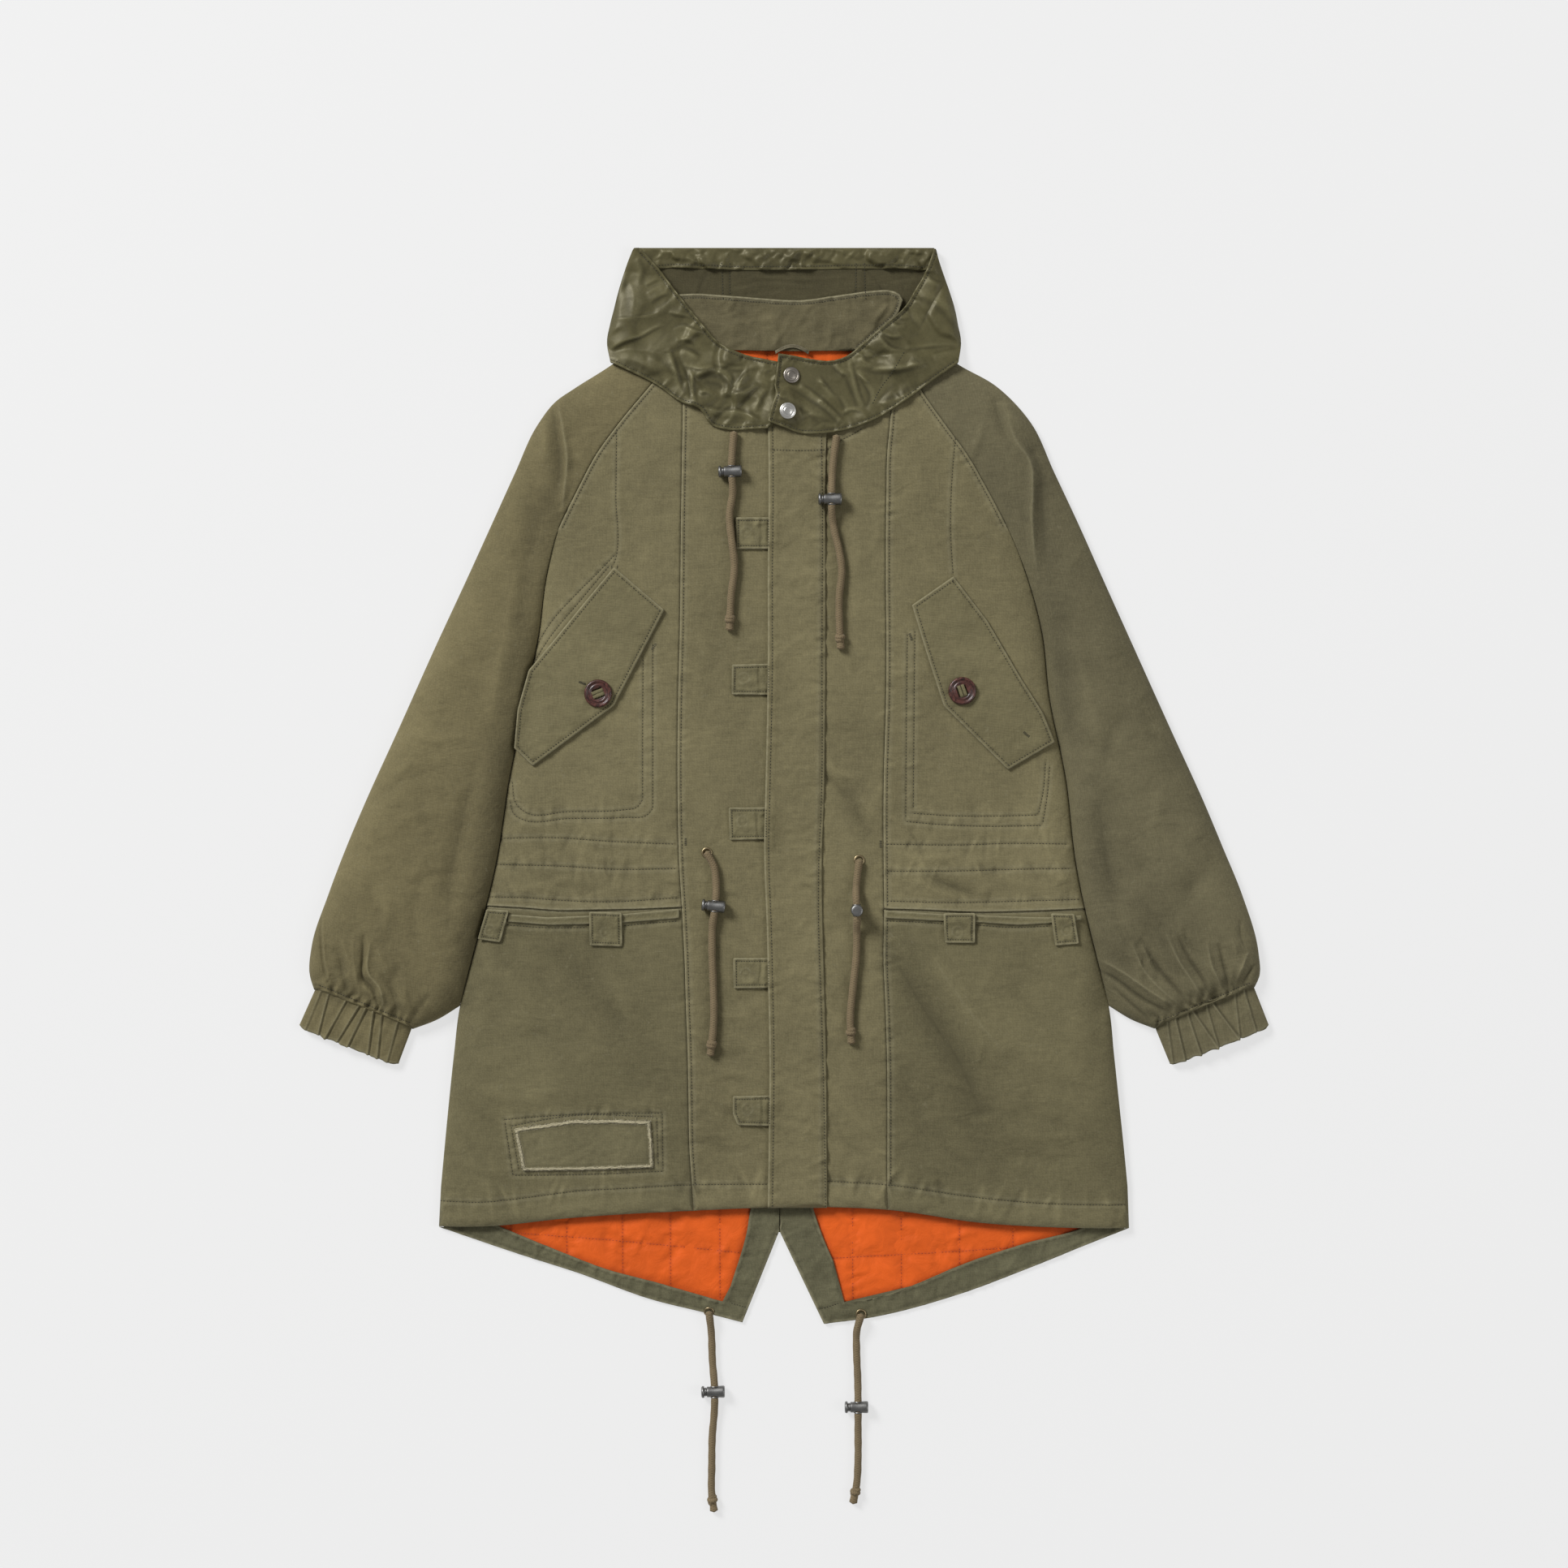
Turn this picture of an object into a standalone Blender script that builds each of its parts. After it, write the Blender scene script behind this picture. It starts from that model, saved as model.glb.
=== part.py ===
"""Fishtail parka laid flat on its back, hood up, seen by someone who stands at its hem.

Frame: metres, +X to the viewer's right, +Y from the tail to the hood, +Z up from
the ground. The origin is under the middle of the garment's own box (cords left out).

The layout drawing that the tables below refer to has u to the right and v from the
hood down to the tail, in drawing units of GRID metres. Heights are in millimetres.
"left" and "right" are the viewer's.

The fronts and sleeves lie as one swelling sheet over the back. cloth_top() is the
height of that sheet: it falls to the ground along the outer folds and into the
crease between sleeve and body. Panels are cut out of the sheet along the seams, and
everything sewn on them is laid on the panels themselves.
"""

import math

import bmesh
import bpy
import numpy as np
from mathutils import Matrix, Vector
from mathutils.bvhtree import BVHTree

for old in list(bpy.data.objects):
    bpy.data.objects.remove(old, do_unlink=True)

# ---------------------------------------------------------------- driving sizes
GRID = 0.00082  # metres for one drawing unit
U0, V0 = 966.05, 968.3  # the origin on the drawing
MM = 0.001

SHELL = 1.6  # twill with its seam turnings
FLAT = 1.6  # the layers that lie on the ground
LINING = 2.6  # quilted lining
FACING = 1.5
HOOD = 1.3  # thin coated cloth
COLLAR = 2.0
CUFF_WALL = 2.2
CUFF_HIGH = 11.5
FLAP = 2.2
PLACKET = 2.2
TAB = 1.6
SEAM = 0.3  # gap between sewn pieces
LAID = 0.35  # gap under a piece that lies on another

EDGE_HIGH = 5.0  # top of the front layer where it folds under
BODY_HIGH = 16.5
NECK_HIGH = 13.5
HEM_HIGH = 12.0
SLEEVE_MORE = 5.0  # a sleeve stands this much higher than the body
FOLD_REACH = 36.0  # an outer fold's rounding, in plan
CREASE_REACH = 27.0
CREASE_DEPTH = 0.86

CORD_D = 6.0
LOCK_R = 5.8
LOCK_LONG = 24.0
BUTTON_R = 14.0
SNAP_R = 8.2
EYELET_R = 5.4

# ------------------------------------------------- sections across the garment
# One row for each height v: the body's left side (raglan seam, then the crease
# against the sleeve, then the free side), the two front seams, and the right side.
SECTION_COLUMNS = ("v", "side_l", "seam_l", "seam_r", "side_r")
SECTIONS = (
    (446, 826.0, 841.0, 1100.0, 1114.0),
    (473, 803.0, 841.0, 1099.5, 1130.0),
    (525, 760.0, 840.8, 1096.0, 1166.0),
    (559, 735.5, 840.2, 1092.8, 1191.0),
    (605, 711.0, 839.5, 1091.8, 1217.5),
    (650, 689.0, 838.8, 1091.2, 1241.0),
    (716, 672.0, 838.2, 1091.2, 1267.5),
    (777, 664.0, 837.5, 1091.7, 1284.0),
    (859, 648.0, 835.4, 1091.4, 1293.5),
    (961, 627.0, 834.6, 1088.5, 1314.0),
    (1063, 611.0, 836.8, 1088.4, 1326.0),
    (1119, 598.0, 840.0, 1089.0, 1337.0),
    (1180, 581.5, 843.2, 1088.2, 1352.0),
    (1240, 566.0, 845.0, 1090.6, 1367.0),
    (1300, 558.5, 847.2, 1092.4, 1373.5),
    (1357, 552.5, 848.2, 1093.0, 1379.5),
    (1414, 547.0, 849.2, 1093.0, 1385.5),
    (1463, 542.5, 852.6, 1093.0, 1390.2),
)
WAIST_ROW = 11  # the casing's lower edge
# The hem of the fronts, a row for each point where it bends
HEM = ((540, 1512), (606, 1511), (692, 1502), (855, 1492), (1019, 1487.5), (1094, 1491), (1209, 1507), (1335, 1513.5), (1392, 1514))

# Sections across each sleeve: its outer fold, paired with the rows above on its
# inner side; the last two rows end on the free underside beside the cuff.
SLEEVE_COLUMNS = ("outer_u", "outer_v")
SLEEVE_L = (
    (770, 436), (754, 448), (707, 478), (684, 494), (661, 524), (634, 582), (605, 646),
    (575, 712), (537, 794), (489, 901), (449, 989), (427, 1041), (403, 1104), (383, 1166),
    (380.6, 1202), (386, 1220),
)
SLEEVE_R = (
    (1165, 437), (1181, 448), (1228, 475), (1251, 496), (1272, 522), (1299, 580), (1329, 644),
    (1362, 718), (1398, 798), (1444, 900), (1485, 990), (1508, 1045), (1532, 1104), (1552, 1176),
    (1553, 1203), (1547, 1217),
)
UNDERSIDE_L = ((538, 1257), (508, 1268.5))
UNDERSIDE_R = ((1395, 1257), (1423, 1268))

# Tail: outer edge with its notch, and the facing's inner edge
TAIL_TIP_L, NOTCH, TAIL_TIP_R = (914.5, 1631), (960.3, 1518.5), (1015.3, 1632.8)
TAIL_L = ((540, 1513), (640, 1547), (709, 1569), (807, 1604), (864, 1618), TAIL_TIP_L)
TAIL_R = (TAIL_TIP_R, (1071, 1625.5), (1180, 1597), (1266, 1565), (1335, 1537), (1392, 1514.5))
FACING_IN_L = ((588, 1500), (615, 1512), (692, 1544), (744, 1564), (807, 1581), (890, 1605), (900, 1586), (920, 1519), (925, 1489), (930, 1472))
FACING_OUT_L = ((548, 1515), (598, 1532), (666, 1555), (722, 1573), (800, 1601), (914, 1629), (926, 1603), (944, 1558), (958.5, 1522), (959.8, 1472))
FACING_IN_R = ((998, 1472), (1002, 1489), (1016.5, 1531), (1027, 1555), (1040.5, 1605.5), (1123, 1586), (1197, 1555), (1266, 1532.5), (1335, 1513.5), (1362, 1500))
FACING_OUT_R = ((960.8, 1472), (962.1, 1522), (981, 1562), (995, 1590), (1015.6, 1630.5), (1118, 1612), (1212, 1583), (1290, 1554), (1348, 1530.5), (1382, 1516))

# Hood, laid open: silhouette by height, then sections from its outer or lower edge
# to the rim of its mouth
HOOD_OUTLINE = ((304, 781, 1153), (320, 774, 1157), (340, 767, 1164), (360, 761, 1171), (380, 756, 1177), (400, 751, 1181), (420, 747.5, 1184.5), (446, 752, 1181))
HOOD_SIDE_L = (
    ((781, 304), (789, 305)), ((774, 320), (800, 319)), ((764, 350), (827, 351)), ((756, 380), (850, 380)),
    ((750, 403), (868, 402)), ((747.5, 425), (886, 422)), ((753, 447), (915, 436)), ((780, 460), (936, 441)),
    ((806, 473), (958, 446)), ((848, 500), (966, 462)), ((862, 508), (966, 482)), ((877, 525), (966, 502)),
    ((897, 530.5), (964, 516)), ((926, 530), (962, 523)),
)
HOOD_SIDE_R = (
    ((1148, 307), (1154.5, 307)), ((1146, 322), (1158, 322)), ((1135, 347), (1167, 349)), ((1114, 379), (1177, 380)),
    ((1097, 394), (1181, 401)), ((1080, 408), (1184, 423)), ((1055, 430), (1180, 448)), ((1039, 441), (1159, 463)),
    ((1020, 445), (1138, 478)), ((1001, 443), (1100, 505)), ((975, 438), (1064, 524)), ((959, 437), (1040, 530)),
    ((955, 469), (1017, 535)), ((954, 484), (985, 535)), ((948, 511), (958, 526)),
)
COLLAR_BAND = (((828, 361), (848, 427)), ((880, 364), (884, 430)), ((930, 366), (932, 431)), ((981, 368), (981, 431.5)), ((1039, 362), (1033, 431)), ((1088, 358), (1066, 426)), ((1114, 369), (1086, 409)))

FLAP_L = (((757, 699), (819, 752)), ((722, 741), (798, 792)), ((687, 784), (778, 831)), ((652, 826), (757, 870)), ((643, 874), (707, 907)), ((635, 922), (657, 944)))
FLAP_R = (((1123.3, 746), (1174.5, 710.5)), ((1136, 788), (1202, 746)), ((1149, 829), (1229, 788)), ((1162.7, 870.5), (1256.5, 834)), ((1202, 909.5), (1282, 876)), ((1241.5, 948.6), (1297, 914.5)))

# Small pieces with four corners: top left, top right, bottom left, bottom right
QUADS = {
    "placket_tab_1": ((906, 638), (951, 638), (906.5, 677), (951, 677)),
    "placket_tab_2": ((902, 819), (951, 818), (901.6, 856), (951, 856.5)),
    "placket_tab_3": ((898, 995), (948, 994.6), (899, 1035), (948, 1034)),
    "placket_tab_4": ((903.5, 1180), (951, 1180), (904, 1217.4), (951, 1217)),
    "placket_tab_5": ((903, 1350), (952, 1349), (906, 1386), (952, 1387)),
    "waist_tab_1": ((600, 1120), (628, 1121.5), (589, 1157), (617, 1161)),
    "waist_tab_2": ((726.5, 1123), (766.6, 1124), (727, 1164.7), (767, 1166)),
    "waist_tab_3": ((1162, 1125), (1201, 1124.5), (1164, 1161.4), (1201, 1161.7)),
    "waist_tab_4": ((1294, 1125), (1323, 1125.5), (1299.5, 1165), (1329, 1162.5)),
    "patch": ((635, 1391), (801, 1381.5), (645, 1442), (804.6, 1438)),
}
WELT_L = (((630, 1125), (630, 1137.5)), ((675, 1126), (677, 1139.5)), ((724, 1125.5), (724, 1138.5)), ((768, 1125), (768, 1136.5)), ((836, 1123), (837, 1131)))
WELT_R = (((1092, 1123.5), (1092, 1131)), ((1160, 1126), (1161, 1134.5)), ((1202, 1127), (1202, 1136)), ((1248, 1127.5), (1255, 1139.5)), ((1290.5, 1126), (1290.5, 1137.5)))

# Largest soft folds: a line on the drawing, its half width there, and its height
FOLD_COLUMNS = ("from_u", "from_v", "to_u", "to_v", "half_width", "height_mm")
FOLDS = (
    (1120, 1196, 1246, 1394, 26, 2.2),
    (560, 820, 600, 980, 24, 1.8),
    (470, 1010, 560, 1140, 26, 2.4),
    (1360, 800, 1345, 980, 24, 1.8),
    (1470, 1030, 1390, 1150, 26, 2.2),
    (700, 1230, 690, 1400, 30, 1.2),
)

# Drawcords: where each leaves the garment, its route, the lock's and knot's places
# along it as shares of the route, and how the lock lies
CORDS = {
    "hood_left": dict(route=((904.5, 534), (902.5, 556), (901.4, 582), (903, 606), (899, 635), (902, 669), (905, 696), (901, 735), (899, 776)), lock=2, stand=0),
    "hood_right": dict(route=((1030.6, 538.5), (1026.5, 569), (1024.5, 616), (1025, 636), (1028, 655), (1034, 680), (1037, 704), (1034, 735), (1034, 765), (1035.7, 799)), lock=2, stand=0),
    "waist_left": dict(route=((871, 1050.5), (880, 1068), (882.5, 1088), (881.4, 1116), (878, 1140), (877.5, 1164), (879, 1214), (879.5, 1260), (875.5, 1299)), lock=3, stand=0),
    "waist_right": dict(route=((1058.5, 1060), (1056, 1080), (1054.5, 1100), (1055.5, 1121), (1055.5, 1145), (1055, 1175), (1051, 1214), (1047.5, 1255), (1049, 1284)), lock=3, stand=1),
    "hem_left": dict(route=((873.5, 1618), (876, 1640), (877.6, 1678), (880.5, 1716), (880, 1740), (877.5, 1770), (876.8, 1810), (876.6, 1840), (879.5, 1863)), lock=3, stand=0),
    "hem_right": dict(route=((1061, 1621), (1056, 1640), (1055.6, 1664), (1057, 1700), (1057.4, 1735), (1057.4, 1765), (1057.4, 1800), (1056, 1828), (1051.5, 1853)), lock=4, stand=0),
}

OLIVE, SLEEVE_OLIVE, HOOD_OLIVE = (0.155, 0.140, 0.078, 1), (0.135, 0.120, 0.062, 1), (0.090, 0.082, 0.036, 1)
COLLAR_OLIVE, ORANGE, CORD_OLIVE = (0.125, 0.115, 0.062, 1), (0.62, 0.125, 0.024, 1), (0.135, 0.108, 0.062, 1)
GUNMETAL, BRASS, STEEL, HORN = (0.10, 0.105, 0.11, 1), (0.33, 0.25, 0.13, 1), (0.55, 0.55, 0.53, 1), (0.10, 0.032, 0.026, 1)


# -------------------------------------------------------------------- the sheet
def rise(q):
    """A quarter ellipse: 0 at the fold, 1 and level from q = 1 on."""
    q = np.clip(q, 0, 1)
    return np.sqrt(1 - (1 - q) ** 2)


def ease(low, high, value):
    t = np.clip((value - low) / (high - low), 0, 1)
    return t * t * (3 - 2 * t)


def away(path, u, v):
    """Distance in millimetres from points to a line through the path's points."""
    u, v = np.asarray(u, float), np.asarray(v, float)
    path = np.asarray(path, float)
    best = np.full(u.shape, 1e9)
    for (au, av), (bu, bv) in zip(path[:-1], path[1:]):
        du, dv = bu - au, bv - av
        t = np.clip(((u - au) * du + (v - av) * dv) / (du * du + dv * dv), 0, 1)
        best = np.minimum(best, np.hypot(u - au - t * du, v - av - t * dv))
    return best * GRID / MM


COL = {name: i for i, name in enumerate(SECTION_COLUMNS)}
ROWS = np.array(SECTIONS, float)
SIDE_L, SIDE_R = ROWS[:, [COL["side_l"], 0]], ROWS[:, [COL["side_r"], 0]]
UNDERARM = 5  # the row where the raglan seam ends and the crease starts
FREE = 13  # the row where the sleeve leaves the body
CREASES = (SIDE_L[UNDERARM : FREE + 1], SIDE_R[UNDERARM : FREE + 1])
OUTER_FOLDS = (
    SLEEVE_L,
    SLEEVE_R,
    [tuple(SIDE_L[FREE]), *UNDERSIDE_L],
    [tuple(SIDE_R[FREE]), *UNDERSIDE_R],
    [*map(tuple, SIDE_L[FREE:]), HEM[0]],
    [*map(tuple, SIDE_R[FREE:]), HEM[-1]],
)


def cloth_top(u, v):
    """Height in millimetres of the upper cloth, anywhere on the fronts and sleeves."""
    u, v = np.asarray(u, float), np.asarray(v, float)
    full = NECK_HIGH + (BODY_HIGH - NECK_HIGH) * ease(446, 560, v)
    full = full - (BODY_HIGH - HEM_HIGH) * ease(1330, 1495, v)
    on_sleeve = (u < np.interp(v, SIDE_L[:, 1], SIDE_L[:, 0])) | (u > np.interp(v, SIDE_R[:, 1], SIDE_R[:, 0]))
    full = full + SLEEVE_MORE * ease(620, 820, v) * on_sleeve
    for from_u, from_v, to_u, to_v, half, height in FOLDS:
        d = away(((from_u, from_v), (to_u, to_v)), u, v) * MM / GRID
        full = full + height * np.exp(-((d / half) ** 2))
    swell = rise(np.min([away(p, u, v) for p in OUTER_FOLDS], axis=0) / FOLD_REACH)
    near = np.min([away(p, u, v) for p in CREASES], axis=0) / CREASE_REACH
    swell = swell * (1 - CREASE_DEPTH * ease(600, 800, v) * (1 - rise(near)))
    return EDGE_HIGH + (full - EDGE_HIGH) * swell


def steepness(u, v):
    """How much longer a vertical cut through the wall is than its thickness."""
    e = 2.0
    gu = (cloth_top(u + e, v) - cloth_top(u - e, v)) / (2 * e * GRID / MM)
    gv = (cloth_top(u, v + e) - cloth_top(u, v - e)) / (2 * e * GRID / MM)
    return np.minimum(np.sqrt(1 + gu**2 + gv**2), 1.9)


# ------------------------------------------------------------- making the solids
empty = bpy.data.objects.new("parka", None)
bpy.context.scene.collection.objects.link(empty)
made = {}


def finish(name, verts, faces, colour, rough, metal=0.0, smooth=True):
    mesh = bpy.data.meshes.new(name)
    mesh.from_pydata([tuple(p) for p in verts], [], [tuple(f) for f in faces])
    bm = bmesh.new()
    bm.from_mesh(mesh)
    bmesh.ops.recalc_face_normals(bm, faces=bm.faces)
    if bm.calc_volume(signed=True) < 0:
        bmesh.ops.reverse_faces(bm, faces=bm.faces)
    bm.to_mesh(mesh)
    bm.free()
    if smooth:
        mesh.shade_smooth()
        mesh.set_sharp_from_angle(angle=math.radians(40))
    return place(name, mesh, colour, rough, metal)


def place(name, mesh, colour, rough, metal=0.0):
    ob = bpy.data.objects.new(name, mesh)
    bpy.context.scene.collection.objects.link(ob)
    ob.parent = empty
    mat = bpy.data.materials.new(name + "_finish")
    mat.use_nodes = True
    shader = mat.node_tree.nodes["Principled BSDF"]
    shader.inputs["Base Color"].default_value = colour
    shader.inputs["Roughness"].default_value = rough
    shader.inputs["Metallic"].default_value = metal
    if mesh is not None and not mesh.materials:
        mesh.materials.append(mat)
    made[name] = ob
    return ob


def xy(u, v):
    return (np.asarray(u, float) - U0) * GRID, (V0 - np.asarray(v, float)) * GRID


def drawn_back(grid, gap):
    """The grid of (u, v) points with each of its four edges drawn in by half a seam."""
    grid = grid.copy()
    step = gap / 2 * MM / GRID
    shift = np.zeros_like(grid)
    for rows, inner in (((0, slice(None)), (1, slice(None))), ((-1, slice(None)), (-2, slice(None))), ((slice(None), 0), (slice(None), 1)), ((slice(None), -1), (slice(None), -2))):
        edge = grid[rows]
        along = np.gradient(edge, axis=0)
        normal = np.stack([-along[:, 1], along[:, 0]], 1)
        normal /= np.linalg.norm(normal, axis=1)[:, None]
        inward = np.sign(np.einsum("ij,ij->i", normal, grid[inner] - edge))
        shift[rows] += normal * inward[:, None] * step
    return grid + shift


def walled(name, grid, top, bottom, *finish_args):
    """A closed wall between two height fields on one grid of (u, v) points."""
    nv, nu = grid.shape[:2]
    x, y = xy(grid[..., 0], grid[..., 1])
    upper = np.stack([x, y, np.asarray(top) * MM], -1).reshape(-1, 3)
    lower = np.stack([x, y, np.asarray(bottom) * MM], -1).reshape(-1, 3)
    n = nu * nv
    at = lambda i, j: i * nu + j
    faces = []
    for i in range(nv - 1):
        for j in range(nu - 1):
            quad = (at(i, j), at(i + 1, j), at(i + 1, j + 1), at(i, j + 1))
            faces += [(quad[0], quad[1], quad[2]), (quad[0], quad[2], quad[3])]
            faces += [(n + quad[2], n + quad[1], n + quad[0]), (n + quad[3], n + quad[2], n + quad[0])]
    rim = [at(0, j) for j in range(nu)] + [at(i, nu - 1) for i in range(1, nv)]
    rim += [at(nv - 1, j) for j in range(nu - 2, -1, -1)] + [at(i, 0) for i in range(nv - 2, 0, -1)]
    for a, b in zip(rim, rim[1:] + rim[:1]):
        faces += [(a, b, n + b), (a, n + b, n + a)]
    return finish(name, np.concatenate([upper, lower]), faces, *finish_args)


def between(left, right, nu):
    """A grid of (u, v) points: one row for each pair of ends, nu cells across."""
    left, right = np.asarray(left, float), np.asarray(right, float)
    s = np.linspace(0, 1, nu + 1)[None, :, None]
    return left[:, None, :] * (1 - s) + right[:, None, :] * s


def to_hem(grid):
    """The last row of a body panel follows the hem, at its own u."""
    hem = np.array(HEM, float)
    last = grid[-1].copy()
    last[:, 1] = np.interp(last[:, 0], hem[:, 0], hem[:, 1])
    return np.concatenate([grid, last[None]])


def panel(name, grid, nu_floor, *finish_args):
    """A panel of the shell, cut from the sheet: its top is cloth_top."""
    grid = drawn_back(grid, SEAM)
    u, v = grid[..., 0], grid[..., 1]
    top = cloth_top(u, v)
    bottom = np.maximum(top - SHELL * steepness(u, v), nu_floor)
    return walled(name, grid, np.maximum(top, bottom + 1.0), bottom, *finish_args)


def plate(name, outline, low, high, *finish_args):
    """A flat layer with the given outline."""
    x, y = xy(*np.array(outline, float).T)
    n = len(x)
    verts = [(a, b, high * MM) for a, b in zip(x, y)] + [(a, b, low * MM) for a, b in zip(x, y)]
    faces = [tuple(range(n)), tuple(range(2 * n - 1, n - 1, -1))]
    faces += [(i, (i + 1) % n, n + (i + 1) % n, n + i) for i in range(n)]
    return finish(name, verts, faces, *finish_args, smooth=False)


def drawn_in(outline, gap):
    """A closed outline drawn in by gap millimetres along its corners' bisectors."""
    p = np.array(outline, float)
    area = np.sum(p[:, 0] * np.roll(p[:, 1], -1) - np.roll(p[:, 0], -1) * p[:, 1])
    before, after = p - np.roll(p, 1, 0), np.roll(p, -1, 0) - p
    n1 = np.stack([-before[:, 1], before[:, 0]], 1) / np.linalg.norm(before, axis=1)[:, None]
    n2 = np.stack([-after[:, 1], after[:, 0]], 1) / np.linalg.norm(after, axis=1)[:, None]
    bis = n1 + n2
    bis /= np.maximum(np.einsum("ij,ij->i", bis, n1), 0.35)[:, None]
    return p + bis * np.sign(area) * gap * MM / GRID


trees = {}


def ground_under(x, y, reach, names):
    """The highest top of the named solids within reach of (x, y), in millimetres."""
    best = 0.0
    for name in names:
        if name not in trees:
            ob = made[name]
            m = ob.matrix_world if ob.type == "MESH" else None
            ob.data.calc_loop_triangles()
            trees[name] = BVHTree.FromPolygons([ob.matrix_basis @ v.co for v in ob.data.vertices], [tuple(t.vertices) for t in ob.data.loop_triangles])
        for du in (-1, -0.5, 0, 0.5, 1):
            for dv in (-1, -0.5, 0, 0.5, 1):
                hit = trees[name].ray_cast(Vector((x + du * reach * MM, y + dv * reach * MM, 1.0)), Vector((0, 0, -1)))
                if hit[0] is not None:
                    best = max(best, hit[0].z / MM)
    return best


def laid(name, grid, thick, on, *finish_args, least=0.0, reach=None, gap=LAID):
    """A piece laid on others: its underside is their tops, moved out by a gap."""
    x, y = xy(grid[..., 0], grid[..., 1])
    if reach is None:
        cell = max(np.abs(np.diff(x, axis=1)).max(), np.abs(np.diff(y, axis=0)).max()) / MM
        reach = min(cell * 0.55, 12.0)
    low = np.array([[ground_under(a, b, reach, on) for a, b in zip(ra, rb)] for ra, rb in zip(x, y)]) + gap
    low = np.maximum(low, least)
    return walled(name, grid, low + thick, low, *finish_args)


def refined(rows, between_rows, nu):
    """Sections read from short tables, with extra straight-line rows between them."""
    left = np.array([r[0] for r in rows], float)
    right = np.array([r[1] for r in rows], float)
    t = np.linspace(0, len(rows) - 1, (len(rows) - 1) * between_rows + 1)
    i = np.arange(len(rows))
    lf = np.stack([np.interp(t, i, left[:, k]) for k in (0, 1)], 1)
    rt = np.stack([np.interp(t, i, right[:, k]) for k in (0, 1)], 1)
    return between(lf, rt, nu)


# ---------------------------------------------------------------- flat layers
def body_outline(top_row):
    left = [tuple(p) for p in SIDE_L[top_row:]]
    right = [tuple(p) for p in SIDE_R[top_row:]]
    return left, right


left_side, right_side = body_outline(0)
back_outline = [*left_side, *TAIL_L, NOTCH, *TAIL_R, *reversed(right_side)]
plate("back", drawn_in(back_outline, SEAM / 2), 0.0, FLAT, OLIVE, 0.9)

INSET = 17
lining_outline = [(u + INSET, v) for u, v in left_side if v > 460][:-1]
lining_outline += [(572, 1463), (583, 1498), *FACING_IN_L[1:]]
lining_outline += [*FACING_IN_R[:-1], (1366, 1498), (1371, 1463)]
lining_outline += [(u - INSET, v) for u, v in reversed(right_side) if v > 460][1:]
lining_outline += [(1096, 440), (1084, 427), (850, 427), (838, 440)]
plate("back_lining", drawn_in(lining_outline, SEAM / 2), FLAT + SEAM, FLAT + SEAM + LINING, ORANGE, 0.75)
LINING_TOP = FLAT + SEAM + LINING

for name, inner, outer in (("tail_facing_left", FACING_IN_L, FACING_OUT_L), ("tail_facing_right", FACING_IN_R, FACING_OUT_R)):
    strip = drawn_in([*inner, *reversed(outer)], SEAM / 2)
    plate(name, strip, FLAT + SEAM, FLAT + SEAM + FACING, OLIVE, 0.9)

outline = [(l, v) for v, l, r in HOOD_OUTLINE[:-1]] + [(750, 432), (769, 434.7), (826, 445.2), (1114, 445.2), (1165, 435.8), (1182.5, 432)]
outline += [(r, v) for v, l, r in reversed(HOOD_OUTLINE[:-1])]
plate("hood_back", drawn_in(outline, SEAM / 2), 0.0, FLAT, HOOD_OLIVE, 0.45)
inside = [(l + 9, v) for v, l, r in HOOD_OUTLINE if 330 < v < 425] + [(762, 425)] + [(1171, 425)] + [(r - 9, v) for v, l, r in reversed(HOOD_OUTLINE) if 330 < v < 425]
inside = [(968, 330), (790, 327), *inside, (1147, 329)]
plate("hood_lining", drawn_in(inside, SEAM / 2), FLAT + SEAM, FLAT + SEAM + 1.4, COLLAR_OLIVE, 0.9)
strip = [(783, 305.5), (779, 316), (790, 327), (968, 330), (1147, 329), (1153.5, 316), (1151, 305.5)]
plate("hood_facing", drawn_in(strip, SEAM / 2), FLAT + SEAM, FLAT + SEAM + FACING, HOOD_OLIVE, 0.4)

for side, rows, outer, under in (("left", SIDE_L, SLEEVE_L, UNDERSIDE_L), ("right", SIDE_R, SLEEVE_R, UNDERSIDE_R)):
    loop = [*map(tuple, rows[: FREE + 1]), *under, *reversed(outer)]
    plate(f"sleeve_under_{side}", drawn_in(loop, SEAM / 2), 0.0, FLAT, SLEEVE_OLIVE, 0.9)

# ------------------------------------------------------------------ the fronts
def column(name):
    return np.stack([ROWS[:, COL[name]], ROWS[:, 0]], 1)


CENTRE_L, CENTRE_R = 981.0, 985.0
ABOVE_LINING = LINING_TOP + LAID
seam_l, seam_r = column("seam_l"), column("seam_r")
centre_l, centre_r = seam_l.copy(), seam_r.copy()
centre_l[:, 0], centre_r[:, 0] = CENTRE_L, CENTRE_R
panel("front_centre_left", to_hem(between(seam_l, centre_l, 4)), ABOVE_LINING, OLIVE, 0.9)
panel("front_centre_right", to_hem(between(centre_r, seam_r, 3)), ABOVE_LINING, OLIVE, 0.9)
top, low = slice(0, WAIST_ROW + 1), slice(WAIST_ROW, None)
panel("front_side_left", between(SIDE_L[top], seam_l[top], 6), FLAT + LAID, OLIVE, 0.9)
panel("front_side_right", between(seam_r[top], SIDE_R[top], 6), FLAT + LAID, OLIVE, 0.9)
panel("front_skirt_left", to_hem(between(SIDE_L[low], seam_l[low], 8)), FLAT + LAID, OLIVE, 0.9)
panel("front_skirt_right", to_hem(between(seam_r[low], SIDE_R[low], 8)), FLAT + LAID, OLIVE, 0.9)

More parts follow.
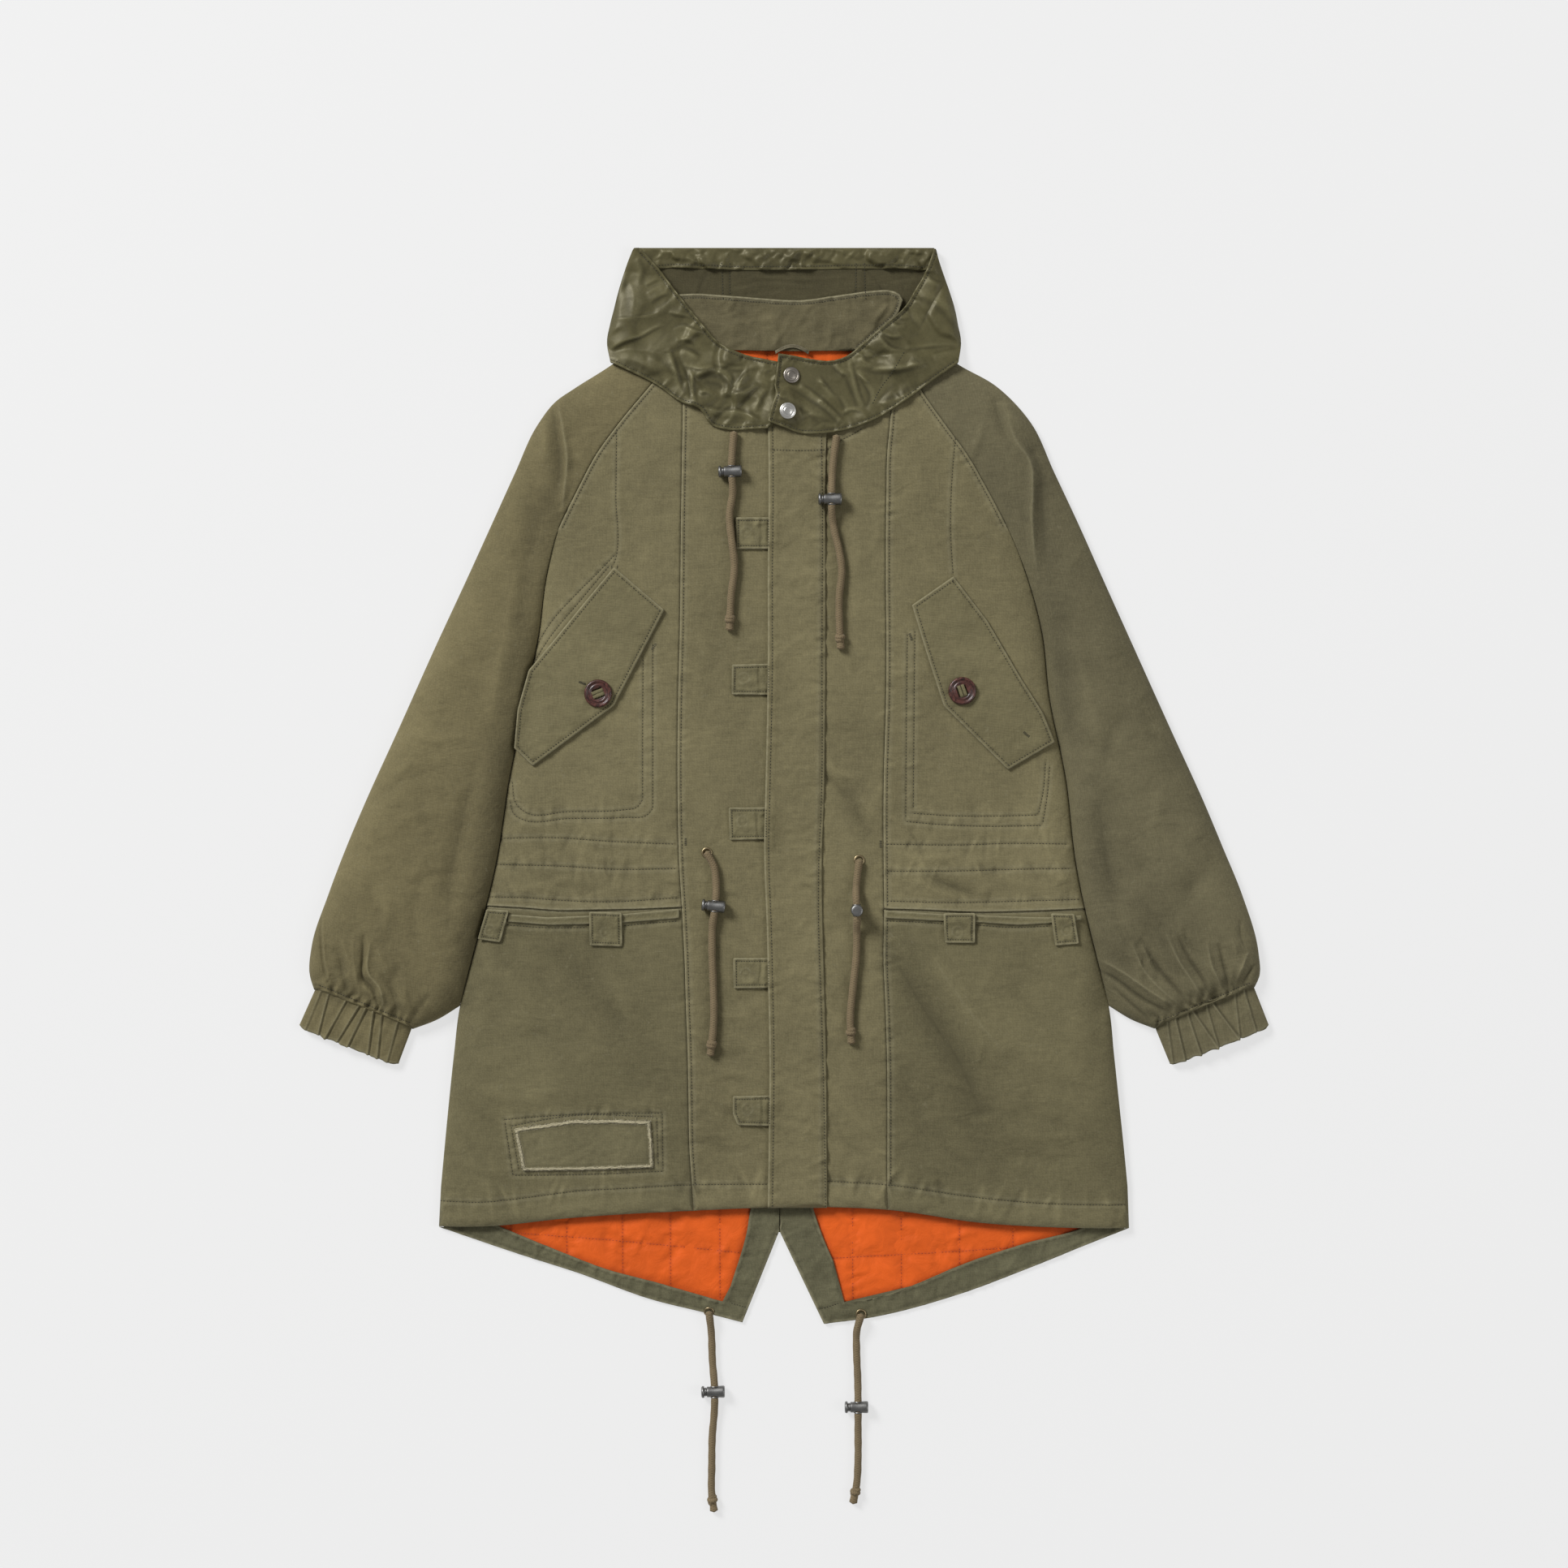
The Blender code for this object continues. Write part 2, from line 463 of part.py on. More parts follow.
# ----------------------------------------------------------------- the sleeves
SLEEVE_CELLS = 8
panel("sleeve_upper_left", between(SLEEVE_L, [*map(tuple, SIDE_L[: FREE + 1]), *UNDERSIDE_L], SLEEVE_CELLS), FLAT + LAID, SLEEVE_OLIVE, 0.9)
panel("sleeve_upper_right", between([*map(tuple, SIDE_R[: FREE + 1]), *UNDERSIDE_R], SLEEVE_R, SLEEVE_CELLS), FLAT + LAID, SLEEVE_OLIVE, 0.9)


def cuff(name, seam_a, seam_b, end_a, end_b, pleats):
    """A gathered cuff: a flattened tube from the sleeve's seam to its own free edge,
    open at both ends, its pleats standing as ridges on the upper side."""
    around, along = 44, 4
    pleat = lambda s: 0.7 * math.cos(2 * math.pi * pleats * s)
    rings = []
    for wall in (0.0, CUFF_WALL):
        for k in range(along):
            t = k / (along - 1)
            a = np.array(seam_a) * (1 - t) + np.array(end_a) * t
            b = np.array(seam_b) * (1 - t) + np.array(end_b) * t
            width = np.linalg.norm(b - a) * GRID / MM
            high = CUFF_HIGH + (2.0 if k == 0 else 0.0)
            ring = []
            for i in range(around):
                # half the points run over the top from a to b, half back underneath
                half = around // 2
                s = (i if i < half else around - i) / half
                upper = i < half
                edge = math.sin(math.pi * min(max(s, 0), 1)) ** 0.32 if 0 < s < 1 else 0.0
                across = s * (width - 2 * wall) + wall
                middle = high * 0.42
                if upper:
                    z = middle + (high - wall - middle) * edge + (pleat(s) * edge if 0 < s < 1 else 0)
                else:
                    z = middle - (middle - wall) * edge
                p = a + (b - a) * across / width
                x, y = xy(*p)
                ring.append((float(x), float(y), z * MM))
            rings.append(ring)
    verts = [p for ring in rings for p in ring]
    at = lambda r, i: r * around + i % around
    faces = []
    for k in range(along - 1):
        for i in range(around):
            faces.append((at(k, i), at(k, i + 1), at(k + 1, i + 1), at(k + 1, i)))
            o = along
            faces.append((at(o + k, i), at(o + k + 1, i), at(o + k + 1, i + 1), at(o + k, i + 1)))
    for i in range(around):
        faces.append((at(0, i), at(along, i), at(along, i + 1), at(0, i + 1)))
        e = along - 1
        faces.append((at(e, i), at(e, i + 1), at(along + e, i + 1), at(along + e, i)))
    return finish(name, verts, faces, SLEEVE_OLIVE, 0.9)


cuff("cuff_left", (386.2, 1222.5), (505.5, 1271.5), (366.6, 1266), (489, 1314), 8)
cuff("cuff_right", (1425.5, 1270.8), (1547.5, 1219.5), (1443.5, 1314), (1565.5, 1266), 8)

# ------------------------------------------------------- what lies on the fronts
FRONTS = ["front_centre_left", "front_centre_right", "front_side_left", "front_side_right", "front_skirt_left", "front_skirt_right"]
SLEEVES = ["sleeve_upper_left", "sleeve_upper_right"]


def quad_grid(corners, nu, nv):
    tl, tr, bl, br = (np.array(c, float) for c in corners)
    t = np.linspace(0, 1, nv + 1)[:, None]
    return between(tl * (1 - t) + bl * t, tr * (1 - t) + br * t, nu)


for name, corners in QUADS.items():
    if name.startswith("placket_tab"):
        laid(name, quad_grid(corners, 3, 3), TAB, FRONTS, OLIVE, 0.9)

PLACKET_EDGE = np.array(((507, 946, 1019), (600, 947, 1017), (704, 946, 1017), (820, 946, 1017), (930, 944, 1016), (993, 942.5, 1015), (1041, 941.4, 1013), (1143, 944.7, 1013.5), (1197, 946, 1015), (1320, 948, 1018), (1410, 947, 1018.5), (1488, 946, 1019)), float)
grid = refined([((l, v), (r, v)) for v, l, r in PLACKET_EDGE], 2, 3)
# its left edge is free and lies over the tabs, its right edge is sewn down
over_tabs = (TAB + LAID + 0.4) * np.linspace(1, 0, 4)
laid("placket", grid, PLACKET, FRONTS, OLIVE, 0.9, reach=9.0, gap=LAID + over_tabs)

laid("pocket_flap_left", refined(FLAP_L, 2, 5), FLAP, FRONTS, OLIVE, 0.9)
laid("pocket_flap_right", refined(FLAP_R, 2, 5), FLAP, FRONTS, OLIVE, 0.9)
laid("welt_left", refined(WELT_L, 2, 1), 1.4, FRONTS, OLIVE, 0.9)
laid("welt_right", refined(WELT_R, 2, 1), 1.4, FRONTS, OLIVE, 0.9)
laid("waist_tab_1", quad_grid(QUADS["waist_tab_1"], 2, 3), TAB, FRONTS, OLIVE, 0.9)
laid("waist_tab_2", quad_grid(QUADS["waist_tab_2"], 3, 3), TAB, FRONTS + ["welt_left"], OLIVE, 0.9)
laid("waist_tab_3", quad_grid(QUADS["waist_tab_3"], 3, 3), TAB, FRONTS + ["welt_right"], OLIVE, 0.9)
laid("waist_tab_4", quad_grid(QUADS["waist_tab_4"], 2, 3), TAB, FRONTS, OLIVE, 0.9)
laid("patch", quad_grid(QUADS["patch"], 6, 2), 1.2, FRONTS, OLIVE, 0.95)

# ------------------------------------------------------------------- the hood
laid("collar", refined(COLLAR_BAND, 1, 3), COLLAR, ["hood_lining", "back_lining"], COLLAR_OLIVE, 0.9, reach=1.0, least=LINING_TOP + LAID)


def hood_rise(u, v):
    """The underside of the hood's sides: up from the outer fold."""
    outline = [(l, w) for w, l, r in HOOD_OUTLINE], [(r, w) for w, l, r in HOOD_OUTLINE]
    d = np.min([away(p, u, v) for p in outline], axis=0)
    return 3.9 + 8.4 * rise(d / 34.0) * ease(290, 400, v)


def hood_side(name, rows, nu, on):
    grid = refined(rows, 1, nu)
    x, y = xy(grid[..., 0], grid[..., 1])
    low = np.array([[ground_under(a, b, 10.0, on) for a, b in zip(ra, rb)] for ra, rb in zip(x, y)]) + 4 * LAID
    low = np.maximum(low, hood_rise(grid[..., 0], grid[..., 1]))
    return walled(name, grid, low + HOOD, low, HOOD_OLIVE, 0.45)


UNDER_HOOD = ["hood_lining", "collar", "placket", *FRONTS, *SLEEVES]
hood_side("hood_side_left", HOOD_SIDE_L, 6, UNDER_HOOD)
hood_side("hood_side_right", HOOD_SIDE_R, 6, UNDER_HOOD + ["hood_side_left"])

# hanger: a narrow tape bowed over the collar's lower edge
bow = [((955 + 42 * t, 432.5 - 9 * math.sin(math.pi * t)), (955.5 + 41 * t, 436.5 - 9 * math.sin(math.pi * t))) for t in np.linspace(0, 1, 9)]
laid("hanger_loop", refined(bow, 1, 1), 1.2, ["collar", "back_lining"], COLLAR_OLIVE, 0.9, reach=8.0, gap=0.6)


# --------------------------------------------------------------- turned pieces
def turned(profile, sides, square=None):
    """Vertices and faces of a solid of revolution about Z. profile rows are
    (radius, height) in millimetres; a radius of 0 closes the shape on its axis.
    With square, the rows marked so follow a square opening instead of a circle."""
    verts, faces, rings = [], [], []
    for k, (r, z) in enumerate(profile):
        if r == 0:
            rings.append([len(verts)])
            verts.append((0, 0, z * MM))
            continue
        ring = []
        for i in range(sides):
            a = 2 * math.pi * i / sides
            rr = r / max(abs(math.cos(a)), abs(math.sin(a))) if square and k in square else r
            ring.append(len(verts))
            verts.append((rr * math.cos(a) * MM, rr * math.sin(a) * MM, z * MM))
        rings.append(ring)
    closed = profile[0][0] != 0
    pairs = list(zip(rings, rings[1:] + rings[:1])) if closed else list(zip(rings, rings[1:]))
    for a, b in pairs:
        for i in range(sides):
            j = (i + 1) % sides
            if len(a) == 1:
                faces.append((a[0], b[i], b[j]))
            elif len(b) == 1:
                faces.append((a[i], b[0], a[j]))
            else:
                faces.append((a[i], b[i], b[j], a[j]))
    return verts, faces


def set_down(ob, u, v, reach, on, more=0.0, tilt=(0, 0, 0)):
    x, y = xy(u, v)
    z = ground_under(float(x), float(y), reach, on) + LAID + more
    ob.location = (float(x), float(y), z * MM)
    ob.rotation_euler = tilt
    return ob


button_profile = ((5.2, 0.0), (13.0, 0.0), (BUTTON_R, 1.0), (13.6, 2.6), (12.2, 3.4), (10.8, 2.6), (7.6, 2.4), (5.2, 2.4))
for side, u, v, on in (("left", 737.6, 854.7, "pocket_flap_left"), ("right", 1185.0, 851.7, "pocket_flap_right")):
    ob = finish(f"button_{side}", *turned(button_profile, 24, square=(0, 7)), HORN, 0.35)
    set_down(ob, u, v, BUTTON_R, [on], tilt=(0, 0, math.radians(45)))

snap_profile = ((0, 0.0), (6.6, 0.0), (SNAP_R, 0.7), (8.0, 1.5), (6.9, 1.9), (6.2, 1.5), (3.6, 1.7), (0, 1.8))
for name, u, v in (("snap_upper", 975, 463), ("snap_lower", 970.5, 508)):
    ob = finish(name, *turned(snap_profile, 24), STEEL, 0.3, 1.0)
    set_down(ob, u, v, SNAP_R, ["hood_side_right"])

eyelet_profile = ((2.8, 0.0), (EYELET_R, 0.0), (EYELET_R - 0.3, 0.6), (4.1, 1.1), (2.8, 0.7))
EYELETS = {
    "waist_left": (871, 1050.5, "front_centre_left"), "waist_right": (1058.5, 1059.8, "front_centre_right"),
    "hem_left": (873.5, 1617.8, "tail_facing_left"), "hem_right": (1061, 1620.5, "tail_facing_right"),
}
for key, (u, v, on) in EYELETS.items():
    ob = finish(f"eyelet_{key}", *turned(eyelet_profile, 20), BRASS, 0.4, 1.0)
    set_down(ob, u, v, EYELET_R * 0.7, [on])

# ------------------------------------------------------------------ drawcords
def smooth_route(points, n):
    """n points on a smooth curve through the given ones, evenly spaced."""
    p = np.array(points, float)
    ext = np.concatenate([[2 * p[0] - p[1]], p, [2 * p[-1] - p[-2]]])
    fine, marks = [], []
    for i in range(len(p) - 1):
        p0, p1, p2, p3 = ext[i : i + 4]
        marks.append(len(fine))
        for t in np.linspace(0, 1, 30, endpoint=False):
            fine.append(0.5 * (2 * p1 + (p2 - p0) * t + (2 * p0 - 5 * p1 + 4 * p2 - p3) * t**2 + (3 * p1 - p0 - 3 * p2 + p3) * t**3))
    marks.append(len(fine))
    fine.append(p[-1])
    fine = np.array(fine)
    run = np.concatenate([[0], np.cumsum(np.linalg.norm(np.diff(fine, axis=0), axis=1))])
    s = np.linspace(0, run[-1], n)
    return np.stack([np.interp(s, run, fine[:, k]) for k in range(fine.shape[1])], 1), run[marks], s


def lock_mesh():
    """A barrel lock: a flanged plunger, its neck, and a barrel with a cross hole."""
    h = LOCK_LONG / 2
    profile = ((0, -h), (4.6, -h), (5.5, -h + 0.8), (5.5, -h + 2.2), (4.7, -h + 3.0), (4.0, -h + 3.0), (4.0, -h + 4.6), (4.8, -h + 4.6), (LOCK_R, -h + 5.6), (LOCK_R, h - 1.2), (4.6, h), (0, h))
    verts, faces = turned(profile, 18)
    mesh = bpy.data.meshes.new("lock_blank")
    mesh.from_pydata(verts, [], faces)
    bm = bmesh.new()
    bm.from_mesh(mesh)
    bmesh.ops.rotate(bm, verts=bm.verts, cent=(0, 0, 0), matrix=Matrix.Rotation(math.radians(90), 3, "Y"))
    bmesh.ops.recalc_face_normals(bm, faces=bm.faces)
    bm.to_mesh(mesh)
    bm.free()
    blank = bpy.data.objects.new("lock_blank", mesh)
    cutter_mesh = bpy.data.meshes.new("lock_hole")
    bm = bmesh.new()
    bmesh.ops.create_cone(bm, cap_ends=True, segments=14, radius1=(CORD_D / 2 + 0.45) * MM, radius2=(CORD_D / 2 + 0.45) * MM, depth=3 * LOCK_R * MM, matrix=Matrix.Translation((0.0015, 0, 0)) @ Matrix.Rotation(math.radians(90), 4, "X"))
    bm.to_mesh(cutter_mesh)
    bm.free()
    cutter = bpy.data.objects.new("lock_hole", cutter_mesh)
    for ob in (blank, cutter):
        bpy.context.scene.collection.objects.link(ob)
        ob.hide_render = True
        ob.display_type = "WIRE"
    cut = blank.modifiers.new("hole", "BOOLEAN")
    cut.operation, cut.solver, cut.object = "DIFFERENCE", "EXACT", cutter
    bpy.context.view_layer.update()
    result = bpy.data.meshes.new_from_object(blank.evaluated_get(bpy.context.evaluated_depsgraph_get()))
    result.name = "cord_lock"
    bpy.data.objects.remove(blank, do_unlink=True)
    bpy.data.objects.remove(cutter, do_unlink=True)
    result.shade_smooth()
    result.set_sharp_from_angle(angle=math.radians(35))
    return result


lock = lock_mesh()
CARRIERS = [n for n in made if not n.startswith(("button", "snap"))]
for key, cord in CORDS.items():
    r = CORD_D / 2
    fine, marks, s = smooth_route(cord["route"], 400)
    s = s * GRID / MM
    at_lock = marks[cord["lock"]] * GRID / MM
    x, y = xy(fine[:, 0], fine[:, 1])
    length = s[-1]
    radius = np.interp(s, (0, 10, length - 17, length - 13, length - 9, length - 5, length), (0.8, 1, 1, 1.45, 1.55, 1.05, 0.95)) * r
    if key.startswith("hood"):
        radius[s < 10] = r
    near = [n for n in CARRIERS if n not in ("hood_side_left", "hood_side_right")] if key.startswith("hood") else CARRIERS
    need = np.array([ground_under(float(a), float(b), r, near) for a, b in zip(x, y)])
    need = np.where(need > 0, need + LAID, 0.12) + radius
    if not key.startswith("hood"):
        need[s < 6] = np.maximum(need[s < 6], need[0] + 0.2)
    step = s[1] - s[0]
    wide, soft = int(17 / step), int(5 / step)
    dilated = np.array([need[max(0, i - wide) : i + wide + 1].max() for i in range(len(need))])
    z = np.array([dilated[max(0, i - soft) : i + soft + 1].mean() for i in range(len(dilated))])
    # the lock holds the cord at its own middle
    half_high = LOCK_R if not cord["stand"] else LOCK_LONG / 2 - 1.0
    bed = max(ground_under(float(np.interp(at_lock + d, s, x)), float(np.interp(at_lock + d, s, y)), LOCK_R if cord["stand"] else LOCK_LONG / 2, near) for d in (-4, 0, 4))
    hold = bed + LAID + half_high
    if bed == 0:
        hold = 0.12 + half_high
    share = 1 - ease(9, 30, np.abs(s - at_lock))
    z = np.maximum(z, z + (hold - z) * share)
    stops = [0.0, at_lock - 8, at_lock + 8, *[length - d for d in (17, 13, 9, 5, 0)]]
    spread = np.arange(12, length - 24, 12.5)
    keep = sorted(stops + [t for t in spread if min(abs(t - q) for q in stops) > 6])
    points = [(float(np.interp(t, s, x)), float(np.interp(t, s, y)), float(np.interp(t, s, z)) * MM, float(np.interp(t, s, radius)) / r) for t in keep]
    data = bpy.data.curves.new(f"cord_{key}", "CURVE")
    data.dimensions = "3D"
    spline = data.splines.new("POLY")
    spline.points.add(len(points) - 1)
    for point, (px_, py_, pz_, pr_) in zip(spline.points, points):
        point.co = (px_, py_, pz_, 1)
        point.radius = pr_
    data.bevel_depth = r * MM
    data.bevel_resolution = 2
    data.use_fill_caps = True
    place(f"cord_{key}", data, CORD_OLIVE, 0.85)
    made[f"cord_{key}"].data.materials.append(bpy.data.materials[f"cord_{key}_finish"]) if not data.materials else None
    a = Vector([float(np.interp(at_lock - 8, s, c)) for c in (x, y)] + [float(np.interp(at_lock - 8, s, z)) * MM])
    b = Vector([float(np.interp(at_lock + 8, s, c)) for c in (x, y)] + [float(np.interp(at_lock + 8, s, z)) * MM])
    along = (b - a).normalized()
    ob = place(f"cord_lock_{key}", lock, GUNMETAL, 0.35, 0.8)
    hole_axis = -along
    side = Vector((0, 0, -1)) if cord["stand"] else hole_axis.cross(Vector((0, 0, 1))).normalized()
    if cord["stand"]:
        side = (side - hole_axis * side.dot(hole_axis)).normalized()
    third = side.cross(hole_axis)
    basis = Matrix((side, hole_axis, third)).transposed()
    ob.rotation_euler = basis.to_euler()
    mid = (a + b) / 2 - side * 0.0015
    ob.location = mid

bpy.context.view_layer.update()
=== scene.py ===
"""Looks of the fishtail parka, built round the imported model.

Places are read from a layout drawing: u to the right, v from the hood down, GRID
metres for one unit. Heights are in millimetres above the ground. Everything is
seeded, so each run gives the same garment.
"""
import math

import bpy
import numpy as np
from mathutils import Matrix, Vector
from mathutils.bvhtree import BVHTree
from mathutils.geometry import delaunay_2d_cdt


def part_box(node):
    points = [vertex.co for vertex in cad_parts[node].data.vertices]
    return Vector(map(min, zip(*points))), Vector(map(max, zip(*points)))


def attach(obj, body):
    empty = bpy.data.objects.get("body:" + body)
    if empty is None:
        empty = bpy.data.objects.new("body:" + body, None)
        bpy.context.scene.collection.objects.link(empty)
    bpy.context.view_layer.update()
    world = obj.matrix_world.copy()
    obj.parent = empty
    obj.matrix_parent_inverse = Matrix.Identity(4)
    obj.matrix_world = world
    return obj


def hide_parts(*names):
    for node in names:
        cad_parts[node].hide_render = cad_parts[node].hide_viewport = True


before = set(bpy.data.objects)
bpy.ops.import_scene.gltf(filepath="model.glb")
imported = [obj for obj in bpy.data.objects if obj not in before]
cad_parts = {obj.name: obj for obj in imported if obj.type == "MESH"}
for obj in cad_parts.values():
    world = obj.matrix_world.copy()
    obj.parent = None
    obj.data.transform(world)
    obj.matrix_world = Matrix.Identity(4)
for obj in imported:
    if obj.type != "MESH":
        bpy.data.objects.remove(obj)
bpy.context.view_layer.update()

MM = 0.001
GRID = 0.00082
U0, V0 = 966.05, 968.3
PX = GRID / MM  # millimetres for one drawing unit
STEP = 3.1  # spacing of the points on the large panels, in units

# ------------------------------------------------------------------ layout tables
EDGE_HIGH, BODY_HIGH, NECK_HIGH, HEM_HIGH, SLEEVE_MORE = 5.0, 16.5, 13.5, 12.0, 5.0
FOLD_REACH, CREASE_REACH, CREASE_DEPTH = 36.0, 27.0, 0.86
CORD_D, LOCK_R, LOCK_LONG, BUTTON_R, SNAP_R, EYELET_R = 6.0, 5.8, 24.0, 14.0, 8.2, 5.4

# sections: v, left side, left seam, right seam, right side
SECTIONS = np.array((
    (446, 826.0, 841.0, 1100.0, 1114.0), (473, 803.0, 841.0, 1099.5, 1130.0), (525, 760.0, 840.8, 1096.0, 1166.0),
    (559, 735.5, 840.2, 1092.8, 1191.0), (605, 711.0, 839.5, 1091.8, 1217.5), (650, 689.0, 838.8, 1091.2, 1241.0),
    (716, 672.0, 838.2, 1091.2, 1267.5), (777, 664.0, 837.5, 1091.7, 1284.0), (859, 648.0, 835.4, 1091.4, 1293.5),
    (961, 627.0, 834.6, 1088.5, 1314.0), (1063, 611.0, 836.8, 1088.4, 1326.0), (1119, 598.0, 840.0, 1089.0, 1337.0),
    (1180, 581.5, 843.2, 1088.2, 1352.0), (1240, 566.0, 845.0, 1090.6, 1367.0), (1300, 558.5, 847.2, 1092.4, 1373.5),
    (1357, 552.5, 848.2, 1093.0, 1379.5), (1414, 547.0, 849.2, 1093.0, 1385.5), (1463, 542.5, 852.6, 1093.0, 1390.2),
), float)
UNDERARM, WAIST_ROW, FREE = 5, 11, 13
HEM = np.array(((540, 1512), (606, 1511), (692, 1502), (855, 1492), (1019, 1487.5), (1094, 1491), (1209, 1507), (1335, 1513.5), (1392, 1514)), float)
SLEEVE_L = ((770, 436), (754, 448), (707, 478), (684, 494), (661, 524), (634, 582), (605, 646), (575, 712), (537, 794), (489, 901), (449, 989), (427, 1041), (403, 1104), (383, 1166), (380.6, 1202), (386, 1220))
SLEEVE_R = ((1165, 437), (1181, 448), (1228, 475), (1251, 496), (1272, 522), (1299, 580), (1329, 644), (1362, 718), (1398, 798), (1444, 900), (1485, 990), (1508, 1045), (1532, 1104), (1552, 1176), (1553, 1203), (1547, 1217))
UNDERSIDE_L = ((538, 1257), (508, 1268.5))
UNDERSIDE_R = ((1395, 1257), (1423, 1268))
TIP_L, NOTCH, TIP_R = (914.5, 1631), (960.3, 1518.5), (1015.3, 1632.8)
TAIL_L = ((540, 1513), (640, 1547), (709, 1569), (807, 1604), (864, 1618), TIP_L)
TAIL_R = (TIP_R, (1071, 1625.5), (1180, 1597), (1266, 1565), (1335, 1537), (1392, 1514.5))
FACING_IN_L = ((588, 1500), (615, 1512), (692, 1544), (744, 1564), (807, 1581), (890, 1605), (900, 1586), (920, 1519), (925, 1489), (930, 1472))
FACING_IN_R = ((998, 1472), (1002, 1489), (1016.5, 1531), (1027, 1555), (1040.5, 1605.5), (1123, 1586), (1197, 1555), (1266, 1532.5), (1335, 1513.5), (1362, 1500))
HOOD_OUTLINE = ((304, 781, 1153), (320, 774, 1157), (340, 767, 1164), (360, 761, 1171), (380, 756, 1177), (400, 751, 1181), (420, 747.5, 1184.5), (446, 752, 1181))
PLACKET_EDGE = ((507, 946, 1019), (600, 947, 1017), (704, 946, 1017), (820, 946, 1017), (930, 944, 1016), (993, 942.5, 1015), (1041, 941.4, 1013), (1143, 944.7, 1013.5), (1197, 946, 1015), (1320, 948, 1018), (1410, 947, 1018.5), (1488, 946, 1019))
FLAP_L = ((757, 699), (819, 752), (757, 870), (657, 944), (634, 922), (638.5, 874), (652, 826), (687, 784), (722, 741))
FLAP_R = ((1123.3, 746), (1174.5, 710.5), (1216, 765), (1256.5, 834), (1285, 879), (1299.5, 914.5), (1241.5, 948.6), (1202, 909.5), (1162.7, 870.5), (1149, 829), (1136, 788))
QUADS = {
    "placket_tab_1": ((906, 638), (951, 638), (951, 677), (906.5, 677)),
    "placket_tab_2": ((902, 819), (951, 818), (951, 856.5), (901.6, 856)),
    "placket_tab_3": ((898, 995), (948, 994.6), (948, 1034), (899, 1035)),
    "placket_tab_4": ((903.5, 1180), (951, 1180), (951, 1217), (904, 1217.4)),
    "placket_tab_5": ((903, 1350), (952, 1349), (952, 1387), (909, 1386), (903, 1372)),
    "waist_tab_1": ((600, 1120), (628, 1121.5), (617, 1161), (589, 1157)),
    "waist_tab_2": ((726.5, 1123), (766.6, 1124), (767, 1166), (727, 1164.7)),
    "waist_tab_3": ((1162, 1125), (1201, 1124.5), (1201, 1161.7), (1164, 1161.4)),
    "waist_tab_4": ((1294, 1125), (1323, 1125.5), (1329, 1162.5), (1299.5, 1165)),
}
RINGS = {
    "placket_tab_1": (920, 656), "placket_tab_2": (917, 836), "placket_tab_3": (915, 1011.7), "placket_tab_4": (918.7, 1199),
    "placket_tab_5": (921, 1366), "waist_tab_1": (603.7, 1146), "waist_tab_2": (747, 1149), "waist_tab_3": (1179.5, 1148), "waist_tab_4": (1314, 1145.6),
}
PATCH = ((635, 1391), (660, 1387.5), (706, 1380.5), (755, 1380.2), (801, 1381.5), (803.5, 1410), (804.6, 1438), (725, 1441), (645, 1442), (640, 1416))
WELT_L = ((626, 1126), (675, 1130), (724, 1128), (768, 1126), (837, 1119.5), (837, 1131), (768, 1136.5), (724, 1138.5), (677, 1139.5), (626, 1135.5))
WELT_R = ((1090.5, 1121.5), (1160, 1126), (1202, 1127), (1248, 1129), (1290.5, 1130), (1332, 1127.6), (1332.5, 1133), (1290.5, 1137.5), (1255, 1139.5), (1202, 1136), (1161, 1134.5), (1090.5, 1131))
# soft folds: from, to, half width, height in mm
FOLDS = ((1120, 1196, 1246, 1394, 26, 2.2), (560, 820, 600, 980, 24, 1.8), (470, 1010, 560, 1140, 26, 2.4), (1360, 800, 1345, 980, 24, 1.8), (1470, 1030, 1390, 1150, 26, 2.2), (700, 1230, 690, 1400, 30, 1.2))
CORDS = {
    "hood_left": dict(route=((904.5, 534), (902.5, 556), (901.4, 582), (903, 606), (899, 635), (902, 669), (905, 696), (901, 735), (899, 776)), lock=2, stand=0),
    "hood_right": dict(route=((1030.6, 538.5), (1026.5, 569), (1024.5, 616), (1025, 636), (1028, 655), (1034, 680), (1037, 704), (1034, 735), (1034, 765), (1035.7, 799)), lock=2, stand=0),
    "waist_left": dict(route=((871, 1050.5), (880, 1068), (882.5, 1088), (881.4, 1116), (878, 1140), (877.5, 1164), (879, 1214), (879.5, 1260), (875.5, 1299)), lock=3, stand=0),
    "waist_right": dict(route=((1058.5, 1060), (1056, 1080), (1054.5, 1100), (1055.5, 1121), (1055.5, 1145), (1055, 1175), (1051, 1214), (1047.5, 1255), (1049, 1284)), lock=3, stand=1),
    "hem_left": dict(route=((873.5, 1618), (876, 1640), (877.6, 1678), (880.5, 1716), (880, 1740), (877.5, 1770), (876.8, 1810), (876.6, 1840), (879.5, 1863)), lock=3, stand=0),
    "hem_right": dict(route=((1061, 1621), (1056, 1640), (1055.6, 1664), (1057, 1700), (1057.4, 1735), (1057.4, 1765), (1057.4, 1800), (1056, 1828), (1051.5, 1853)), lock=4, stand=0),
}
EYELETS = {"waist_left": (871, 1050.5), "waist_right": (1058.5, 1059.8), "hem_left": (873.5, 1617.8), "hem_right": (1061, 1620.5)}
SNAPS = {"snap_upper": (975, 463), "snap_lower": (970.5, 508)}
BUTTONS = {"button_left": (737.6, 854.7, 45), "button_right": (1185, 851.7, 38)}


# ---------------------------------------------------------------------- numbers
def rise(q):
    q = np.clip(q, 0, 1)
    return np.sqrt(1 - (1 - q) ** 2)


def ease(low, high, value):
    t = np.clip((np.asarray(value, float) - low) / (high - low), 0, 1)
    return t * t * (3 - 2 * t)


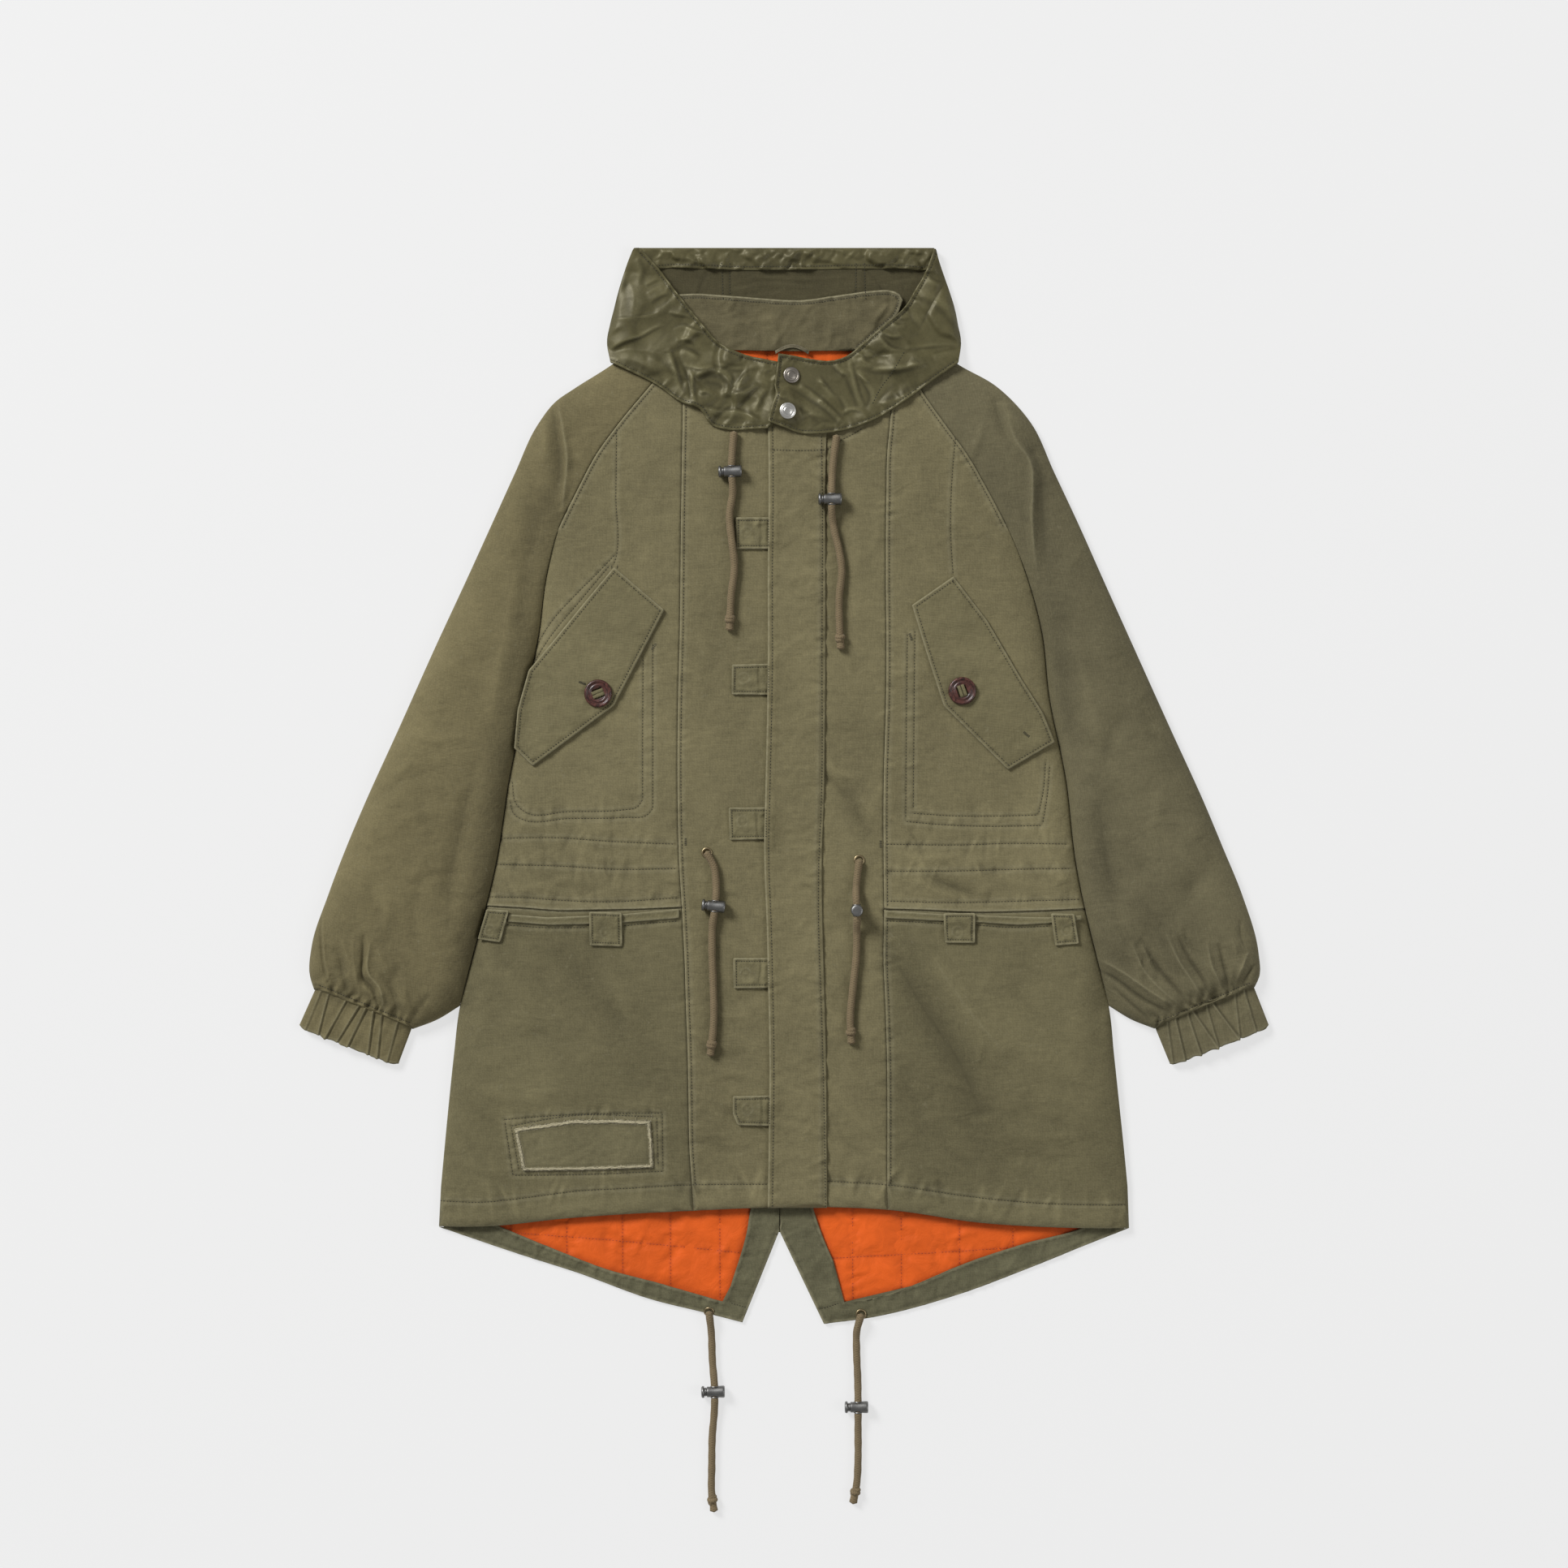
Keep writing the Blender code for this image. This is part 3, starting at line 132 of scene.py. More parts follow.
def bell(d, half):
    return np.exp(-((np.asarray(d) / half) ** 2))


def curve(points, step=6.0):
    """Points on a smooth curve through the given ones, about step apart."""
    p = np.array(points, float)
    if len(p) < 3:
        n = max(2, int(math.ceil(np.linalg.norm(p[-1] - p[0]) / step)) + 1)
        t = np.linspace(0, 1, n)[:, None]
        return p[0] * (1 - t) + p[-1] * t
    chord = np.concatenate([[0], np.cumsum(np.maximum(np.linalg.norm(np.diff(p, axis=0), axis=1), 1e-6))])
    d = np.diff(p, axis=0) / np.diff(chord)[:, None]
    m = np.zeros_like(p)
    h = np.diff(chord)
    m[1:-1] = (d[:-1] * h[1:, None] + d[1:] * h[:-1, None]) / (h[1:] + h[:-1])[:, None]
    m[0], m[-1] = d[0], d[-1]
    n = max(2, int(math.ceil(chord[-1] / step)) + 1)
    s = np.linspace(0, chord[-1], n)
    i = np.clip(np.searchsorted(chord, s, side="right") - 1, 0, len(p) - 2)
    hh = h[i][:, None]
    t = ((s - chord[i]) / h[i])[:, None]
    return (2 * t**3 - 3 * t**2 + 1) * p[i] + (t**3 - 2 * t**2 + t) * hh * m[i] + (-2 * t**3 + 3 * t**2) * p[i + 1] + (t**3 - t**2) * hh * m[i + 1]


def chain(*runs, step=None):
    """One closed loop from several runs of points, evenly spaced within each run."""
    out = []
    for run in runs:
        run = np.asarray(run, float)
        if step:
            s = np.concatenate([[0], np.cumsum(np.linalg.norm(np.diff(run, axis=0), axis=1))])
            n = max(2, int(round(s[-1] / step)) + 1)
            q = np.linspace(0, s[-1], n)
            run = np.stack([np.interp(q, s, run[:, 0]), np.interp(q, s, run[:, 1])], 1)
        for a in run:
            if not out or np.hypot(*(a - out[-1])) > 0.35:
                out.append(a)
    if np.hypot(*(out[0] - out[-1])) < 0.35:
        out.pop()
    return np.array(out)


def near(path, u, v, reach=1e9, signed=False):
    """For points near a path: their index, distance to it (signed on request, in
    units, positive to the left of its direction as drawn) and place along it."""
    u, v = np.asarray(u, float).ravel(), np.asarray(v, float).ravel()
    path = np.asarray(path, float)
    lo, hi = path.min(0) - reach, path.max(0) + reach
    idx = np.nonzero((u >= lo[0]) & (u <= hi[0]) & (v >= lo[1]) & (v <= hi[1]))[0] if reach < 1e8 else np.arange(len(u))
    x, y = u[idx], v[idx]
    best = np.full(x.shape, 1e9)
    side = np.zeros_like(best)
    along = np.zeros_like(best)
    run = 0.0
    for (au, av), (bu, bv) in zip(path[:-1], path[1:]):
        du, dv = bu - au, bv - av
        length = math.hypot(du, dv)
        if length < 1e-9:
            continue
        t = np.clip(((x - au) * du + (y - av) * dv) / (length * length), 0, 1)
        d = np.hypot(x - au - t * du, y - av - t * dv)
        hit = d < best
        best = np.where(hit, d, best)
        along = np.where(hit, run + t * length, along)
        if signed:
            side = np.where(hit, np.sign((y - av) * du - (x - au) * dv), side)
        run += length
    if reach < 1e8:
        keep = best <= reach
        idx, best, side, along = idx[keep], best[keep], side[keep], along[keep]
    if signed:
        best = best * np.where(side == 0, 1, side)
    return idx, best, along


def away(path, u, v):
    """Distance in millimetres from points to a path."""
    shape = np.shape(u)
    return near(path, u, v)[1].reshape(shape) * PX


GRADS = np.random.RandomState(7).rand(8, 256, 256) * 2 * math.pi


def grain(x, y, layer=0):
    """Smooth gradient noise, from about -1 to 1."""
    x, y = np.asarray(x, float), np.asarray(y, float)
    xi, yi = np.floor(x).astype(int), np.floor(y).astype(int)
    fx, fy = x - xi, y - yi
    total = 0
    wx, wy = fx * fx * fx * (fx * (fx * 6 - 15) + 10), fy * fy * fy * (fy * (fy * 6 - 15) + 10)
    g = GRADS[layer % 8]
    for dx in (0, 1):
        for dy in (0, 1):
            a = g[(xi + dx) % 256, (yi + dy) % 256]
            value = np.cos(a) * (fx - dx) + np.sin(a) * (fy - dy)
            total = total + value * (wx if dx else 1 - wx) * (wy if dy else 1 - wy)
    return total * 1.5


def turned_by(u, v, degrees):
    c, s = math.cos(math.radians(degrees)), math.sin(math.radians(degrees))
    return u * c + v * s, -u * s + v * c


def fans(u, v, wave, layer, angle=0.0, stretch=1.0, warp=0.0):
    """Sharp-crested crumples: 1 on the creases, falling to about -1 between them."""
    a, b = turned_by(u, v, angle)
    if warp:
        a = a + warp * grain(u / (wave * 2.3), v / (wave * 2.3), layer + 3)
        b = b + warp * grain(u / (wave * 2.1) + 9, v / (wave * 2.1), layer + 4)
    n = grain(a / wave, b / (wave * stretch), layer)
    return 1 - 3.2 * np.sqrt(n * n + 0.0025)


# ---------------------------------------------------------- the sheet of the front
def facets(u, v, size, seed, angle=0.0, stretch=1.0, keen=7.0):
    """Crumpled cloth: tilted flat facets that meet in ridges."""
    a = math.radians(angle)
    x = (u * math.cos(a) + v * math.sin(a)) / (size * stretch) + 0.35 * grain(u / size, v / size, seed)
    y = (-u * math.sin(a) + v * math.cos(a)) / size + 0.35 * grain(u / size + 9, v / size + 5, seed)
    gen = np.random.RandomState(900 + seed)
    table = gen.uniform(-1, 1, (64, 64, 5))
    ix, iy = np.floor(x).astype(int), np.floor(y).astype(int)
    total, weight = np.zeros(np.shape(x)), np.zeros(np.shape(x))
    for di in (-1, 0, 1):
        for dj in (-1, 0, 1):
            row = table[(iy + dj) % 64, (ix + di) % 64]
            cx, cy = ix + di + 0.5 + 0.42 * row[..., 0], iy + dj + 0.5 + 0.42 * row[..., 1]
            dx, dy = x - cx, y - cy
            w = np.exp(-keen * np.sqrt(dx * dx + dy * dy + 1e-6))
            total += w * (row[..., 2] * dx * 1.5 + row[..., 3] * dy * 1.5 + 0.45 * row[..., 4])
            weight += w
    return total / weight


def rows_curve(col, first=0, last=None, step=8.0):
    rows = SECTIONS[first:last]
    return curve(np.stack([rows[:, col], rows[:, 0]], 1), step)


SIDE_L, SIDE_R = rows_curve(1), rows_curve(4)
SEAM_L, SEAM_R = rows_curve(2), rows_curve(3)
CREASES = (rows_curve(1, UNDERARM, FREE + 1), rows_curve(4, UNDERARM, FREE + 1))
ARM_L, ARM_R = curve(SLEEVE_L, 8.0), curve(SLEEVE_R, 8.0)
FREE_L = chain(rows_curve(1, FREE), [HEM[0]])
FREE_R = chain(rows_curve(4, FREE), [HEM[-1]])
UNDER_L = curve([tuple(SECTIONS[FREE, [1, 0]]), *UNDERSIDE_L], 6.0)
UNDER_R = curve([tuple(SECTIONS[FREE, [4, 0]]), *UNDERSIDE_R], 6.0)
OUTER = (ARM_L, ARM_R, UNDER_L, UNDER_R, FREE_L, FREE_R)


def cloth_top(u, v):
    """Height of the upper cloth, anywhere on the fronts and sleeves."""
    u, v = np.asarray(u, float), np.asarray(v, float)
    full = NECK_HIGH + (BODY_HIGH - NECK_HIGH) * ease(446, 560, v)
    full = full - (BODY_HIGH - HEM_HIGH) * ease(1330, 1495, v)
    on_sleeve = (u < np.interp(v, SIDE_L[:, 1], SIDE_L[:, 0])) | (u > np.interp(v, SIDE_R[:, 1], SIDE_R[:, 0]))
    full = full + SLEEVE_MORE * ease(620, 820, v) * on_sleeve
    for fu, fv, tu, tv, half, height in FOLDS:
        full = full + height * bell(away(((fu, fv), (tu, tv)), u, v) / PX, half)
    swell = rise(np.min([away(p, u, v) for p in OUTER], axis=0) / FOLD_REACH)
    close = np.min([away(p, u, v) for p in CREASES], axis=0) / CREASE_REACH
    swell = swell * (1 - CREASE_DEPTH * ease(600, 800, v) * (1 - rise(close)))
    return EDGE_HIGH + (full - EDGE_HIGH) * swell


# ------------------------------------------------------- seams, stitches, creases
# name: points, what it runs on, pucker height, pucker reach, pucker pitch
def offset(path, by):
    """A path moved sideways by so many units, positive to the left as drawn."""
    p = np.asarray(path, float)
    t = np.gradient(p, axis=0)
    t /= np.maximum(np.linalg.norm(t, axis=1), 1e-9)[:, None]
    return p + np.stack([-t[:, 1], t[:, 0]], 1) * by


def smooth(*points):
    return curve(points, 8.0)


RAGLAN_L, RAGLAN_R = rows_curve(1, 0, UNDERARM + 1), rows_curve(4, 0, UNDERARM + 1)
PLACKET_LEFT = curve([(l, v) for v, l, r in PLACKET_EDGE], 8.0)
PLACKET_STITCH = smooth((1012, 530), (1013, 622), (1012.5, 800), (1012, 980), (1008.6, 1067), (1008.6, 1153), (1011, 1218), (1014, 1320), (1016, 1410), (1017, 1489))
WAIST_L = smooth((598, 1116), (640, 1118), (690, 1121.6), (730, 1121), (780, 1120), (839, 1117.5))
WAIST_R = smooth((1089.5, 1119.5), (1140, 1121), (1200, 1123.5), (1260, 1122.5), (1337, 1119.5))

# where, points, pucker mm, reach, pitch, stitched
LINES = [
    ("shell", offset(RAGLAN_L, -4.2), 0.34, 8, 8.5, True),
    ("shell", offset(RAGLAN_R, 4.2), 0.34, 8, 8.5, True),
    ("shell", offset(SEAM_L, -4.4), 0.36, 9, 8.0, True),
    ("shell", offset(SEAM_R, -4.4), 0.42, 10, 8.0, True),
    ("shell", smooth((760, 528), (759, 610), (758, 691), (756, 697)), 0.22, 7, 10, True),
    ("shell", smooth((1177, 540), (1174, 573), (1171, 654), (1174, 708)), 0.22, 7, 10, True),
    # pocket mouths beside the flaps
    ("shell", smooth((757.5, 684), (741, 701.6), (707, 735.6), (677, 769.6), (660, 799.8), (653.5, 826)), 0.3, 7, 9, True),
    ("shell", smooth((750.5, 698), (714.5, 741), (684, 777), (663.5, 807), (656, 821)), 0.3, 6, 9, True),
    # pocket bags
    ("shell", smooth((792.5, 812), (792, 900), (792, 985)), 0.26, 9, 10, True),
    ("shell", smooth((792, 985), (785, 995), (770, 997.5), (700, 1000), (648, 1001), (637, 992), (631, 962)), 0.34, 10, 9, True),
    ("shell", smooth((804.5, 793), (804.5, 900), (804.5, 996)), 0.26, 9, 10, True),
    ("shell", smooth((804.5, 996), (798, 1004), (770, 1007), (700, 1008.5), (645, 1010), (634, 1004), (628, 985)), 0.34, 10, 9, True),
    ("shell", smooth((1117.8, 781), (1116.5, 900), (1115.7, 1010)), 0.26, 9, 10, True),
    ("shell", smooth((1127, 777), (1126, 880), (1125, 998)), 0.26, 9, 10, True),
    ("shell", smooth((1115.7, 1012), (1160, 1016), (1220, 1018), (1284, 1017)), 0.34, 10, 9, True),
    ("shell", smooth((1125, 1002), (1170, 1005), (1230, 1005.5), (1279, 1004)), 0.34, 10, 9, True),
    ("shell", smooth((1293, 944), (1290, 980), (1284, 1017)), 0.2, 7, 10, True),
    ("shell", smooth((1288, 940), (1285, 975), (1279, 1004)), 0.2, 7, 10, True),
    # waist casing
    ("shell", smooth((616, 1033), (680, 1032), (760, 1037), (833, 1040)), 0.5, 13, 9, True),
    ("shell", smooth((611, 1065), (690, 1067), (760, 1071), (834, 1070)), 0.5, 13, 9, True),
    ("shell", smooth((601, 1105), (650, 1106), (690, 1109), (740, 1111), (838, 1106)), 0.42, 9, 9, True),
    ("shell", smooth((1092, 1040), (1180, 1041), (1250, 1039), (1318, 1040)), 0.5, 13, 9, True),
    ("shell", smooth((1092, 1073.5), (1180, 1073), (1250, 1071), (1322, 1070)), 0.5, 13, 9, True),
    ("shell", smooth((1092, 1110), (1180, 1112), (1260, 1110), (1331, 1108)), 0.42, 9, 9, True),
    # lower pocket lips
    ("shell", smooth((624, 1139.5), (679, 1143), (724, 1142.5)), 0.3, 9, 9, True),
    ("shell", smooth((768.5, 1140.5), (800, 1137.5), (838, 1134.5)), 0.3, 9, 9, True),
    ("shell", smooth((1091, 1134.5), (1130, 1136), (1162, 1138)), 0.3, 9, 9, True),
    ("shell", smooth((1202, 1139.5), (1245, 1142.5), (1293, 1141)), 0.3, 9, 9, True),
    # patch surround
    ("shell", smooth((622, 1379), (700, 1373), (816, 1371)), 0.4, 8, 7, True),
    ("shell", smooth((816, 1371), (817, 1443)), 0.4, 8, 7, True),
    ("shell", smooth((817, 1443), (720, 1447), (632, 1448)), 0.4, 8, 7, True),
    ("shell", smooth((632, 1448), (622, 1379)), 0.4, 8, 7, True),
    ("shell", smooth((630, 1387), (702, 1374.5), (808, 1375.5)), 0.3, 6, 7, True),
    ("shell", smooth((809.5, 1376), (811, 1437)), 0.3, 6, 7, True),
    ("shell", smooth((639.5, 1441), (630, 1387)), 0.3, 6, 7, True),
    # hem
    ("shell", smooth((541, 1480), (599, 1481), (642, 1476.5), (711.5, 1467.5), (775, 1464), (847.5, 1460), (946, 1459)), 0.62, 15, 11, True),
    ("shell", smooth((1019, 1455.5), (1094, 1460), (1193, 1474), (1272, 1482), (1340, 1484.5), (1391, 1485)), 0.62, 15, 11, True),
    # beside the placket's top
    ("shell", smooth((1019, 555), (1034, 544), (1050, 536), (1065, 526.5)), 0.3, 8, 10, True),
    # sleeve and cuff seams: gathered, no row of stitches
    ("arms", smooth((386, 1221), (401, 1229.5), (421, 1235), (447, 1249), (471, 1265), (507, 1268.5)), 0.9, 20, 10, False),
    ("arms", smooth((1423, 1262), (1447, 1252.5), (1478, 1239), (1510, 1231.5), (1547, 1217)), 0.9, 20, 10, False),
]

# creases of the shell: where, points, half width, height (negative is a trough)
CREASE_TABLE = (
    # left sleeve
    ("arms", ((686, 492), (694, 530), (699, 569), (696, 602), (693, 634)), 5.0, 2.0),
    ("arms", ((680, 500), (686, 540), (690, 575), (686, 610)), 9.0, -1.7),
    ("arms", ((668, 520), (672, 545), (668, 575)), 8.0, 1.1),
    ("arms", ((706, 540), (712, 560), (722, 575)), 7.0, 0.7),
    ("arms", ((655, 620), (650, 690), (640, 780)), 13.0, -1.1),
    ("arms", ((640, 700), (620, 800), (604, 900)), 12.0, 1.2),
    ("arms", ((560, 760), (566, 800), (585, 832)), 9.0, -0.6),
    ("arms", ((500, 900), (540, 912), (575, 905)), 8.0, 0.6),
    ("arms", ((455, 990), (500, 960), (548, 950)), 11.0, -0.8),
    ("arms", ((468, 1040), (500, 1010), (545, 996)), 9.0, 0.7),
    ("arms", ((588, 930), (570, 1010), (556, 1080), (552, 1150)), 13.0, -1.3),
    ("arms", ((470, 1090), (478, 1120), (470, 1160)), 9.0, 1.1),
    ("arms", ((520, 1080), (510, 1130), (520, 1185)), 10.0, -1.0),
    ("arms", ((396, 1090), (394.5, 1130), (396, 1160), (398.5, 1185), (405, 1211), (418, 1236)), 2.4, -1.2),
    ("arms", ((399.5, 1090), (398, 1130), (400, 1160), (402, 1185), (409, 1211), (422, 1234)), 1.9, 1.0),
    ("arms", ((449.5, 1150), (448, 1180), (448, 1205), (461, 1220), (466, 1247), (470, 1262)), 4.5, -2.4),
    ("arms", ((457, 1160), (456, 1200), (470, 1218), (474, 1246), (480, 1262)), 4.5, 1.7),
    ("arms", ((436, 1150), (438, 1190), (446, 1230), (452, 1250)), 5.0, 1.1),
    ("arms", ((420, 1180), (427, 1215), (438, 1240)), 5.0, -1.2),
    ("arms", ((470, 1200), (486, 1226), (490, 1262)), 6.0, -1.2),
    ("arms", ((500, 1205), (500, 1240), (499, 1264)), 7.0, 0.9),
    ("arms", ((530, 1225), (516, 1245), (508, 1264)), 6.0, -0.9),
    # right sleeve
    ("arms", ((1240, 510), (1252, 544), (1269, 569), (1272, 600), (1271, 634), (1277, 708)), 5.0, 1.9),
    ("arms", ((1262, 540), (1280, 575), (1284, 630), (1288, 700)), 10.0, -1.7),
    ("arms", ((1226, 486), (1232, 520), (1246, 545)), 7.0, -1.2),
    ("arms", ((1237, 492), (1246, 512), (1262, 530)), 6.0, 1.2),
    ("arms", ((1198, 560), (1206, 540), (1212, 520)), 5.0, 0.7),
    ("arms", ((1300, 760), (1312, 860), (1330, 950)), 13.0, -1.2),
    ("arms", ((1322, 760), (1338, 850), (1360, 930)), 12.0, 1.1),
    ("arms", ((1400, 860), (1372, 900), (1360, 950)), 11.0, -0.8),
    ("arms", ((1352, 985), (1362, 1060), (1378, 1120)), 13.0, -1.3),
    ("arms", ((1440, 960), (1420, 1010), (1426, 1060)), 12.0, 0.8),
    ("arms", ((1500, 1060), (1470, 1090), (1452, 1130)), 12.0, -1.0),
    ("arms", ((1344, 1190), (1372, 1205), (1410, 1232), (1448, 1251)), 5.0, -2.2),
    ("arms", ((1350, 1180), (1380, 1196), (1418, 1222), (1452, 1243)), 5.0, 1.8),
    ("arms", ((1370, 1216), (1395, 1238), (1420, 1260)), 3.6, -1.3),
    ("arms", ((1392, 1160), (1412, 1200), (1440, 1228), (1462, 1245)), 5.0, 1.4),
    ("arms", ((1404, 1155), (1426, 1192), (1452, 1222), (1470, 1244)), 5.0, -2.0),
    ("arms", ((1436, 1150), (1452, 1185), (1470, 1212), (1484, 1236)), 4.6, 1.6),
    ("arms", ((1450, 1152), (1464, 1180), (1480, 1204), (1494, 1230)), 4.6, -1.9),
    ("arms", ((1486, 1160), (1492, 1190), (1502, 1212), (1508, 1232)), 4.5, 1.4),
    ("arms", ((1500, 1160), (1506, 1186), (1512, 1210), (1514, 1230)), 4.5, -1.6),
    ("arms", ((1546, 1188), (1536, 1202), (1527, 1222)), 4.4, -1.9),
    ("arms", ((1538, 1172), (1528, 1195), (1520, 1216)), 4.4, 1.3),
    # body
    ("shell", ((1000, 948), (1030, 968), (1050, 990)), 6.0, -1.2),
    ("shell", ((1016, 940), (1040, 955), (1062, 962)), 6.0, 0.9),
    ("shell", ((1048, 985), (1062, 1010), (1075, 1030)), 5.5, -1.0),
    ("shell", ((1056, 975), (1072, 1000), (1086, 1012)), 5.0, 0.8),
    ("shell", ((1040, 1010), (1048, 1035), (1062, 1048)), 5.0, 0.7),
    ("shell", ((1140, 1078), (1170, 1092), (1205, 1104)), 7.0, -1.3),
    ("shell", ((1128, 1083), (1150, 1097), (1180, 1107)), 6.0, 0.9),
    ("shell", ((1230, 1078), (1262, 1090), (1296, 1092)), 7.0, 0.7),
    ("shell", ((660, 1080), (700, 1094), (748, 1096)), 7.0, -0.7),
    ("shell", ((700, 1042), (740, 1056), (790, 1058)), 6.0, 0.6),
    ("shell", ((1100, 1050), (1140, 1058), (1180, 1054)), 6.0, 0.7),
    ("shell", ((1102, 1180), (1140, 1245), (1182, 1310), (1212, 1380)), 17.0, -2.0),
    ("shell", ((1150, 1180), (1190, 1240), (1240, 1300)), 16.0, 1.3),
    ("shell", ((1240, 1300), (1290, 1330), (1350, 1345)), 14.0, -0.8),
    ("shell", ((1112, 1310), (1130, 1370), (1150, 1430)), 14.0, -0.9),
    ("shell", ((1230, 1390), (1286, 1402), (1340, 1396)), 10.0, 0.7),
    ("shell", ((1225, 1430), (1270, 1425), (1320, 1436)), 8.0, -0.7),
    ("shell", ((1150, 1385), (1170, 1420), (1210, 1442)), 8.0, -0.8),
    ("shell", ((690, 1168), (730, 1224), (790, 1290)), 16.0, -0.7),
    ("shell", ((742, 1180), (772, 1240), (782, 1310)), 12.0, 0.9),
    ("shell", ((600, 1190), (640, 1220), (650, 1280)), 14.0, 0.8),
    ("shell", ((575, 1330), (620, 1350), (680, 1352)), 10.0, 0.7),
    ("shell", ((570, 1440), (600, 1452), (640, 1460)), 8.0, -0.6),
    ("shell", ((835, 1350), (800, 1362), (760, 1360)), 7.0, 0.6),
    ("shell", ((862, 1240), (900, 1252), (930, 1248)), 6.0, 0.7),
    ("shell", ((860, 1288), (890, 1300), (925, 1296)), 7.0, -0.8),
    ("shell", ((868, 1330), (906, 1322), (940, 1330)), 6.0, 0.6),
    ("shell", ((862, 1400), (900, 1418), (936, 1412)), 7.0, -0.7),
    ("shell", ((1030, 1340), (1056, 1380), (1080, 1400)), 7.0, 0.9),
    ("shell", ((1024, 1370), (1044, 1410), (1076, 1430)), 7.0, -0.9),
    ("shell", ((1030, 1170), (1046, 1210), (1050, 1270)), 9.0, -0.7),
    ("shell", ((1147, 816), (1158, 826), (1170, 833)), 4.0, -0.5),
    ("shell", ((866, 700), (880, 780), (872, 880)), 14.0, -0.6),
    ("shell", ((1060, 600), (1052, 690), (1060, 790)), 12.0, 0.6),
    ("shell", ((1190, 975), (1196, 990), (1206, 1001)), 1.6, -0.5),
    ("shell", ((870, 560), (864, 620), (868, 670)), 12.0, 0.5),
    ("shell", ((700, 620), (716, 640), (740, 648)), 8.0, 0.4),
)
_rng = np.random.RandomState(31)
# smaller creases of washed cloth, each with its own length, depth and direction
ZONES = (
    # where, box, count, angle, spread, length, half width, height
    ("shell", (850, 560, 935, 1040), 14, 80, 40, (18, 60), (4, 9), 0.34),
    ("shell", (1025, 560, 1086, 1050), 14, 80, 40, (18, 60), (4, 9), 0.40),
    ("shell", (690, 560, 830, 1000), 16, 70, 60, (18, 60), (5, 10), 0.32),
    ("shell", (1100, 560, 1290, 1000), 16, 110, 60, (18, 60), (5, 10), 0.32),
    ("shell", (615, 1040, 835, 1110), 14, 15, 35, (16, 50), (3.5, 7), 0.5),
    ("shell", (1092, 1040, 1325, 1110), 16, 10, 35, (16, 50), (3.5, 7), 0.55),
    ("shell", (570, 1150, 840, 1470), 30, 35, 60, (20, 80), (5, 12), 0.5),
    ("shell", (1095, 1150, 1375, 1470), 34, 50, 60, (20, 80), (5, 12), 0.55),
    ("shell", (855, 1060, 940, 1480), 22, 15, 50, (14, 50), (4, 8), 0.5),
    ("shell", (1025, 1060, 1088, 1480), 22, 40, 50, (14, 50), (4, 8), 0.55),
    ("shell", (545, 1486, 1390, 1512), 46, 5, 25, (10, 30), (2.6, 5), 0.6),
    ("arms", (440, 700, 640, 1200), 40, 110, 60, (20, 80), (5, 12), 0.55),
    ("arms", (1300, 700, 1500, 1200), 40, 70, 60, (20, 80), (5, 12), 0.55),
    ("arms", (640, 480, 770, 700), 14, 100, 50, (16, 50), (4, 9), 0.5),
    ("arms", (1170, 480, 1330, 700), 14, 80, 50, (16, 50), (4, 9), 0.5),
    ("arms", (385, 1170, 520, 1262), 16, 75, 25, (14, 44), (3, 5.5), 0.9),
    ("arms", (1390, 1150, 1550, 1246), 16, 60, 25, (14, 44), (3, 5.5), 0.9),
)
CREASE_LIST = [(w, curve(p, 5.0), h * (0.62 if w == "arms" and p[0][1] > 1140 and h < 7 else 1.0), z) for w, p, h, z in CREASE_TABLE]
for where, (u0, v0, u1, v1), count, angle, spread, lengths, halves, high in ZONES:
    for _ in range(count):
        cu, cv = _rng.uniform(u0, u1), _rng.uniform(v0, v1)
        a = math.radians(angle + _rng.uniform(-spread, spread))
        length, bend = _rng.uniform(*lengths), _rng.uniform(-0.18, 0.18)
        d = np.array((math.cos(a), math.sin(a))) * length / 2
        n = np.array((-d[1], d[0])) * bend * 2
        c = np.array((cu, cv))
        CREASE_LIST.append((where, curve((c - d, c + n, c + d), 6.0), _rng.uniform(*halves), high * _rng.uniform(0.5, 1.15) * (1 if _rng.rand() < 0.5 else -1)))


def add_creases(z, u, v, where):
    for w, path, half, height in CREASE_LIST:
        if w != where:
            continue
        idx, d, s = near(path, u, v, half * 3.0)
        if not len(idx):
            continue
        total = np.sum(np.linalg.norm(np.diff(path, axis=0), axis=1))
        taper = np.clip(np.sin(math.pi * np.clip(s / total, 0, 1)), 0, 1) ** 0.6
        # a soft flank with a firmer crest
        profile = 0.65 * np.exp(-((d / half) ** 2)) + 0.35 * np.exp(-d / (half * 0.55))
        profile = profile * np.clip(1.5 - 0.5 * d / half, 0, 1)
        z[idx] += 1.75 * height * profile * taper
    return z


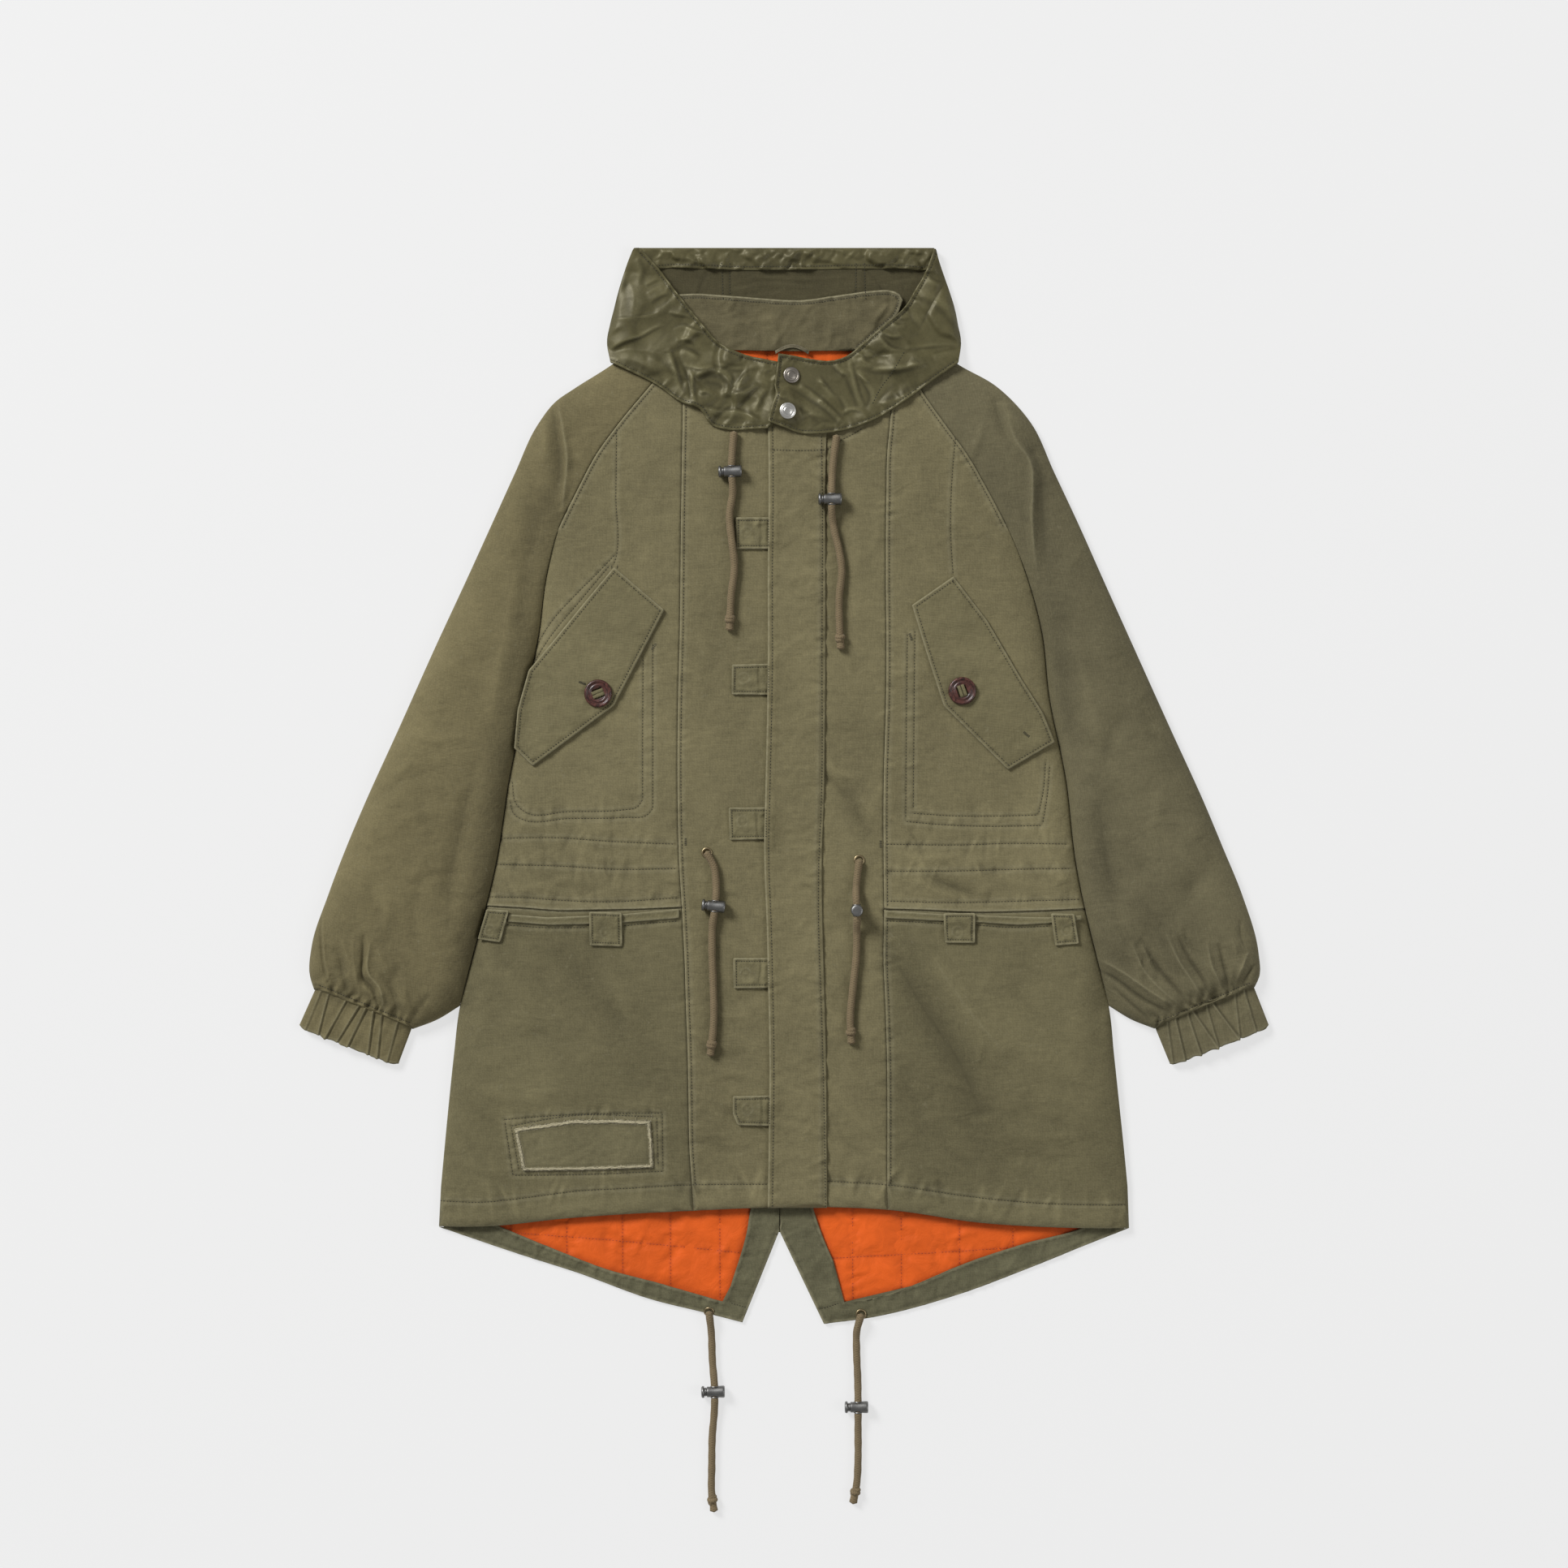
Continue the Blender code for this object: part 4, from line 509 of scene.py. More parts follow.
def add_puckers(z, u, v, lines):
    """Small uneven gathers across each stitched line, and the line's own shallow groove."""
    for k, (where, path, high, reach, pitch, stitched) in enumerate(lines):
        idx, d, s = near(path, u, v, reach * 2.2, signed=True)
        if not len(idx):
            continue
        rng = np.random.RandomState(100 + int(path[0][0] * 7 + path[0][1] * 13 + path[-1][1] * 5) % 9000)
        total = np.sum(np.linalg.norm(np.diff(path, axis=0), axis=1))
        add = np.zeros(len(idx))
        place = rng.uniform(0, pitch)
        while place < total:
            amount = 2.3 * high * rng.uniform(0.15, 1.25) * (1 if rng.rand() < 0.62 else -1)
            wide = pitch * rng.uniform(0.2, 0.42)
            far = reach * rng.uniform(0.45, 1.35)
            slant = rng.uniform(-0.55, 0.55)
            bias = rng.uniform(-0.35, 0.35) * far
            hit = np.abs(s - place) < 3 * wide + far * 0.6
            dd = d[hit]
            add[hit] += amount * np.exp(-(((s[hit] - place - slant * dd) / wide) ** 2)) * np.exp(-(np.abs(dd - bias) / far) ** 1.7)
            place += pitch * rng.uniform(0.55, 1.6)
        if stitched:
            add -= 0.55 * np.exp(-((d / 1.3) ** 2))
        z[idx] += add
    return z


def seam_ridge(z, u, v, path, side, wide=5.0, high=0.5):
    """A felled seam: a flat ridge on one side of the seam line, rolled at the line itself."""
    idx, d, s = near(path, u, v, wide * 3, signed=True)
    d = d * side
    z[idx] += high * ease(-0.4, 0.9, d) * (1 - ease(wide - 1.2, wide + 1.6, d))
    z[idx] -= 0.75 * np.exp(-((d / 0.9) ** 2))
    z[idx] -= 0.22 * np.exp(-(((d + 2.2) / 2.4) ** 2))
    return z


SHELL_LINES = [l for l in LINES if l[0] == "shell"]
ARM_LINES = [l for l in LINES if l[0] == "arms"]


def skin(u, v, zone="shell"):
    """The upper cloth with its creases, gathers and seams, in millimetres."""
    u, v = np.asarray(u, float).ravel(), np.asarray(v, float).ravel()
    z = cloth_top(u, v)
    rim = np.min([near(p, u, v)[1] for p in OUTER], axis=0)
    rim = np.minimum(rim, np.min([near(p, u, v)[1] for p in CREASES], axis=0) * 1.4)
    calm = ease(0, 16, rim)
    add = np.zeros_like(z)
    add = add_creases(add, u, v, zone)
    add += 0.34 * grain(u / 62, v / 74, 1) + 0.15 * grain(u / 24, v / 30, 2) + 0.05 * grain(u / 9, v / 9, 5)
    add = add * (0.25 + 0.75 * calm)
    if zone == "shell":
        add = add_puckers(add, u, v, SHELL_LINES)
        add = seam_ridge(add, u, v, RAGLAN_L, -1)
        add = seam_ridge(add, u, v, RAGLAN_R, 1)
        add = seam_ridge(add, u, v, SEAM_L, -1)
        add = seam_ridge(add, u, v, SEAM_R, -1)
    else:
        add = add_puckers(add, u, v, ARM_LINES)
        add += 0.28 * fans(u, v, 70, 2, 20, 1.6, 30) * calm
        for path in (RAGLAN_L, RAGLAN_R):
            idx, d, s = near(path, u, v, 8)
            add[idx] -= 0.8 * np.exp(-((d / 1.1) ** 2))
    return z + add


# ----------------------------------------------------- a chart of what lies highest
CELL, CU, CV = 2.0, 330.0, 284.0
CHART = np.zeros((820, 640))


def chart_add(u, v, z, tris):
    """Notes the height of a piece's points, edges and faces on the chart."""
    for pts in ((u, v, z), *((u[t].mean(1), v[t].mean(1), z[t].max(1)) for t in (tris, tris[:, [0, 1]], tris[:, [1, 2]], tris[:, [2, 0]]))):
        i = np.clip(((pts[1] - CV) / CELL).astype(int), 0, CHART.shape[0] - 1)
        j = np.clip(((pts[0] - CU) / CELL).astype(int), 0, CHART.shape[1] - 1)
        np.maximum.at(CHART, (i, j), pts[2])


def chart_read(u, v, reach=2, soft=2, chart=None):
    """The chart's height under points, as the highest within reach cells, softened."""
    chart = CHART if chart is None else chart
    u, v = np.asarray(u, float).ravel(), np.asarray(v, float).ravel()
    pad = reach + 3 * soft + 3
    i0, i1 = max(0, int((v.min() - CV) / CELL) - pad), min(chart.shape[0], int((v.max() - CV) / CELL) + pad + 2)
    j0, j1 = max(0, int((u.min() - CU) / CELL) - pad), min(chart.shape[1], int((u.max() - CU) / CELL) + pad + 2)
    w = chart[i0:i1, j0:j1].copy()
    big = w.copy()
    for di in range(-reach, reach + 1):
        for dj in range(-reach, reach + 1):
            if di * di + dj * dj <= reach * reach + 1:
                big = np.maximum(big, np.roll(np.roll(w, di, 0), dj, 1))
    w = big
    if soft:
        k = np.exp(-0.5 * (np.arange(-2 * soft, 2 * soft + 1) / soft) ** 2)
        k /= k.sum()
        for axis in (0, 1):
            w = sum(kk * np.roll(w, s, axis) for s, kk in zip(range(-2 * soft, 2 * soft + 1), k))
        w = np.maximum(w, 0)
    x, y = (u - CU) / CELL - 0.5 - j0, (v - CV) / CELL - 0.5 - i0
    xi, yi = np.clip(np.floor(x).astype(int), 0, w.shape[1] - 2), np.clip(np.floor(y).astype(int), 0, w.shape[0] - 2)
    fx, fy = np.clip(x - xi, 0, 1), np.clip(y - yi, 0, 1)
    return (w[yi, xi] * (1 - fx) + w[yi, xi + 1] * fx) * (1 - fy) + (w[yi + 1, xi] * (1 - fx) + w[yi + 1, xi + 1] * fx) * fy


# -------------------------------------------------------------------- mesh making
scene = bpy.context.scene
SOFT_TREES = []


def inside(loop, u, v):
    """Which points lie inside a closed loop."""
    hit = np.zeros(len(u), bool)
    a = loop
    b = np.roll(loop, -1, 0)
    for (au, av), (bu, bv) in zip(a, b):
        if av == bv:
            continue
        cross = ((av > v) != (bv > v)) & (u < (bu - au) * (v - av) / (bv - av) + au)
        hit ^= cross
    return hit


def triangles(loop, points):
    """Triangles over a closed loop with points inside it: (u, v) rows and index rows."""
    n = len(loop)
    x = np.concatenate([loop, points]) if len(points) else loop
    verts = [Vector((float(a), float(-b))) for a, b in x]
    got = delaunay_2d_cdt(verts, [(i, (i + 1) % n) for i in range(n)], [], 1, 1e-7)
    out = np.array([(p[0], -p[1]) for p in got[0]], float)
    tris = np.array([f for f in got[2] if len(f) == 3], int)
    where = {}
    for k, origins in enumerate(got[3]):
        for o in origins:
            where[o] = k
    rim = np.array([where[i] for i in range(n)])
    return out, tris, rim


def lattice(loop, step, margin):
    lo, hi = loop.min(0), loop.max(0)
    us = np.arange(lo[0], hi[0] + step, step)
    vs = np.arange(lo[1], hi[1] + step, step * 0.866)
    gu, gv = np.meshgrid(us, vs)
    gu = gu + (np.arange(len(vs)) % 2)[:, None] * step / 2
    gu, gv = gu.ravel(), gv.ravel()
    keep = inside(loop, gu, gv)
    gu, gv = gu[keep], gv[keep]
    closed = np.concatenate([loop, loop[:1]])
    d = near(closed[:: max(1, int(len(closed) / 500))], gu, gv)[1] if len(closed) > 900 else near(closed, gu, gv)[1]
    keep = d > margin
    return np.stack([gu[keep], gv[keep]], 1)


def ccw(loop):
    """The loop in the order that is anticlockwise seen from above."""
    x, y = loop[:, 0], -loop[:, 1]
    area = np.sum(x * np.roll(y, -1) - np.roll(x, -1) * y)
    return loop if area > 0 else loop[::-1].copy()


def inward(loop, by):
    """The loop moved inwards by a distance for each point."""
    back, forth = loop - np.roll(loop, 1, 0), np.roll(loop, -1, 0) - loop
    n1 = np.stack([back[:, 1], -back[:, 0]], 1)
    n2 = np.stack([forth[:, 1], -forth[:, 0]], 1)
    n1 /= np.maximum(np.linalg.norm(n1, axis=1), 1e-9)[:, None]
    n2 /= np.maximum(np.linalg.norm(n2, axis=1), 1e-9)[:, None]
    bis = n1 + n2
    bis /= np.maximum(np.linalg.norm(bis, axis=1), 0.5)[:, None]
    return loop + bis * np.asarray(by).reshape(-1, 1) if np.ndim(by) else loop + bis * by


def loop_area(loop):
    x, y = loop[:, 0] * GRID, loop[:, 1] * GRID
    return abs(np.sum(x * np.roll(y, -1) - np.roll(x, -1) * y)) / 2


def build(name, verts, faces, material, attrs=None, smooth_faces=True):
    """A mesh object from points in metres and triangles or quads."""
    mesh = bpy.data.meshes.new(name)
    faces = [np.asarray(f, int) for f in (faces if isinstance(faces, list) else [faces]) if len(f)]
    mesh.vertices.add(len(verts))
    mesh.vertices.foreach_set("co", np.asarray(verts, np.float32).ravel())
    loops = np.concatenate([f.ravel() for f in faces])
    sizes = np.concatenate([np.full(len(f), f.shape[1]) for f in faces])
    mesh.loops.add(len(loops))
    mesh.loops.foreach_set("vertex_index", loops.astype(np.int32))
    mesh.polygons.add(len(sizes))
    mesh.polygons.foreach_set("loop_start", np.concatenate([[0], np.cumsum(sizes)[:-1]]).astype(np.int32))
    mesh.polygons.foreach_set("loop_total", sizes.astype(np.int32))
    for key, values in (attrs or {}).items():
        layer = mesh.attributes.new(key, "FLOAT", "POINT")
        layer.data.foreach_set("value", np.asarray(values, np.float32))
    mesh.update(calc_edges=True)
    mesh.validate()
    if smooth_faces:
        mesh.shade_smooth()
    ob = bpy.data.objects.new(name, mesh)
    scene.collection.objects.link(ob)
    if material is not None:
        mesh.materials.append(material)
    return ob


def metres(u, v, z):
    return np.stack([(u - U0) * GRID, (V0 - v) * GRID, z * MM], -1)


PIECES = {}


def cloth(name, loop, top, thick, material, step=3.0, low_step=16.0, bands=(0.7, 1.7, 3.2), folds=(), fold_reach=1.6,
          marks=None, ground=0.15, rim_thick=None, under=None, node=None, rests=(), chart=True, flat=None, tree=True, rows=(), dense=None):
    """A closed thin shell over a loop. top(u, v) is its upper side; along folds it turns
    round and down to the ground, elsewhere its edge is as thick as the cloth."""
    loop = ccw(np.asarray(loop, float))
    n = len(loop)
    inner = []
    closed = np.concatenate([loop, loop[:1]])
    for b in bands:
        p = inward(loop, b)
        ok = inside(loop, p[:, 0], p[:, 1])
        p = p[ok]
        d = near(closed, p[:, 0], p[:, 1])[1]
        p = p[d > b * 0.8]
        # thin out points that crowd together
        if len(p):
            step_here = np.linalg.norm(np.diff(p, axis=0, append=p[:1]), axis=1)
            p = p[step_here > 0.3]
            inner.append(p)
    mid = lattice(loop, step, (bands[-1] if bands else 0) + step * 0.55)
    if dense is not None:
        few = lattice(loop, step * 4, step * 2.5)
        mid = np.concatenate([mid[dense(mid[:, 0], mid[:, 1])], few[~dense(few[:, 0], few[:, 1])]])
    # points along stitched lines and firm creases, so that they come out crisp
    extra = []
    for path, gaps, spacing in rows:
        path = np.asarray(path, float)
        if not (path[:, 0].max() > loop[:, 0].min() and path[:, 0].min() < loop[:, 0].max() and path[:, 1].max() > loop[:, 1].min() and path[:, 1].min() < loop[:, 1].max()):
            continue
        run = np.concatenate([[0], np.cumsum(np.linalg.norm(np.diff(path, axis=0), axis=1))])
        s = np.arange(0, run[-1], spacing)
        line = np.stack([np.interp(s, run, path[:, 0]), np.interp(s, run, path[:, 1])], 1)
        for gap in gaps:
            extra.append(offset(line, gap) if gap else line)
        idx, d, s = near(path, mid[:, 0], mid[:, 1], max(abs(g) for g in gaps) + step * 0.5)
        gone = np.zeros(len(mid), bool)
        gone[idx[d < max(abs(g) for g in gaps) + step * 0.42]] = True
        mid = mid[~gone]
    if extra:
        extra = np.concatenate(extra)
        extra = extra[inside(loop, extra[:, 0], extra[:, 1])]
        d = near(closed, extra[:, 0], extra[:, 1])[1]
        extra = extra[d > (bands[-1] if bands else 0) + 0.7]
        key = np.floor(extra / 1.15).astype(int)
        first = np.unique(key[:, 0] * 100003 + key[:, 1], return_index=True)[1]
        mid = np.concatenate([mid, extra[np.sort(first)]])
    pts = np.concatenate([*inner, mid]) if inner else mid
    xy, tris, rim = triangles(loop, pts)
    u, v = xy[:, 0], xy[:, 1]
    z = np.asarray(top(u, v), float)
    zr = z[rim]
    # which rim points fold under
    fold = np.zeros(n)
    for path in folds:
        d = near(path, loop[:, 0], loop[:, 1])[1]
        fold = np.maximum(fold, 1 - ease(fold_reach * 0.6, fold_reach * 1.4, d))
    t = np.full(n, thick if rim_thick is None else rim_thick, float)
    r1, r2, r3 = inward(loop, 0.0), inward(loop, 0.25 * (1 - fold) + 1.3 * fold), inward(loop, 0.7 * (1 - fold) + 5.5 * fold)
    z1 = (zr - t * 0.45) * (1 - fold) + (0.55 * zr) * fold
    z2 = (zr - t * 0.85) * (1 - fold) + (0.22 * zr + 0.1) * fold
    z3 = (zr - t) * (1 - fold) + ground * fold
    low_loop = inward(loop, 1.0 * (1 - fold) + 3.0 * fold)
    # the underside, with fewer points
    low_pts = lattice(loop, low_step, low_step * 0.6 + 3.0)
    lxy, ltris, lrim = triangles(loop, low_pts)
    lz = np.asarray((under or (lambda a, b: np.asarray(top(a, b)) - thick * 1.25))(lxy[:, 0], lxy[:, 1]), float)
    if under is None:
        lz[lrim] = (zr - t) * (1 - fold) + np.minimum(zr * 0.75, zr - thick) * fold
    lxy = lxy.copy()
    lxy[lrim] = low_loop
    top_p = metres(u, v, z)
    rings = [metres(r[:, 0], r[:, 1], zz) for r, zz in ((r1, z1), (r2, z2), (r3, z3))]
    low_p = metres(lxy[:, 0], lxy[:, 1], lz)
    nt = len(top_p)
    verts = np.concatenate([top_p, *rings, low_p])
    base = nt + 3 * n
    chains = [rim, nt + np.arange(n), nt + n + np.arange(n), nt + 2 * n + np.arange(n), base + lrim]
    quads = []
    for a, b in zip(chains[:-1], chains[1:]):
        quads.append(np.stack([b, np.roll(b, -1), np.roll(a, -1), a], 1))
    faces = [tris, base + ltris[:, ::-1], np.concatenate(quads)]
    attrs = {}
    got = marks(u, v) if marks else {}
    for key in ("wear", "dark", "tone"):
        value = np.zeros(len(verts))
        if key in got:
            value[:nt] = got[key]
            for k in range(3):
                value[nt + k * n : nt + (k + 1) * n] = got[key][rim]
        attrs[key] = value
    ob = build(name, verts, faces, material, attrs)
    if chart:
        chart_add(u, v, z, tris)
    if tree:
        SOFT_TREES.append((name, top_p, tris))
    PIECES[name] = dict(ob=ob, area=loop_area(loop), loop=loop, rests=list(rests))
    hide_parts(*([node] if isinstance(node, str) else node or [name.replace("cloth_", "")]))
    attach(ob, "root")
    size = (loop.max(0) - loop.min(0)) * GRID
    area = loop_area(loop)
    if flat is None:
        flat = (float(size[0]), float(size[1]))
        if area < 0.32 * flat[0] * flat[1]:
            around = np.sum(np.linalg.norm(np.diff(loop, axis=0, append=loop[:1]), axis=1)) * GRID / 2
            flat = (float(area / (around - area / around)), float(around - area / around))
    PIECES[name]["flat"] = flat
    return ob



# ---------------------------------------------------------------------- materials
class Graph:
    """A small helper round one material's node tree."""

    def __init__(self, name):
        self.mat = bpy.data.materials.new(name)
        self.mat.use_nodes = True
        self.tree = self.mat.node_tree
        self.tree.nodes.clear()
        self.out = self.new("ShaderNodeOutputMaterial")
        self.shader = self.new("ShaderNodeBsdfPrincipled")
        self.link(self.shader.outputs[0], self.out.inputs[0])
        self.coords = self.new("ShaderNodeTexCoord").outputs["Object"]

    def new(self, kind, **settings):
        node = self.tree.nodes.new(kind)
        for key, value in settings.items():
            setattr(node, key, value)
        return node

    def link(self, a, b):
        self.tree.links.new(a, b)

    def feed(self, socket, value):
        if isinstance(value, (int, float)):
            socket.default_value = value
        elif isinstance(value, (tuple, list)):
            socket.default_value = (*value, 1.0) if len(value) == 3 and socket.type == "RGBA" else value
        else:
            self.link(value, socket)

    def math(self, kind, a, b=0.0, clamp=False):
        node = self.new("ShaderNodeMath", operation=kind, use_clamp=clamp)
        self.feed(node.inputs[0], a)
        self.feed(node.inputs[1], b)
        return node.outputs[0]

    def place(self, scale=(1, 1, 1), turn=0.0, source=None):
        node = self.new("ShaderNodeMapping")
        self.link(source or self.coords, node.inputs[0])
        node.inputs["Rotation"].default_value = (0, 0, math.radians(turn))
        node.inputs["Scale"].default_value = scale
        return node.outputs[0]

    def noise(self, scale, detail=3.0, rough=0.55, warp=0.0, source=None):
        node = self.new("ShaderNodeTexNoise")
        self.link(source or self.coords, node.inputs["Vector"])
        node.inputs["Scale"].default_value = scale
        node.inputs["Detail"].default_value = detail
        node.inputs["Roughness"].default_value = rough
        node.inputs["Distortion"].default_value = warp
        return node.outputs[0]

    def wave(self, scale, direction="X", warp=0.0, source=None):
        node = self.new("ShaderNodeTexWave", bands_direction=direction)
        self.link(source or self.coords, node.inputs["Vector"])
        node.inputs["Scale"].default_value = scale
        node.inputs["Distortion"].default_value = warp
        node.inputs["Detail"].default_value = 1.0
        return node.outputs["Fac"]

    def value(self, name):
        node = self.new("ShaderNodeAttribute", attribute_name=name)
        return node.outputs["Fac"]

    def mix(self, factor, a, b):
        node = self.new("ShaderNodeMix", data_type="RGBA")
        self.feed(node.inputs[0], factor)
        self.feed(node.inputs[6], a)
        self.feed(node.inputs[7], b)
        return node.outputs[2]

    def bump(self, height, distance, strength, under=None):
        node = self.new("ShaderNodeBump")
        self.link(height, node.inputs["Height"])
        node.inputs["Distance"].default_value = distance
        node.inputs["Strength"].default_value = strength
        if under is not None:
            self.link(under, node.inputs["Normal"])
        return node.outputs[0]


def times(colour, k):
    return tuple(min(1.0, c * k) for c in colour)


def woven(name, base, turn=0.0, rough=0.86, sheen=0.10, mottle=1.0, worn=(0.30, 0.275, 0.175), wear_gain=1.0,
          dark_gain=0.75, weave=1.0, pitch=0.0009, specks=0.5, specular=0.22):
    """Washed cotton twill: fine diagonal ribs, slubs, uneven dye, pale worn edges, and painted light and shade from its
    tone, dark and wear attributes.
    """
    g = Graph(name)
    local = g.place(turn=turn)
    big = g.noise(5.5, 3.0, 0.6, 0.4)
    mid = g.noise(34, 4.0, 0.62, 0.8)
    warp = g.noise(1250, 2.0, 0.6, 0.0, g.place((1, 0.10, 1), turn))
    weft = g.noise(1250, 2.0, 0.6, 0.0, g.place((0.10, 1, 1), turn))
    streak = g.noise(160, 3.0, 0.6, 0.5, g.place((0.22, 1, 1), turn + 8))
    fine = g.noise(240, 3.0, 0.7)
    rib = g.wave(0.31416 / pitch * 0.5, "DIAGONAL", 0.6, local)
    shade = g.math("MULTIPLY", g.math("SUBTRACT", big, 0.5), 0.85 * mottle)
    shade = g.math("ADD", shade, g.math("MULTIPLY", g.math("SUBTRACT", mid, 0.5), 0.50 * mottle))
    shade = g.math("ADD", shade, g.math("MULTIPLY", g.math("SUBTRACT", streak, 0.5), 0.34 * mottle))
    shade = g.math("ADD", shade, g.math("MULTIPLY", g.math("SUBTRACT", warp, 0.5), 0.78))
    shade = g.math("ADD", shade, g.math("MULTIPLY", g.math("SUBTRACT", weft, 0.5), 0.78))
    shade = g.math("ADD", shade, g.math("MULTIPLY", g.math("SUBTRACT", rib, 0.5), 0.07 * weave))
    # the tone attribute: painted light and shade on folds, creases and gathers, with uneven tone
    shade = g.math("ADD", shade, g.math("MULTIPLY", g.value("tone"), 0.62))
    shade = g.math("ADD", shade, 0.5, clamp=True)
    colour = g.mix(shade, times(base, 0.66), times(base, 1.34))
    # faint pale flecks
    fleck = g.math("MULTIPLY", g.math("SUBTRACT", g.noise(150, 2.0, 0.8, 0.3), 0.64, clamp=True), 4.2 * specks, clamp=True)
    colour = g.mix(fleck, colour, times(worn, 0.8))
    # the dark attribute: painted shade in troughs and under overlapping edges, with dark stitch lines
    dark = g.math("MULTIPLY", g.value("dark"), g.math("ADD", fine, 0.35), clamp=True)
    colour = g.mix(g.math("MULTIPLY", dark, dark_gain, clamp=True), colour, times(base, 0.36))
    # the wear attribute: pale worn edges, and painted highlights on crests, in the pale worn colour
    wear_and_highlight_here = g.math("MULTIPLY", g.value("wear"), g.math("ADD", g.math("MULTIPLY", fine, 1.7), -0.15), clamp=True)
    colour = g.mix(g.math("MULTIPLY", wear_and_highlight_here, wear_gain, clamp=True), colour, worn)
    g.feed(g.shader.inputs["Base Color"], colour)
    g.shader.inputs["Sheen Weight"].default_value = sheen
    g.shader.inputs["Sheen Roughness"].default_value = 0.5
    g.shader.inputs["Sheen Tint"].default_value = (0.75, 0.72, 0.55, 1)
    g.shader.inputs["Specular IOR Level"].default_value = specular
    g.feed(g.shader.inputs["Roughness"], g.math("ADD", g.math("MULTIPLY", fine, 0.12), rough - 0.06))
    n = g.bump(rib, 0.00010, 0.22 * weave)
    n = g.bump(g.math("ADD", warp, weft), 0.00022, 0.55 * weave, n)
    n = g.bump(g.noise(95, 4.0, 0.6, 0.9), 0.0012, 0.42, n)
    n = g.bump(g.noise(30, 3.0, 0.5, 1.6, g.place((0.7, 1.2, 1), 25)), 0.0035, 0.34, n)
    g.feed(g.shader.inputs["Normal"], n)
    return g.mat


def coated(name, base):
    """Waxed hood cloth: thin, crinkled, with soft gloss on its crests."""
    g = Graph(name)
    big = g.noise(11, 4.0, 0.6, 0.7)
    mid = g.noise(52, 5.0, 0.65, 1.2)
    fine = g.noise(420, 2.0, 0.7)
    shade = g.math("MULTIPLY", g.math("SUBTRACT", big, 0.5), 1.0)
    shade = g.math("ADD", shade, g.math("MULTIPLY", g.math("SUBTRACT", mid, 0.5), 0.8))
    shade = g.math("ADD", shade, g.math("MULTIPLY", g.math("SUBTRACT", fine, 0.5), 0.5))
    # the tone attribute: painted light on the folds' easy flanks, painted shade in their steep flanks
    shade = g.math("ADD", shade, g.math("MULTIPLY", g.value("tone"), 0.6))
    shade = g.math("ADD", shade, 0.5, clamp=True)
    colour = g.mix(shade, times(base, 0.60), times(base, 1.35))
    # the dark attribute: painted shade in the folds' steep flanks and troughs, and the dark stitch rows
    dark = g.math("MULTIPLY", g.value("dark"), 0.7, clamp=True)
    colour = g.mix(dark, colour, times(base, 0.3))
    # the wear attribute: painted highlights on the folds' crests and easy flanks, with slight wear at the rims
    wear_and_highlight_here = g.math("MULTIPLY", g.value("wear"), g.math("ADD", g.math("MULTIPLY", fine, 1.6), -0.1), clamp=True)
    colour = g.mix(g.math("MULTIPLY", wear_and_highlight_here, 0.7), colour, (0.20, 0.185, 0.105))
    g.feed(g.shader.inputs["Base Color"], colour)
    g.feed(g.shader.inputs["Roughness"], g.math("ADD", g.math("MULTIPLY", mid, 0.22), 0.37))
    g.shader.inputs["Specular IOR Level"].default_value = 0.44
    g.shader.inputs["Specular Tint"].default_value = (1.0, 0.93, 0.68, 1)
    n = g.bump(g.wave(220, "DIAGONAL", 0.5), 0.00006, 0.10)
    n = g.bump(fine, 0.00016, 0.3, n)
    n = g.bump(g.noise(64, 3.0, 0.5, 1.0), 0.0008, 0.30, n)
    g.feed(g.shader.inputs["Normal"], n)
    return g.mat


def nylon(name, base):
    """Quilted lining: thin, slightly shiny plain weave, wrinkled along its stitching."""
    g = Graph(name)
    big, mid = g.noise(9, 3.0, 0.6, 0.5), g.noise(60, 4.0, 0.6, 1.0)
    shade = g.math("ADD", g.math("MULTIPLY", g.math("SUBTRACT", big, 0.5), 0.8), g.math("MULTIPLY", g.math("SUBTRACT", mid, 0.5), 0.7))
    shade = g.math("ADD", shade, g.math("MULTIPLY", g.value("tone"), 0.6))
    shade = g.math("ADD", shade, 0.5, clamp=True)
    colour = g.mix(shade, times(base, 0.74), times(base, 1.2))
    # the dark attribute: darker quilting lines, and painted shade along the hem and where the lining runs under the
    # pieces above it
    dark = g.math("MULTIPLY", g.value("dark"), 0.75, clamp=True)
    colour = g.mix(dark, colour, (0.33, 0.045, 0.010))
    g.feed(g.shader.inputs["Base Color"], colour)
    g.feed(g.shader.inputs["Roughness"], g.math("ADD", g.math("MULTIPLY", mid, 0.15), 0.52))
    g.shader.inputs["Specular IOR Level"].default_value = 0.18
    g.shader.inputs["Sheen Weight"].default_value = 0.02
    n = g.bump(g.math("ADD", g.wave(330, "X"), g.wave(330, "Y")), 0.00006, 0.3)
    n = g.bump(g.noise(60, 5.0, 0.6, 1.6), 0.0018, 0.5, n)
    g.feed(g.shader.inputs["Normal"], n)
    return g.mat


def thread(name, base, rough=0.75):
    g = Graph(name)
    twist = g.noise(900, 2.0, 0.6)
    tint = g.noise(60, 2.0, 0.5)
    f = g.math("ADD", g.math("MULTIPLY", twist, 0.6), g.math("MULTIPLY", tint, 0.5), clamp=True)
    g.feed(g.shader.inputs["Base Color"], g.mix(f, times(base, 0.6), times(base, 1.45)))
    g.shader.inputs["Roughness"].default_value = rough
    g.shader.inputs["Sheen Weight"].default_value = 0.15
    g.feed(g.shader.inputs["Normal"], g.bump(twist, 0.0001, 0.5))
    return g.mat


